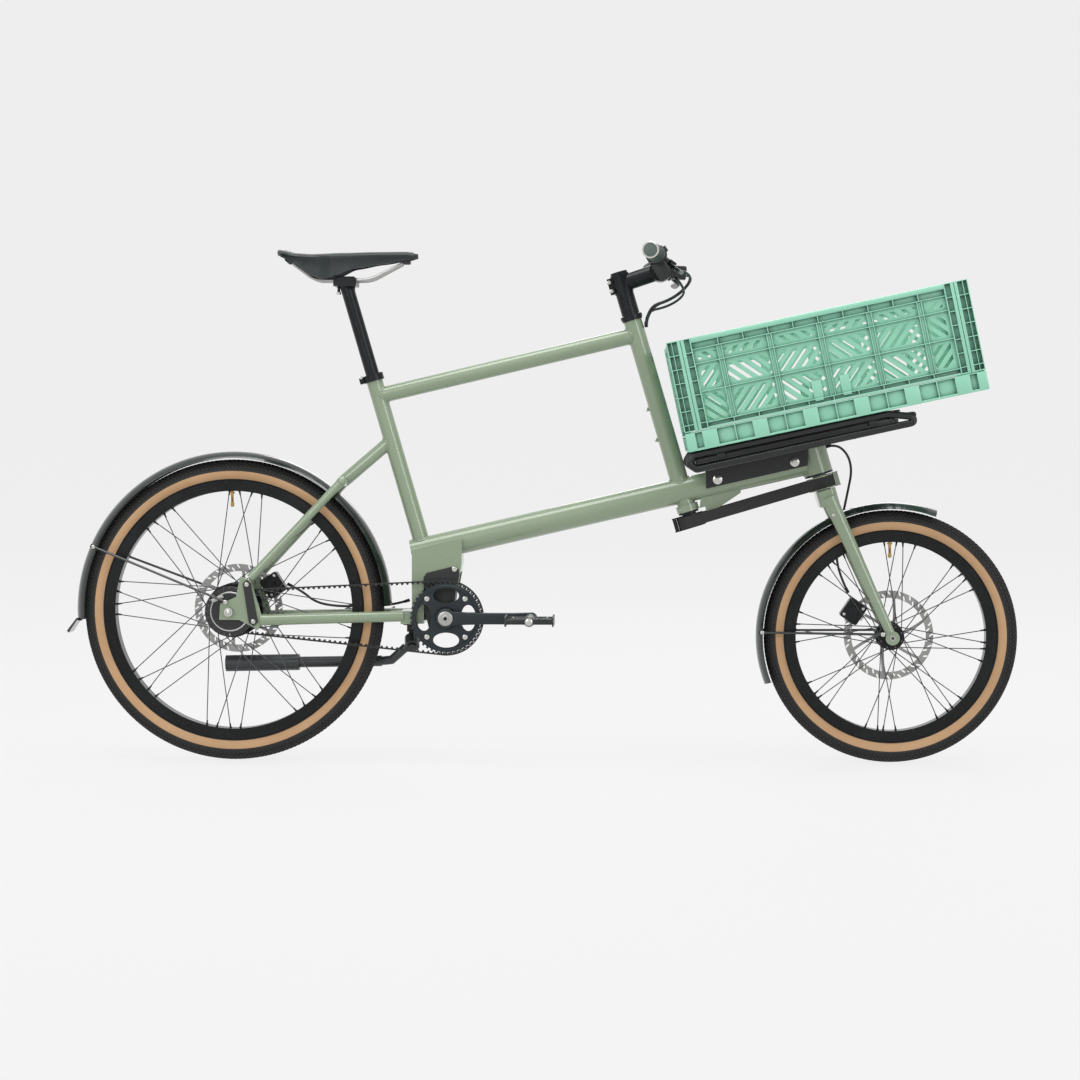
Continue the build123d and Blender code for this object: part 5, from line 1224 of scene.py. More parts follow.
# %% Lines of the long wall, in metres from its lower rear corner
POST = 47.4 * MM
RIB = 1.8 * MM
DOUBLE = 4.2 * MM                    # from the middle of a double rib to either of its ribs
COLUMNS = [99 * MM, 197 * MM, 295 * MM, 393 * MM, 491 * MM]
ROWS = [50 * MM, 110 * MM, 164.5 * MM, 192.8 * MM]
RIM_LOW = 205.4 * MM
LIP_LOW, LIP_HIGH = 38 * MM, 41.8 * MM
BAND_TOP = 36.4 * MM


def add_post(bm, place, mirrored, length):
    """A corner post: two columns of pockets, a plain strip and one more column."""
    def x_of(distance):
        return length - distance if mirrored else distance

    def bar(start, stop, low, high, near, far, bevel=0.5 * MM):
        left, right = sorted((x_of(start), x_of(stop)))
        add_bar(bm, place, (left, low), (right, high), near, far, bevel)

    bar(0, POST, LIP_LOW, CRATE_HEIGHT - 0.6 * MM, 9.5 * MM, CRATE_WALL)
    for start, stop in ((0, 1.8), (9.4, 10.8), (20.4, 26.6), (27.8, 34.2), (45, 47.4)):
        bar(start * MM, stop * MM, LIP_LOW, CRATE_HEIGHT, 0.3 * MM, 9.9 * MM)
    bar(26 * MM, 28.4 * MM, LIP_LOW, CRATE_HEIGHT - 1 * MM, 2.4 * MM, 9.9 * MM)
    for index in range(7):
        high = CRATE_HEIGHT - index * 27.3 * MM
        bar(1 * MM, 21 * MM, high - RIB, high, 0.6 * MM, 9.9 * MM)
        bar(33.6 * MM, 46 * MM, high - RIB, high, 0.6 * MM, 9.9 * MM)
    for start, stop in ((1, 21), (33.6, 46)):
        bar(start * MM, stop * MM, LIP_LOW, LIP_LOW + 2.4 * MM, 0.6 * MM, 9.9 * MM)


def add_grid_ribs(bm, place, left, right, columns, rows, rim_low):
    """Single ribs along the rows and double ribs up the columns."""
    for row in rows:
        add_bar(bm, place, (left, row - RIB / 2), (right, row + RIB / 2), 0.5 * MM, 9 * MM)
    for column in columns:
        for offset in (-DOUBLE, DOUBLE):
            low_x = column + offset - RIB / 2
            add_bar(bm, place, (low_x, rows[0]), (low_x + RIB, rows[-1]), 0.9 * MM, 9 * MM)
        add_bar(
            bm, place, (column - DOUBLE, rows[0]), (column + DOUBLE, rows[-1]), 4 * MM, 9 * MM,
            0.2 * MM
        )
    half = (columns[1] - columns[0]) / 2
    ticks = [columns[0] + half * k for k in range(-1, 2 * len(columns))]
    for tick in ticks:
        if left + 4 * MM < tick < right - 4 * MM:
            add_bar(
                bm, place, (tick - RIB / 2, rows[-1]), (tick + RIB / 2, rim_low + 1 * MM), 0.9 * MM,
                9.5 * MM,
            )
            add_bar(
                bm, place, (tick - RIB / 2, LIP_HIGH - 1 * MM), (tick + RIB / 2, rows[0]), 0.9 * MM,
                9.5 * MM,
            )


def add_wall(bm, place, left, right, columns, slope):
    """The field of a wall between its two posts or ends: sheet, ribs, channels and lip."""
    edges = [left] + columns + [right]
    add_lattice(bm, place, edges, ROWS, slope)
    add_grid_ribs(bm, place, left, right, columns, ROWS, RIM_LOW)
    add_bar(bm, place, (left, ROWS[-1]), (right, RIM_LOW + 2 * MM), 9.3 * MM, CRATE_WALL, 0.2 * MM)
    add_bar(bm, place, (left, LIP_LOW), (right, ROWS[0]), 9.3 * MM, CRATE_WALL, 0.2 * MM)
    add_bar(bm, place, (left, LIP_LOW), (right, LIP_HIGH), 0.6 * MM, 9.9 * MM, 0.8 * MM)


def make_side_walls():
    """Both long walls with their corner posts."""
    bm = bmesh.new()
    for name in ("near", "far"):
        place = wall_frame(name)
        add_wall(bm, place, POST, CRATE_LENGTH - POST, COLUMNS, -1)
        add_bar(
            bm, place, (POST - 1 * MM, RIM_LOW), (CRATE_LENGTH - POST + 1 * MM, CRATE_HEIGHT), 0,
            CRATE_WALL, 3 * MM,
        )
        add_post(bm, place, False, CRATE_LENGTH)
        add_post(bm, place, True, CRATE_LENGTH)
        for start in mm(258, 313):
            add_bar(
                bm, place, (start, 50 * MM), (start + 19 * MM, 86 * MM), 3.6 * MM, 9 * MM, 1 * MM
            )
            add_bar(
                bm, place, (start + 1 * MM, 46 * MM), (start + 18 * MM, 52 * MM), 1.2 * MM, 8 * MM,
                1 * MM,
            )
    walls = finish_piece("crate_long_walls", bm, "frame", [MINT], sharp=30)
    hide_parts("crate_side_walls")
    return walls


long_walls = make_side_walls()
print("long walls", len(long_walls.data.polygons), "faces")

# %% [markdown]
# ### Base and end walls
#
# The base is a tray. Raised pads stand on its band between pairs of shallow windows, and its
# floor is a grid. The end walls are shorter copies of the lattice, and each rides on its own
# hinge, so it can fold flat into the tray.

# %% Base
BASE_TOP = 26 * MM


def add_band(bm, place, start, length, pads, windows, top):
    """The base's outer band: a recessed sheet, lips, pads and a rib in each pair of windows."""
    near = 0.4 * MM
    add_bar(bm, place, (start, 0.4 * MM), (length, top - 0.6 * MM), 8 * MM, CRATE_WALL, 0.3 * MM)
    add_bar(bm, place, (start, 0), (length, 4.5 * MM), near, 10 * MM, 1.2 * MM)
    add_bar(bm, place, (start, top - 2 * MM), (length, top), near + 0.3 * MM, 10 * MM, 0.5 * MM)
    for left, right in pads:
        add_bar(bm, place, (left, 0.6 * MM), (right, top - 0.6 * MM), 0, 10 * MM, 0.6 * MM)
    for window in windows:
        add_bar(
            bm, place, (window - 1.1 * MM, 3 * MM), (window + 1.1 * MM, top - 1 * MM),
            near + 0.5 * MM, 9 * MM,
        )


def long_pads():
    """The pads along a long side, symmetrical about its middle."""
    half = [(0, 18.5), (32.3, 61.8), (131.5, 160.6), (230.5, 259.5)]
    other = [(590 - high, 590 - low) for low, high in reversed(half)]
    return [mm(low, high) for low, high in half + other]


def make_base():
    """The tray: four bands and a ribbed floor with square holes."""
    bm = bmesh.new()
    windows = [97 * MM, 196 * MM, 295 * MM, 394 * MM, 493 * MM]
    for name in ("near", "far"):
        add_band(
            bm, wall_frame(name), 0.5 * MM, CRATE_LENGTH - 0.5 * MM, long_pads(), windows, BAND_TOP
        )
    inset = CRATE_WALL - 0.4 * MM
    end_pads = [(13, 30), (118, 146), (248, 276), (364, 381)]
    for name in ("rear", "front"):
        add_band(
            bm, wall_frame(name), inset, CRATE_WIDTH - inset, [mm(a, b) for a, b in end_pads],
            [74 * MM, 197 * MM, 320 * MM], BASE_TOP,
        )
    across, along = 11, 17
    cell_u = (CRATE_LENGTH - 2 * CRATE_WALL) / along
    cell_v = (CRATE_WIDTH - 2 * CRATE_WALL) / across
    before = set(bm.faces)
    place = CRATE_AT @ Matrix.Translation((CRATE_LENGTH / 2, 0, 6.5 * MM))
    bmesh.ops.create_grid(
        bm, x_segments=along, y_segments=across, size=0.5,
        matrix=place @ Matrix.Diagonal((CRATE_LENGTH - 2 * CRATE_WALL, CRATE_WIDTH - 2 * CRATE_WALL, 1, 1)),
    )
    floor = since(bm, before)
    bmesh.ops.inset_individual(
        bm, faces=floor, thickness=min(cell_u, cell_v) * 0.16, use_even_offset=True
    )
    bmesh.ops.delete(bm, geom=floor, context="FACES")
    sheet = since(bm, before)
    bmesh.ops.solidify(bm, geom=sheet, thickness=3 * MM)
    for index in range(1, across):
        v = -CRATE_WIDTH / 2 + CRATE_WALL + index * cell_v
        add_box(
            bm, CRATE_AT @ Matrix.Translation((CRATE_LENGTH / 2, v, 3.6 * MM)),
            (CRATE_LENGTH - 2 * CRATE_WALL, 2.2 * MM, 6.4 * MM), 0.4 * MM, 1,
        )
    for index in range(1, along):
        u = CRATE_WALL + index * cell_u
        add_box(
            bm, CRATE_AT @ Matrix.Translation((u, 0, 3.6 * MM)),
            (2.2 * MM, CRATE_WIDTH - 2 * CRATE_WALL, 6.4 * MM), 0.4 * MM, 1,
        )
    tray = finish_piece("crate_tray", bm, "frame", [MINT], sharp=30)
    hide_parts("crate_base")
    return tray


tray = make_base()
print("tray", len(tray.data.polygons), "faces")


# %% End walls
def make_end_wall(name):
    """One folding end wall, a little narrower than the space between the long walls."""
    bm = bmesh.new()
    place = wall_frame(name) @ shift(0, 0.5, 0)
    left, right = CRATE_WALL + 0.8 * MM, CRATE_WIDTH - CRATE_WALL - 0.8 * MM
    inner = CRATE_WALL - 1 * MM
    columns = [74 * MM, 156 * MM, 238 * MM, 320 * MM]
    top = CRATE_HEIGHT - 0.8 * MM
    add_lattice(bm, place, [left + 10 * MM] + columns + [right - 10 * MM], ROWS, 1)
    add_grid_ribs(bm, place, left + 8 * MM, right - 8 * MM, columns, ROWS, RIM_LOW)
    add_bar(bm, place, (left, RIM_LOW), (right, top), 0, inner, 3 * MM)
    add_bar(bm, place, (left, ROWS[-1]), (right, RIM_LOW + 2 * MM), 8.6 * MM, inner, 0.2 * MM)
    add_bar(bm, place, (left, 31 * MM), (right, ROWS[0]), 8.6 * MM, inner, 0.2 * MM)
    add_bar(bm, place, (left, 27.6 * MM), (right, 33 * MM), 0.3 * MM, inner, 0.8 * MM)
    for low in (left, right - 10 * MM):
        add_bar(bm, place, (low, 28 * MM), (low + 10 * MM, top - 1 * MM), 0.3 * MM, inner, 1 * MM)
    add_bar(bm, place, mm(150, 166), mm(244, 192), 0.6 * MM, 9 * MM, 3 * MM)
    bead = place.inverted() @ (rear_hinge if name == "rear" else front_hinge)
    ends = [place @ Vector((x, bead.y, bead.z)) for x in (left, right)]
    add_rod(bm, ends[0], ends[1], 2.5 * MM, 14)
    wall = finish_piece(
        "crate_end_wall_" + name, bm, "crate_" + name + "_end", [MINT], sharp=30
    )
    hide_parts("crate_" + name + "_wall")
    return wall


print("end walls", [len(make_end_wall(name).data.polygons) for name in ("rear", "front")])

# %% [markdown]
# ## Saddle
#
# The leather top starts as a flat grid. Each of its points is moved to a station along the saddle
# and a place across it: first over the rounded top, then down the skirt. Three small tables give
# the width, the height of the top and the depth of the skirt along its length.

# %% The leather shell
saddle_low, saddle_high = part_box("saddle")
SADDLE_LENGTH = saddle_high.x - saddle_low.x
HALF_WIDTH = [(0, 50), (0.035, 70), (0.1, 79), (0.2, 80), (0.29, 71), (0.4, 49), (0.54, 31), (0.72, 22), (0.93, 18),
              (0.98, 14), (1, 5)]
TOP_LINE = [
    (0, 0), (0.06, -3), (0.14, -8), (0.25, -9.5), (0.45, -6), (0.7, -4), (0.93, -3.5), (1, -8)
]
SKIRT_LINE = [(0, -9), (0.06, -17), (0.14, -30), (0.24, -52), (0.33, -62), (0.42, -52), (0.55, -38), (0.75, -29),
              (0.95, -21), (1, -17)]
CROWN = 9 * MM


def read_table(table, at_share):
    """A smooth value from a table of (share, value) pairs."""
    for (start, low), (stop, high) in zip(table, table[1:]):
        if at_share <= stop:
            step = (at_share - start) / (stop - start)
            step = step * step * (3 - 2 * step) * 0.5 + step * 0.5
            return low + (high - low) * step
    return table[-1][1]


def saddle_point(share, across):
    """The place on the leather for a share of the length and a place across, -1 to 1."""
    wide = read_table(HALF_WIDTH, share) * MM
    top = read_table(TOP_LINE, share) * MM
    skirt = read_table(SKIRT_LINE, share) * MM
    side = 1 if across > 0 else -1
    part = abs(across)
    if part < 0.6:
        turn = part / 0.6 * pi / 2
        y = wide * sin(turn) ** 0.85
        z = top - CROWN * (1 - cos(turn)) ** 1.15
    else:
        down = (part - 0.6) / 0.4
        shoulder = top - CROWN
        z = shoulder + (min(skirt, shoulder - 1 * MM) - shoulder) * down
        y = wide * (1 - 0.05 * sin(down * pi)) - 2.5 * MM * down
    return Vector((saddle_low.x + share * SADDLE_LENGTH, side * y, saddle_high.z + z))


def make_saddle():
    """The moulded leather top with steel rivets and a cantle plate below."""
    bm = bmesh.new()
    bmesh.ops.create_grid(bm, x_segments=56, y_segments=34, size=0.5)
    for vert in bm.verts:
        share = min(max(vert.co.x + 0.5, 0), 1)
        vert.co = saddle_point(share, min(max(vert.co.y * 2, -1), 1))
    bmesh.ops.recalc_face_normals(bm, faces=bm.faces)
    middle = min(
        bm.faces, key=lambda face: (face.calc_center_median() - saddle_point(0.3, 0)).length
    )
    if middle.normal.z < 0:
        bmesh.ops.reverse_faces(bm, faces=bm.faces)
    bmesh.ops.solidify(bm, geom=list(bm.faces), thickness=4.2 * MM)
    leather = set(bm.faces)
    for y in (-46, -24, 0, 24, 46):
        across = y * MM / (read_table(HALF_WIDTH, 0.055) * MM)
        seat = saddle_point(
            0.055 if abs(y) < 40 else 0.085,
            0.6 * asin(across) / (pi / 2) * (1.1 if abs(y) > 40 else 1),
        )
        dome = [mm(5, -1), mm(5, 0.3), mm(4, 1.2), mm(2.2, 1.9), mm(0.001, 2.1)]
        seat.z -= 0.4 * MM
        add_turned(bm, dome, frame_of(seat, (1, 0, 0), (0, 0, 1)), steps=18, closed=False)
    nose = saddle_point(0.955, 0)
    add_turned(
        bm, [mm(4, -1), mm(4, 0.4), mm(2.6, 1.3), mm(0.001, 1.6)],
        frame_of(nose - Vector(mm(0, 0, 0.3)), (1, 0, 0), (0, 0, 1)), steps=18, closed=False,
    )
    bmesh.ops.remove_doubles(bm, verts=bm.verts, dist=1e-6)
    paint_faces(since(bm, leather), 1)
    under = set(bm.faces)
    for side in (-1, 1):
        corner = Vector((saddle_low.x + 20 * MM, side * 52 * MM, saddle_high.z - 20 * MM))
        rail_end = Vector((saddle_low.x + 26 * MM, side * 40 * MM, saddle_high.z - 26 * MM))
        add_rod(bm, corner, rail_end, 6 * MM, 10)
    add_box(
        bm, Matrix.Translation((saddle_low.x + 22 * MM, 0, saddle_high.z - 22 * MM)), mm(9, 106, 7),
        2 * MM
    )
    add_box(
        bm, Matrix.Translation((saddle_high.x - 24 * MM, 0, saddle_high.z - 25 * MM)),
        mm(18, 26, 8), 3 * MM
    )
    paint_faces(since(bm, under), 2)
    saddle = finish_piece(
        "leather_saddle", bm, "saddle_post", [LEATHER, STEEL, CASTING], sharp=42
    )
    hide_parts("saddle")
    return saddle


# %% [markdown]
# Worn leather is darkest in its creases and has a soft, cloudy sheen. One noise makes the clouds,
# a finer cell pattern makes the pores, and the rims stay a little paler.

# %% Leather
def make_leather():
    """Dark green-black leather with pores and soft clouds."""
    finish = Finish("saddle_leather", rgb(24, 30, 31), 0.4, 0.0, Specular_IOR_Level=0.42)
    finish.handled(0.3, 0.5, 11.0, rgb(36, 44, 44), 0.7, rgb(96, 104, 102))
    finish.worn_and_highlit_edges(rgb(84, 92, 88), 0.0014, 0.5)
    tree = finish.tree
    cells = tree.nodes.new("ShaderNodeTexVoronoi")
    cells.inputs["Scale"].default_value = 620.0
    tree.links.new(finish.where, cells.inputs["Vector"])
    clouds = add_noise(tree, finish.where, 90.0, 4.0, 0.6)
    both = tree.nodes.new("ShaderNodeMath")
    both.operation = "ADD"
    tree.links.new(cells.outputs["Distance"], both.inputs[0])
    tree.links.new(clouds.outputs["Fac"], both.inputs[1])
    bump = tree.nodes.new("ShaderNodeBump")
    bump.inputs["Strength"].default_value = 0.3
    bump.inputs["Distance"].default_value = 0.0004
    tree.links.new(both.outputs[0], bump.inputs["Height"])
    finish.set_normal(bump.outputs["Normal"])
    return finish.material


LEATHER = make_leather()
leather_saddle = make_saddle()
print("saddle faces", len(leather_saddle.data.polygons))

# %% [markdown]
# ## Hoses and cables
#
# Two brake hoses and a shift cable loop from the handlebar into the top of the column. A second
# loop joins the frame to the fork, and one more runs along the chain stay to the rear brake. Each
# is a smooth curve whose control points are the route's own points. The loops that cross a steering
# joint ride on neither of the two bodies that they join; they stay where they are drawn.

# %% Routes
def in_column(u, v, w):
    """A point in the column's own directions, in millimetres from its pulley."""
    return COLUMN_AT + (AHEAD * u + SIDE * v + UP_COLUMN * w) * MM


def in_fork(u, v, w):
    """The same for the fork's axis."""
    return FORK_AT + (AHEAD * u + SIDE * v + UP_COLUMN * w) * MM


def from_rear(x, y, z):
    """A point by its distance ahead of the rear axle and its height, in millimetres."""
    return Vector((REAR_AXLE.x + x * MM, y * MM, z * MM))


BAR_U, BAR_W = 81, 497.5
ENTRY_W = 410
HOSE_R = 2.5 * MM
ROUTES = {
    "right_hose": [
        in_column(BAR_U + 24, -118, BAR_W - 12), in_column(BAR_U + 52, -76, BAR_W - 22),
        in_column(BAR_U + 50, -34, BAR_W - 42), in_column(BAR_U + 6, -18, BAR_W - 62),
        in_column(34.5, -9, ENTRY_W + 26), in_column(22.5, -6, ENTRY_W - 12),
    ],
    "left_hose": [
        in_column(BAR_U + 24, 118, BAR_W - 12), in_column(BAR_U + 56, 80, BAR_W - 18),
        in_column(BAR_U + 56, 40, BAR_W - 36), in_column(BAR_U + 14, 18, BAR_W - 60),
        in_column(36.5, 9, ENTRY_W + 24), in_column(22.5, 6, ENTRY_W - 12),
    ],
    "shift_cable": [
        in_column(BAR_U + 22, -146, BAR_W - 30), in_column(BAR_U + 34, -104, BAR_W - 52),
        in_column(BAR_U + 26, -58, BAR_W - 66), in_column(BAR_U - 8, -24, BAR_W - 74),
        in_column(28.5, -3, ENTRY_W + 18), in_column(22.5, 0, ENTRY_W - 12),
    ],
    "fork_loop": [
        in_fork(30, 14, 66), in_fork(51, 20, 66), in_fork(69, 30, 40), in_fork(69, 44, 6),
        in_fork(53, 56, -28),
        from_rear(1216, 63, 430), from_rear(1220, 60, 378), from_rear(1240, 48, 337),
    ],
    "rear_run": [
        from_rear(100, 52, 353), from_rear(128, 52, 340), from_rear(158, 51, 315),
        from_rear(204, 49, 307),
        from_rear(262, 44, 309), from_rear(318, 36, 311), from_rear(352, 24, 322),
    ],
}
HELD_BY = {
    "right_hose": ("steering_column", "frame"), "left_hose": ("steering_column", "frame"),
    "shift_cable": ("steering_column", "frame"), "fork_loop": ("frame", "fork_assembly"),
    "rear_run": ("frame", None),
}


def cable_object(name, points, radius):
    """A smooth round cable through its control points, as a mesh."""
    curve = bpy.data.curves.new(name, "CURVE")
    curve.dimensions = "3D"
    curve.bevel_depth = radius
    curve.bevel_resolution = 4
    curve.resolution_u = 10
    curve.use_fill_caps = True
    spline = curve.splines.new("NURBS")
    spline.points.add(len(points) - 1)
    for point, place in zip(spline.points, points):
        point.co = (*place, 1)
    spline.order_u = 3
    spline.use_endpoint_u = True
    shape = bpy.data.objects.new(name + "_line", curve)
    bpy.context.scene.collection.objects.link(shape)
    bpy.context.view_layer.update()
    mesh = bpy.data.meshes.new_from_object(
        shape.evaluated_get(bpy.context.evaluated_depsgraph_get())
    )
    bpy.data.objects.remove(shape)
    bpy.data.curves.remove(curve)
    return mesh


def make_cable(name):
    """One cable: its smooth sheath, a ferrule at each end, and its hold on one body if it stays on one."""
    points = ROUTES[name]
    bm = bmesh.new()
    bm.from_mesh(cable_object(name, points, HOSE_R))
    sheath = set(bm.faces)
    for end, inner in ((points[0], points[1]), (points[-1], points[-2])):
        along = (inner - end).normalized()
        add_rod(bm, end, end + along * 11 * MM, HOSE_R + 0.9 * MM, 14, HOSE_R + 0.6 * MM, 0.3 * MM)
    paint_faces(since(bm, sheath), 1)
    first, second = HELD_BY[name]
    holder = None if second else first
    cable = finish_piece(name, bm, holder, [SHEATH, ANODISED], sharp=50)
    if second:
        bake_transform(cable)
    return cable


cables = [make_cable(name) for name in ROUTES]
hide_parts("control_cables")
print("cables", [cable.name for cable in cables], "column at", [round(c, 4) for c in COLUMN_AT])

# %% [markdown]
# ## Cockpit
#
# Grips, levers and clamps sit on the straight outer parts of the handlebar. One function gives a
# point on that straight and its direction, and a second one turns it into a frame with X down and
# forward, Y outwards along the bar, as a lever needs it.

# %% Frames on the handlebar
BAR_END, BAR_BEND = in_column(66.5, -318, 522.5), in_column(84, -140, 517.5)
LEVER_DROP = 53.4
LEVER_STATION = 154
STEM_W = 494.5


def on_bar(side, station):
    """A point on the bar, in millimetres from its end, and the outward direction."""
    end, bend = BAR_END.copy(), BAR_BEND.copy()
    if side > 0:
        end.y, bend.y = -end.y, -bend.y
    out = (end - bend).normalized()
    return end - out * station * MM, out


def bar_place(side, station, drop):
    """X reaches down and forward by the drop, Y runs outwards along the bar."""
    point, out = on_bar(side, station)
    reach = AHEAD * cos(radians(drop)) - UP_COLUMN * sin(radians(drop))
    reach = (reach - out * reach.dot(out)).normalized()
    turn = Matrix((reach, out, reach.cross(out))).transposed().to_4x4()
    return Matrix.Translation(point) @ turn


# %% Grips
def ribbed(start, stop, outer, groove, pitch):
    """Outer points of a ribbed sleeve, as (radius, height), from start down to stop."""
    points = []
    low = start
    while low - pitch > stop:
        points += [(groove, low), (outer - 0.2 * MM, low - 0.5 * MM), (outer, low - pitch * 0.35)]
        points += [(outer - 0.2 * MM, low - pitch * 0.68), (groove, low - pitch * 0.8)]
        low -= pitch
    return points + [(groove, low), (groove, stop)]


def add_grip(bm, side, start, stop, outer, with_end):
    """A rubber sleeve round the bar, with a clamp ring and an end disc if it is the outer one."""
    point, out = on_bar(side, 0)
    place = frame_of(point, AHEAD, out)
    bore = 11.25 * MM
    body_start = start - 7 * MM if with_end else start
    profile = [(bore, body_start)] + ribbed(
        body_start, stop, outer, outer - 0.9 * MM, 3.8 * MM
    ) + [(bore, stop)]
    add_turned(bm, profile, place, steps=40)
    if with_end:
        rubber = set(bm.faces)
        ring = [
            (bore, start - 7.2 * MM), (outer - 0.4 * MM, start - 7.2 * MM),
            (outer, start - 6.6 * MM),
        ]
        ring += [
            (outer, start - 0.8 * MM), (outer - 0.7 * MM, start), (13.2 * MM, start),
            (13.2 * MM, start - 2 * MM),
        ]
        add_turned(bm, ring + [(bore, start - 2 * MM)], place, steps=40)
        paint_faces(since(bm, rubber), 1)
        metal = set(bm.faces)
        disc = [
            (0.001 * MM, start - 0.5 * MM), (11.8 * MM, start - 0.5 * MM),
            (12.9 * MM, start - 1.1 * MM),
        ]
        add_turned(bm, disc + [(12.9 * MM, start - 3 * MM)], place, steps=40, closed=False)
        paint_faces(since(bm, metal), 2)
    bmesh.ops.remove_doubles(bm, verts=bm.verts, dist=1e-7)


END_DISC = moulded("grip_end_disc", rgb(70, 84, 79), rgb(84, 97, 92), 0.4, 0.55, 500.0, 0.1)


def make_grips():
    """Both fixed grips and the turning sleeve inside the right one."""
    bm = bmesh.new()
    add_grip(bm, -1, 3 * MM, -81.6 * MM, 16 * MM, True)
    add_grip(bm, 1, 3 * MM, -127.6 * MM, 16 * MM, True)
    grips = finish_piece(
        "ribbed_grips", bm, "steering_column", [GRIP_RUBBER, SILVER_BOLT, END_DISC]
    )
    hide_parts("grips")
    bm = bmesh.new()
    add_grip(bm, -1, -82.6 * MM, -128 * MM, 17 * MM, False)
    sleeve = finish_piece("ribbed_twist_sleeve", bm, "twist_grip", [GRIP_RUBBER])
    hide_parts("twist_sleeve")
    return grips


print("grips", len(make_grips().data.polygons))

# %% Brake levers
LEVER_OUTLINE = [
    (28, -1), (38, -1.5), (48, 3), (57, 12), (62.5, 25), (64.5, 48), (65, 80), (64, 104), (63, 115),
    (60, 120),
    (55.5, 120), (53, 114), (53.5, 98), (55, 72), (54, 48), (51, 32), (45, 20), (37, 13), (29, 11),
]


def make_lever(side, body):
    """A forged lever blade with a rounded edge, its pivot eye and a reach screw."""
    bm = bmesh.new()
    place = bar_place(side, LEVER_STATION, LEVER_DROP)
    outline = [mm(x, y) for x, y in LEVER_OUTLINE]
    add_plate(bm, place, outline, -3.7 * MM, 3.7 * MM, 1.7 * MM, 3)
    blade = set(bm.faces)
    pin = place @ Vector(mm(34, 5, 0))
    axis = place.to_3x3() @ Vector((0, 0, 1))
    add_rod(bm, pin - axis * 3.9 * MM, pin + axis * 3.9 * MM, 5 * MM, 24, bevel=0.5 * MM)
    screw = place @ Vector(mm(45, 12, 3.4))
    paint_faces(since(bm, blade), 1)
    steel = set(bm.faces)
    add_bolt(bm, screw, axis, 2.2 * MM, 1.4 * MM)
    paint_faces(since(bm, steel), 1)
    name = "right" if side < 0 else "left"
    lever = finish_piece(
        name + "_lever_blade", bm, body, [ANODISED, STEEL], sharp=40
    )
    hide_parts("brake_lever_" + name)
    return lever


for side, body in ((-1, "right_lever"), (1, "left_lever")):
    make_lever(side, body)


# %% Clamps, cylinders and the shifter
def add_clamp(bm, place, radius, width):
    """A two-part clamp ring round the bar, with its split and its bolts."""
    half = width / 2
    ring = [(11.2 * MM, -half), (radius - 0.8 * MM, -half), (radius, -half + 0.8 * MM)]
    ring += [(radius, half - 0.8 * MM), (radius - 0.8 * MM, half), (11.2 * MM, half)]
    turn = place @ Matrix.Rotation(-pi / 2, 4, "X")
    add_turned(bm, ring, turn, steps=40)
    reach = place.to_3x3() @ Vector((-1, 0, 0))
    for z in (-1, 1):
        seat = place @ Vector((-2 * MM, 0, z * (radius + 1 * MM)))
        add_box(
            bm, place @ Matrix.Translation((0, 0, z * radius)), (10 * MM, width - 2 * MM, 7 * MM),
            1.6 * MM
        )
        add_bolt(bm, seat + reach * 2.6 * MM, reach, 2.6 * MM, 2.4 * MM)


def make_controls():
    """Both master cylinders and the shifter's housing."""
    bm = bmesh.new()
    for side in (-1, 1):
        place = bar_place(side, LEVER_STATION, LEVER_DROP)
        add_clamp(bm, place, 15.4 * MM, 12 * MM)
        add_box(bm, place @ shift(20, -24, 0), mm(16, 62, 15), 5 * MM, 3)
        add_box(bm, place @ shift(16, -24, 7.4), mm(13, 46, 3), 1.2 * MM)
        for ear in (-1, 1):
            add_box(
                bm, place @ shift(32, 4, ear * 6.6), mm(14, 14, 4.6), 1.4 * MM
            )
        end = place @ Vector(mm(20, -55, 0))
        inward = place.to_3x3() @ Vector((0, -1, 0))
        add_rod(bm, end + inward * -1 * MM, end + inward * 5 * MM, 5 * MM, 6)
        add_rod(bm, end + inward * 5 * MM, end + inward * 12 * MM, 3.6 * MM, 16, 3 * MM)
    place = bar_place(-1, 136.5, LEVER_DROP + 20)
    add_clamp(bm, place, 18.6 * MM, 11.6 * MM)
    add_box(bm, place @ shift(30, 0, 8), mm(38, 12, 28), 4.5 * MM, 3)
    for ridge in range(6):
        add_box(
            bm, place @ shift(18 + ridge * 4.6, 0, 21.6), mm(1.8, 9, 1.6), 0.5 * MM
        )
    black = set(bm.faces)
    for side in (-1, 1):
        place = bar_place(side, LEVER_STATION, LEVER_DROP)
        up = place.to_3x3() @ Vector((0, 0, 1))
        for y in (-42, -6):
            add_bolt(bm, place @ Vector(mm(16, y, 8.7)), up, 2 * MM, 0.9 * MM)
        for z in (-1, 1):
            add_bolt(bm, place @ Vector(mm(34, 5, z * 8.7)), up * z, 3 * MM, 1.1 * MM)
    paint_faces(since(bm, black), 1)
    controls = finish_piece(
        "brake_cylinders_and_shifter", bm, "steering_column",
        [CASTING, SILVER_BOLT], sharp=40
    )
    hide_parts("lever_bodies")
    return controls


print("controls", len(make_controls().data.polygons))


# %% Stem bolts, top cap and lamp lens
LENS = Finish(
    "lamp_lens", rgb(206, 214, 214), 0.08, 0.0, Transmission_Weight=0.6, IOR=1.5
).grain(900.0, 0.1).material


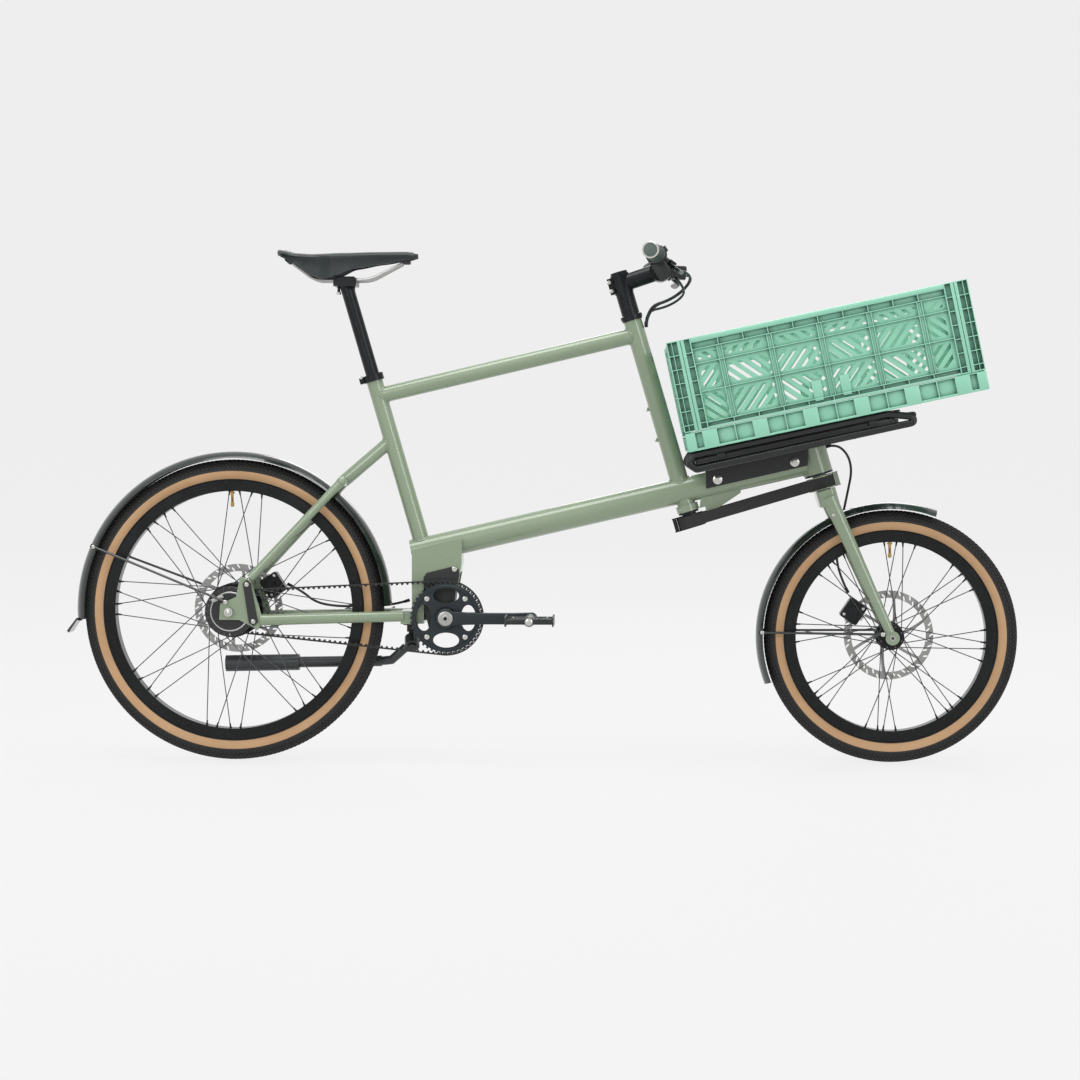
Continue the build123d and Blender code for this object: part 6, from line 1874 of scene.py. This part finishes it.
def make_stem_hardware():
    """Pinch bolts, face plate bolts, the steerer's top cap and the lamp's lens."""
    bm = bmesh.new()
    for w in (-9, 9):
        for side in (-1, 1):
            add_bolt(bm, in_column(-24, side * 12.6, STEM_W + w), SIDE * side, 3.8 * MM, 2.2 * MM)
    for side in (-1, 1):
        for w in (-14, 14):
            add_bolt(bm, in_column(101.5, side * 17, STEM_W + 3 + w), AHEAD, 3.4 * MM, 3 * MM)
    top = frame_of(in_column(0, 0, STEM_W + 19.5), AHEAD, UP_COLUMN)
    cap = [mm(0.001, 2.6), mm(4.6, 2.6), mm(5, 3.4), mm(14.5, 2.6), mm(16.8, 0.8)]
    steel = set(bm.faces)
    add_turned(bm, cap + [mm(16.8, -2)], top, steps=40, closed=False)
    add_box(
        bm, frame_of(in_column(99.5, 0, STEM_W + 3), AHEAD, UP_COLUMN), mm(5, 44, 34), 2 * MM
    )
    paint_faces(since(bm, steel), 1)
    black = set(bm.faces)
    lens = frame_of(in_column(115, 0, STEM_W - 11), AHEAD, UP_COLUMN) @ spin(20, "Y")
    add_box(bm, lens @ shift(15.2, 0, 0), mm(1.6, 34, 17), 0.7 * MM)
    paint_faces(since(bm, black), 2)
    return finish_piece(
        "stem_hardware", bm, "steering_column", [SILVER_BOLT, ANODISED, LENS]
    )


print("stem hardware", len(make_stem_hardware().data.polygons))

# %% [markdown]
# ## Cranks and pedals
#
# A forged crank arm is widest at the axle and slimmest in the middle, with a bevel all round that
# catches the light. Its outline is two arcs joined by straight sides. The pedals are open cages
# with toothed edges round a barrel.

# %% Crank arms
# the teal-grey on the arms' edges is a painted highlight on the bevels, broken up like wear
CRANK_SLATE = satin_black(
    "crank_slate", rgb(38, 46, 50), 0.24, 0.38, rgb(122, 138, 142), 900.0, 0.5, 0.1
)
CRANK_LENGTH = 170 * MM
CRANK_INNER, CRANK_THICK = 61 * MM, 15 * MM


def crank_outline(boss_r=20 * MM, eye_r=13.4 * MM, waist=11.5 * MM):
    """The arm's outline: a large arc, a slim waist and a small arc."""
    points = []
    for turn in range(45, 316, 15):
        points.append((boss_r * cos(radians(turn)), boss_r * sin(radians(turn))))
    points += [
        (CRANK_LENGTH * 0.24, -waist - 1 * MM), (CRANK_LENGTH * 0.5, -waist),
        (CRANK_LENGTH * 0.8, -waist),
    ]
    for turn in range(-70, 71, 14):
        points.append((CRANK_LENGTH + eye_r * cos(radians(turn)), eye_r * sin(radians(turn))))
    points += [
        (CRANK_LENGTH * 0.8, waist), (CRANK_LENGTH * 0.5, waist),
        (CRANK_LENGTH * 0.24, waist + 1 * MM),
    ]
    return points


def make_cranks():
    """Both arms, the axle between them and the pedal spindles."""
    bm = bmesh.new()
    for side, ahead in ((-1, 1), (1, -1)):
        place = side_frame(BB + SIDE * side * CRANK_INNER, ahead)
        add_plate(bm, place, crank_outline(), 0, CRANK_THICK, 3 * MM, 3)
    arms = set(bm.faces)
    add_rod(bm, BB - SIDE * 77 * MM, BB + SIDE * 77 * MM, 12 * MM, 32, bevel=1 * MM)
    carrier = [
        (12 * MM, -CRANK_INNER), (20 * MM, -CRANK_INNER), mm(22, -58), mm(22, -54), mm(12, -54)
    ]
    add_turned(bm, carrier, axle_frame(BB), steps=48)
    paint_faces(since(bm, arms), 1)
    black = set(bm.faces)
    for side, ahead in ((-1, 1), (1, -1)):
        hub = BB + SIDE * side * 76 * MM
        add_turned(
            bm, [mm(6, 0), mm(14.5, 0), mm(14.5, 1.4), mm(13, 2.2), mm(6, 1.4)],
            frame_of(hub, (1, 0, 0), SIDE * side), steps=36,
        )
        add_bolt(bm, hub, SIDE * side, 7.5 * MM, 2.4 * MM)
        pedal_at = BB + Vector((ahead * CRANK_LENGTH, side * 76 * MM, 0))
        add_rod(bm, pedal_at, pedal_at + SIDE * side * 2.4 * MM, 8.4 * MM, 24, bevel=0.5 * MM)
        add_rod(bm, pedal_at + SIDE * side * 2 * MM, pedal_at + SIDE * side * 88 * MM, 4.5 * MM, 20)
        inner = BB + Vector((ahead * CRANK_LENGTH, side * CRANK_INNER, 0))
        add_rod(bm, inner + SIDE * side * -0.6 * MM, inner + SIDE * side * 1 * MM, 6.5 * MM, 6)
    paint_faces(since(bm, black), 2)
    cranks = finish_piece(
        "forged_cranks", bm, "crankset", [CRANK_SLATE, ANODISED, STEEL], sharp=50
    )
    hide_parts("cranks")
    return cranks


def make_chainring_trim():
    """A guard ring and four bolts on the sprocket's spider."""
    bm = bmesh.new()
    ring = [mm(60.5, -54.2), mm(65.4, -54.2), mm(66, -55), mm(65.2, -55.9)]
    ring += [mm(61, -55.9), mm(60.2, -55.2)]
    add_turned(bm, ring, axle_frame(BB), steps=96)
    ring_faces = set(bm.faces)
    for index in range(4):
        turn = radians(45 + 90 * index)
        place = BB + Vector(mm(cos(turn) * 54, -54, sin(turn) * 54))
        add_bolt(bm, place, -SIDE, 5.2 * MM, 2.4 * MM)
    paint_faces(since(bm, ring_faces), 1)
    return finish_piece(
        "chainring_trim", bm, "crankset", [CRANK_SLATE, SILVER_BOLT]
    )


make_cranks()
make_chainring_trim()
nodes["front_sprocket"].material_slots[0].material = CRANK_SLATE
print("cranks and chainring done")

# %% Pedals
CAGE_LONG, CAGE_WIDE, CAGE_HIGH = 96 * MM, 83 * MM, 20 * MM


def toothed_edge(length, height, teeth, depth):
    """A rectangle whose long edges are saw-toothed."""
    step = length / teeth
    points = []
    for index in range(teeth):
        x = -length / 2 + index * step
        points += [
            (x, height / 2 - depth), (x + step * 0.25, height / 2), (x + step * 0.6, height / 2)
        ]
        points.append((x + step * 0.85, height / 2 - depth))
    points += [(-x, -y) for x, y in points]
    return points


def make_pedal(side, body):
    """An open cage pedal round a grooved barrel."""
    bm = bmesh.new()
    ahead = 1 if side < 0 else -1
    middle = BB + Vector((ahead * CRANK_LENGTH, side * 123.5 * MM, 0))
    turn = Matrix((SIDE, Vector((0, 0, 1)), Vector((1, 0, 0)))).transposed().to_4x4()
    for x in (-1, 1):
        place = Matrix.Translation(middle + Vector((x * (CAGE_LONG / 2 - 1.4 * MM), 0, 0))) @ turn
        add_plate(
            bm, place, toothed_edge(CAGE_WIDE, CAGE_HIGH, 8, 2.6 * MM), -1.4 * MM, 1.4 * MM,
            0.4 * MM, 1,
        )
    for y in (-1, 1):
        place = Matrix.Translation(middle + SIDE * y * (CAGE_WIDE / 2 - 2 * MM))
        add_box(bm, place, (CAGE_LONG - 3 * MM, 4 * MM, 11 * MM), 1.4 * MM)
    for y in mm(-24, 24):
        place = Matrix.Translation(middle + SIDE * y)
        add_box(bm, place, (CAGE_LONG - 4 * MM, 9 * MM, 7 * MM), 1.6 * MM)
    half = 44.5 * MM
    barrel = [
        (4.6 * MM, -half), (8 * MM, -half), (9 * MM, -half + 2 * MM), mm(10.8, -30), mm(10.8, -16)
    ]
    barrel += [mm(9.6, -12), mm(9.6, 12), mm(10.8, 16), mm(10.8, 30)]
    barrel += [(9 * MM, half - 2 * MM), (8 * MM, half), (4.6 * MM, half)]
    add_turned(bm, barrel, axle_frame(middle), steps=32)
    metal = set(bm.faces)
    for x in (-1, 1):
        for y in (-30, 30):
            seat = middle + Vector((x * (CAGE_LONG / 2 - 14 * MM), y * MM, 3.4 * MM))
            add_bolt(bm, seat, (0, 0, 1), 2.6 * MM, 1.4 * MM)
    cap = middle + SIDE * side * half
    add_turned(
        bm, [mm(0.001, 1.8), mm(5, 1.6), mm(7.6, 0)], frame_of(cap, (1, 0, 0), SIDE * side),
        steps=24,
        closed=False,
    )
    paint_faces(since(bm, metal), 1)
    name = "right" if side < 0 else "left"
    pedal = finish_piece(
        "cage_pedal_" + name, bm, body, [PEDAL_METAL, SILVER_BOLT], sharp=32
    )
    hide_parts("pedal_" + name)
    return pedal


for side, body in ((-1, "right_pedal"), (1, "left_pedal")):
    make_pedal(side, body)
print("pedals done")

# %% [markdown]
# ## Bolts, caps and welds
#
# Small hardware tells the eye how big the bicycle is. To seat a bolt exactly we ask the skeleton
# where its surface is: a ray from the side meets the part's mesh and gives the point. The same
# trick finds the line where one tube meets another, and a weld bead follows that line.

# %% Where a ray meets a part of the skeleton
def surface_hit(node_name, start, direction):
    """The first point of a part's surface along a ray, or None."""
    node = nodes[node_name]
    back = node.matrix_world.inverted()
    hit, place, _, _ = node.ray_cast(
        back @ Vector(start), (back.to_3x3() @ Vector(direction)).normalized()
    )
    return node.matrix_world @ place if hit else None


def near_skin(node_name, x, z, side=-1):
    """The part's outermost point at a place in the side view, from one side of the bicycle."""
    return surface_hit(node_name, (x, side * 0.6, z), (0, -side, 0))


# %% Weld beads
def add_weld(bm, axis_from, axis_to, radius, node_name, bead=1.9 * MM, steps=56):
    """A rippled bead where a tube, given by its axis and radius, meets a part."""
    direction = (axis_to - axis_from).normalized()
    place = frame_of(axis_from, SIDE if abs(direction.y) < 0.9 else (1, 0, 0), direction)
    points = []
    for step in range(steps):
        turn = tau * step / steps
        start = place @ Vector((radius * cos(turn), radius * sin(turn), 0))
        hit = surface_hit(node_name, start, direction)
        if hit is not None and (hit - start).length < (axis_to - axis_from).length * 1.6:
            points.append(hit)
    if len(points) < steps * 0.7:
        return 0
    rings = []
    for index, point in enumerate(points):
        ahead = (points[(index + 1) % len(points)] - points[index - 1]).normalized()
        turned = frame_of(point, direction, ahead)
        size = bead * (1 + 0.16 * (index % 2))
        rings.append([
            bm.verts.new(turned @ Vector((size * cos(tau * k / 8), size * sin(tau * k / 8), 0))) for k in range(8)
        ])
    for ring, following in zip(rings, rings[1:] + rings[:1]):
        for corner in range(8):
            after = (corner + 1) % 8
            bm.faces.new((ring[corner], ring[after], following[after], following[corner]))
    return len(points)


def seat_axis(z):
    """A point on the seat tube's axis by its height in millimetres."""
    return from_rear(336 - (z - 589) * 0.2924, 0, z)


def top_axis(x):
    """A point on the top tube's axis."""
    return from_rear(x, 0, 791 + (x - 533) * 0.23455)


def main_axis(x):
    """A point on the main tube's axis."""
    return from_rear(x, 0, 482 + (x - 632) * 0.2296)


def make_welds():
    """Beads at the main joints of the frame, under the paint."""
    bm = bmesh.new()
    counts = [
        add_weld(bm, top_axis(400), top_axis(288), 16 * MM, "seat_tube"),
        add_weld(bm, top_axis(700), top_axis(835), 16 * MM, "head_column"),
        add_weld(bm, in_column(0, 0, 120), in_column(0, 0, 20), 19.2 * MM, "main_tube"),
        add_weld(bm, seat_axis(520), seat_axis(455), 16.5 * MM, "main_tube"),
        add_weld(bm, from_rear(240, 0, 580), seat_axis(646), 13 * MM, "seat_tube"),
        add_weld(bm, main_axis(1080), main_axis(1180), 25.4 * MM, "front_head_tube"),
    ]
    print("weld points", counts)
    return finish_piece("frame_welds", bm, "frame", [PAINT], sharp=60)


make_welds()

# %% [markdown]
# ### Rear end
#
# The gear hub's cable drum has a ring of marks and a polished cable lever. The dropout carries
# the axle's cap nut, the two bolts of the splitter plate and the foot of the fender's stay.

# %% Rear hardware
def add_cap_nut(bm, point, direction, radius, height):
    """A domed cap nut on a washer."""
    place = frame_of(point, (1, 0, 0), direction)
    washer = [
        (radius * 0.5, 0), (radius * 1.35, 0), (radius * 1.35, 1.2 * MM), (radius * 0.5, 1.6 * MM)
    ]
    add_turned(bm, washer, place, steps=32)
    base = Vector(point) + Vector(direction).normalized() * 1 * MM
    add_rod(
        bm, base, base + Vector(direction).normalized() * height * 0.6, radius, 6, bevel=0.6 * MM
    )
    dome = [
        (radius * 0.82, height * 0.55), (radius * 0.8, height * 0.7), (radius * 0.6, height * 0.9)
    ]
    dome += [(radius * 0.3, height), (0.001 * MM, height * 1.02)]
    add_turned(bm, dome, place, steps=24, closed=False)


def make_rear_hardware():
    """Marks, a ring and a lever on the hub's drum, the cap nuts and the splitter bolts."""
    bm = bmesh.new()
    drum_face = -67.5 * MM
    box = add_box(bm, Matrix.Translation(REAR_AXLE + Vector((0, drum_face - 0.2 * MM, -45.5 * MM))),
                  mm(2.2, 0.8, 5), 0.2 * MM, 1)
    marks = [face for face in box if face.is_valid]
    geom = marks + list({e for f in marks for e in f.edges}) + list({v for f in marks for v in f.verts})
    bmesh.ops.spin(
        bm, geom=geom, cent=REAR_AXLE, axis=SIDE, angle=tau * 23 / 24, steps=23, use_duplicate=True
    )
    ring = [mm(37, -68), mm(39, -68.2), mm(40, -67.3), mm(37, -67.3)]
    add_turned(bm, ring, axle_frame(REAR_AXLE), steps=64)
    lever = REAR_AXLE + Vector(mm(-24, -70.4, 26))
    place = Matrix.Translation(lever) @ spin(-25, "Y")
    add_box(bm, place, mm(26, 3, 8), 1.2 * MM)
    add_bolt(bm, lever + Vector(mm(-8, -1.4, 4)), -SIDE, 3.4 * MM, 2.4 * MM)
    silver = set(bm.faces)
    for side in (-1, 1):
        add_cap_nut(bm, REAR_AXLE + SIDE * side * 86.2 * MM, SIDE * side, 6.4 * MM, 8 * MM)
    for x, z in ((36, 55), (49, -19)):
        seat = near_skin("splitter_plate", REAR_AXLE.x + x * MM, REAR_AXLE.z + z * MM)
        if seat is not None:
            add_bolt(bm, seat, -SIDE, 4.6 * MM, 2.6 * MM)
    paint_faces(since(bm, silver), 1)
    return finish_piece("rear_hub_hardware", bm, "frame", [STEEL, SILVER_BOLT], sharp=35)


print("rear hardware", len(make_rear_hardware().data.polygons))


# %% Stay bolts and fender details
def stay_tip(axle, wheel_r, angle):
    """Where a fender's stay ends at the fender's edge."""
    outer = wheel_r + 16 * MM
    edge = outer - 38 * MM + sqrt(38 ** 2 - 29 ** 2) * MM + 2 * MM
    return axle + Vector((edge * cos(radians(angle)), 0, edge * sin(radians(angle))))


def make_stay_bolts(name, body, axle, wheel_r, foot, foot_y, angle):
    """A bolt at each end of both stays, and a small clip on the fender's edge."""
    bm = bmesh.new()
    for side in (-1, 1):
        tip = stay_tip(axle, wheel_r, angle) + SIDE * side * 31.6 * MM
        add_bolt(bm, tip + SIDE * side * 2 * MM, SIDE * side, 4 * MM, 2.6 * MM)
        base = axle + Vector(mm(foot[0], side * foot_y, foot[1]))
        add_bolt(bm, base + SIDE * side * 2 * MM, SIDE * side, 4.4 * MM, 2.8 * MM)
    silver = set(bm.faces)
    for side in (-1, 1):
        tip = stay_tip(axle, wheel_r, angle) + SIDE * side * 31.2 * MM
        place = Matrix.Translation(tip) @ spin(-angle, "Y")
        add_box(bm, place, mm(14, 4.6, 8), 1.6 * MM)
    paint_faces(since(bm, silver), 1)
    return finish_piece(name, bm, body, [SILVER_BOLT, PLASTIC])


make_stay_bolts("rear_stay_bolts", "frame", REAR_AXLE, REAR_R, (-6, 20), 79.5, 155.5)
make_stay_bolts("front_stay_bolts", "fork_assembly", FRONT_AXLE, FRONT_R, (-20, 8), 64, 178)


# %% Brake calipers
def make_caliper_parts(name, body, axle, rotor_y, angle):
    """Mounting bolts, piston cap, pad spring and hose bolt on both faces of a caliper."""
    bm = bmesh.new()
    turn = Matrix.Translation(axle + SIDE * rotor_y) @ spin(-angle, "Y")
    middle = 86 * MM
    for side in (-1, 1):
        face = turn @ Vector((middle, side * 14 * MM, 0))
        place = frame_of(face, (1, 0, 0), SIDE * side)
        cap = [mm(4, 0), mm(11, 0), mm(11, 1.6), mm(9.6, 2.4), mm(4, 1.8)]
        add_turned(bm, cap, place, steps=36)
    dark = set(bm.faces)
    for side in (-1, 1):
        for x, z in ((-13, -15), (13, 15)):
            face = turn @ Vector((middle + x * MM, side * 14 * MM, z * MM))
            add_bolt(bm, face, SIDE * side, 3 * MM, 1.8 * MM)
    spring = turn @ Matrix.Translation((middle - 21 * MM, 0, 0))
    add_box(bm, spring, mm(8, 4.2, 16), 0.8 * MM)
    bolt_at = turn @ Vector((middle, 4 * MM, 22 * MM))
    add_bolt(bm, bolt_at, turn.to_3x3() @ Vector((0, 0, 1)), 4.4 * MM, 4 * MM)
    paint_faces(since(bm, dark), 1)
    return finish_piece(name, bm, body, [ANODISED, SILVER_BOLT])


make_caliper_parts("rear_caliper_parts", "frame", REAR_AXLE, 52.5 * MM, 33)
make_caliper_parts("front_caliper_parts", "fork_assembly", FRONT_AXLE, 35 * MM, 146)


# %% Bolts on the frame, rack bracket, seatpost and stand
def make_frame_bolts():
    """Washer-head bolts of the rack bracket, the bracket housing's bolt and the clamp's."""
    bm = bmesh.new()
    for side in (-1, 1):
        for x in (973, 1126):
            seat = main_axis(x) + Vector(mm(0, side * 39, 7))
            place = frame_of(seat, (1, 0, 0), SIDE * side)
            add_turned(
                bm, [mm(3, 0), mm(9.4, 0), mm(9.4, 0.8), mm(8.2, 1.6), mm(3, 1.6)], place,
                steps=32,
            )
            add_bolt(bm, seat + SIDE * side * 1.2 * MM, SIDE * side, 5.6 * MM, 3.4 * MM)
        add_bolt(bm, from_rear(448, side * 37.2, 388), SIDE * side, 5.4 * MM, 3 * MM)
        clamp = from_rear(336 - (771 - 589) * 0.2924 - 24.5, side * 10.6, 771)
        add_bolt(bm, clamp, SIDE * side, 3.6 * MM, 2 * MM)
    for w in (175, 239):
        add_bolt(bm, in_column(-22.6, 0, w), -AHEAD, 3.6 * MM, 2.4 * MM)
    for turn in (-50, 50):
        out = -AHEAD * cos(radians(turn)) + SIDE * sin(radians(turn))
        add_bolt(bm, in_column(0, 0, 27) + out * 22.4 * MM, out, 2.6 * MM, 1.8 * MM)
    return finish_piece("frame_bolts", bm, "frame", [SILVER_BOLT])


def make_fork_rivets():
    """A small rivet on the outside of each fork leg, under the crown."""
    bm = bmesh.new()
    for side in (-1, 1):
        rivet = near_skin("fork", FORK_AT.x + 0.021, 0.497, side)
        if rivet is not None:
            add_bolt(bm, rivet - SIDE * side * 0.3 * MM, SIDE * side, 3 * MM, 1.6 * MM)
    return finish_piece("fork_rivets", bm, "fork_assembly", [SILVER_BOLT])


make_frame_bolts()
make_fork_rivets()


def make_seatpost_bolts():
    """The two long bolts of the seatpost's head and their barrel nuts."""
    bm = bmesh.new()
    middle = seat_axis(958)
    for x in (-15, 15):
        foot = middle + Vector(mm(x, 0, -15))
        add_rod(bm, foot, foot - Vector(mm(0, 0, 5)), 4.4 * MM, 6, bevel=0.4 * MM)
        top = middle + Vector(mm(x, 0, 12))
        add_rod(bm, top - SIDE * 9 * MM, top + SIDE * 9 * MM, 3.4 * MM, 16, bevel=0.4 * MM)
    steel = set(bm.faces)
    for side in (-1, 1):
        place = Matrix.Translation(middle + Vector(mm(0, side * 22, 12.6)))
        add_box(bm, place, mm(40, 13, 5), 2 * MM)
    paint_faces(since(bm, steel), 1)
    return finish_piece(
        "seatpost_bolts", bm, "saddle_post", [SILVER_BOLT, ANODISED]
    )


make_seatpost_bolts()

# %% [markdown]
# ### Rack deck
#
# Between the rails of the rack run ribbed side plates and long slats, so the crate has something
# to stand on. Seen from the side they close the gap between the upper and the lower rail.

# %% Rack deck
def make_rack_deck():
    """Two ribbed side plates and five slats between the rails."""
    bm = bmesh.new()
    for side in (-1, 1):
        middle = CRATE_AT @ shift(205, side * 174, -21)
        add_box(bm, middle, mm(392, 4, 16), 1.2 * MM)
        for w in (-4.6, 0, 4.6):
            rib = CRATE_AT @ shift(205, side * 177, -21 + w)
            add_box(bm, rib, mm(388, 2.6, 1.8), 0.7 * MM)
    for v in (-120, -60, 0, 60, 120):
        slat = CRATE_AT @ shift(205, v, -25)
        add_box(bm, slat, mm(384, 22, 5), 1.4 * MM)
    return finish_piece("rack_deck", bm, "frame", [RACK_BLACK])


make_rack_deck()
print("details done")
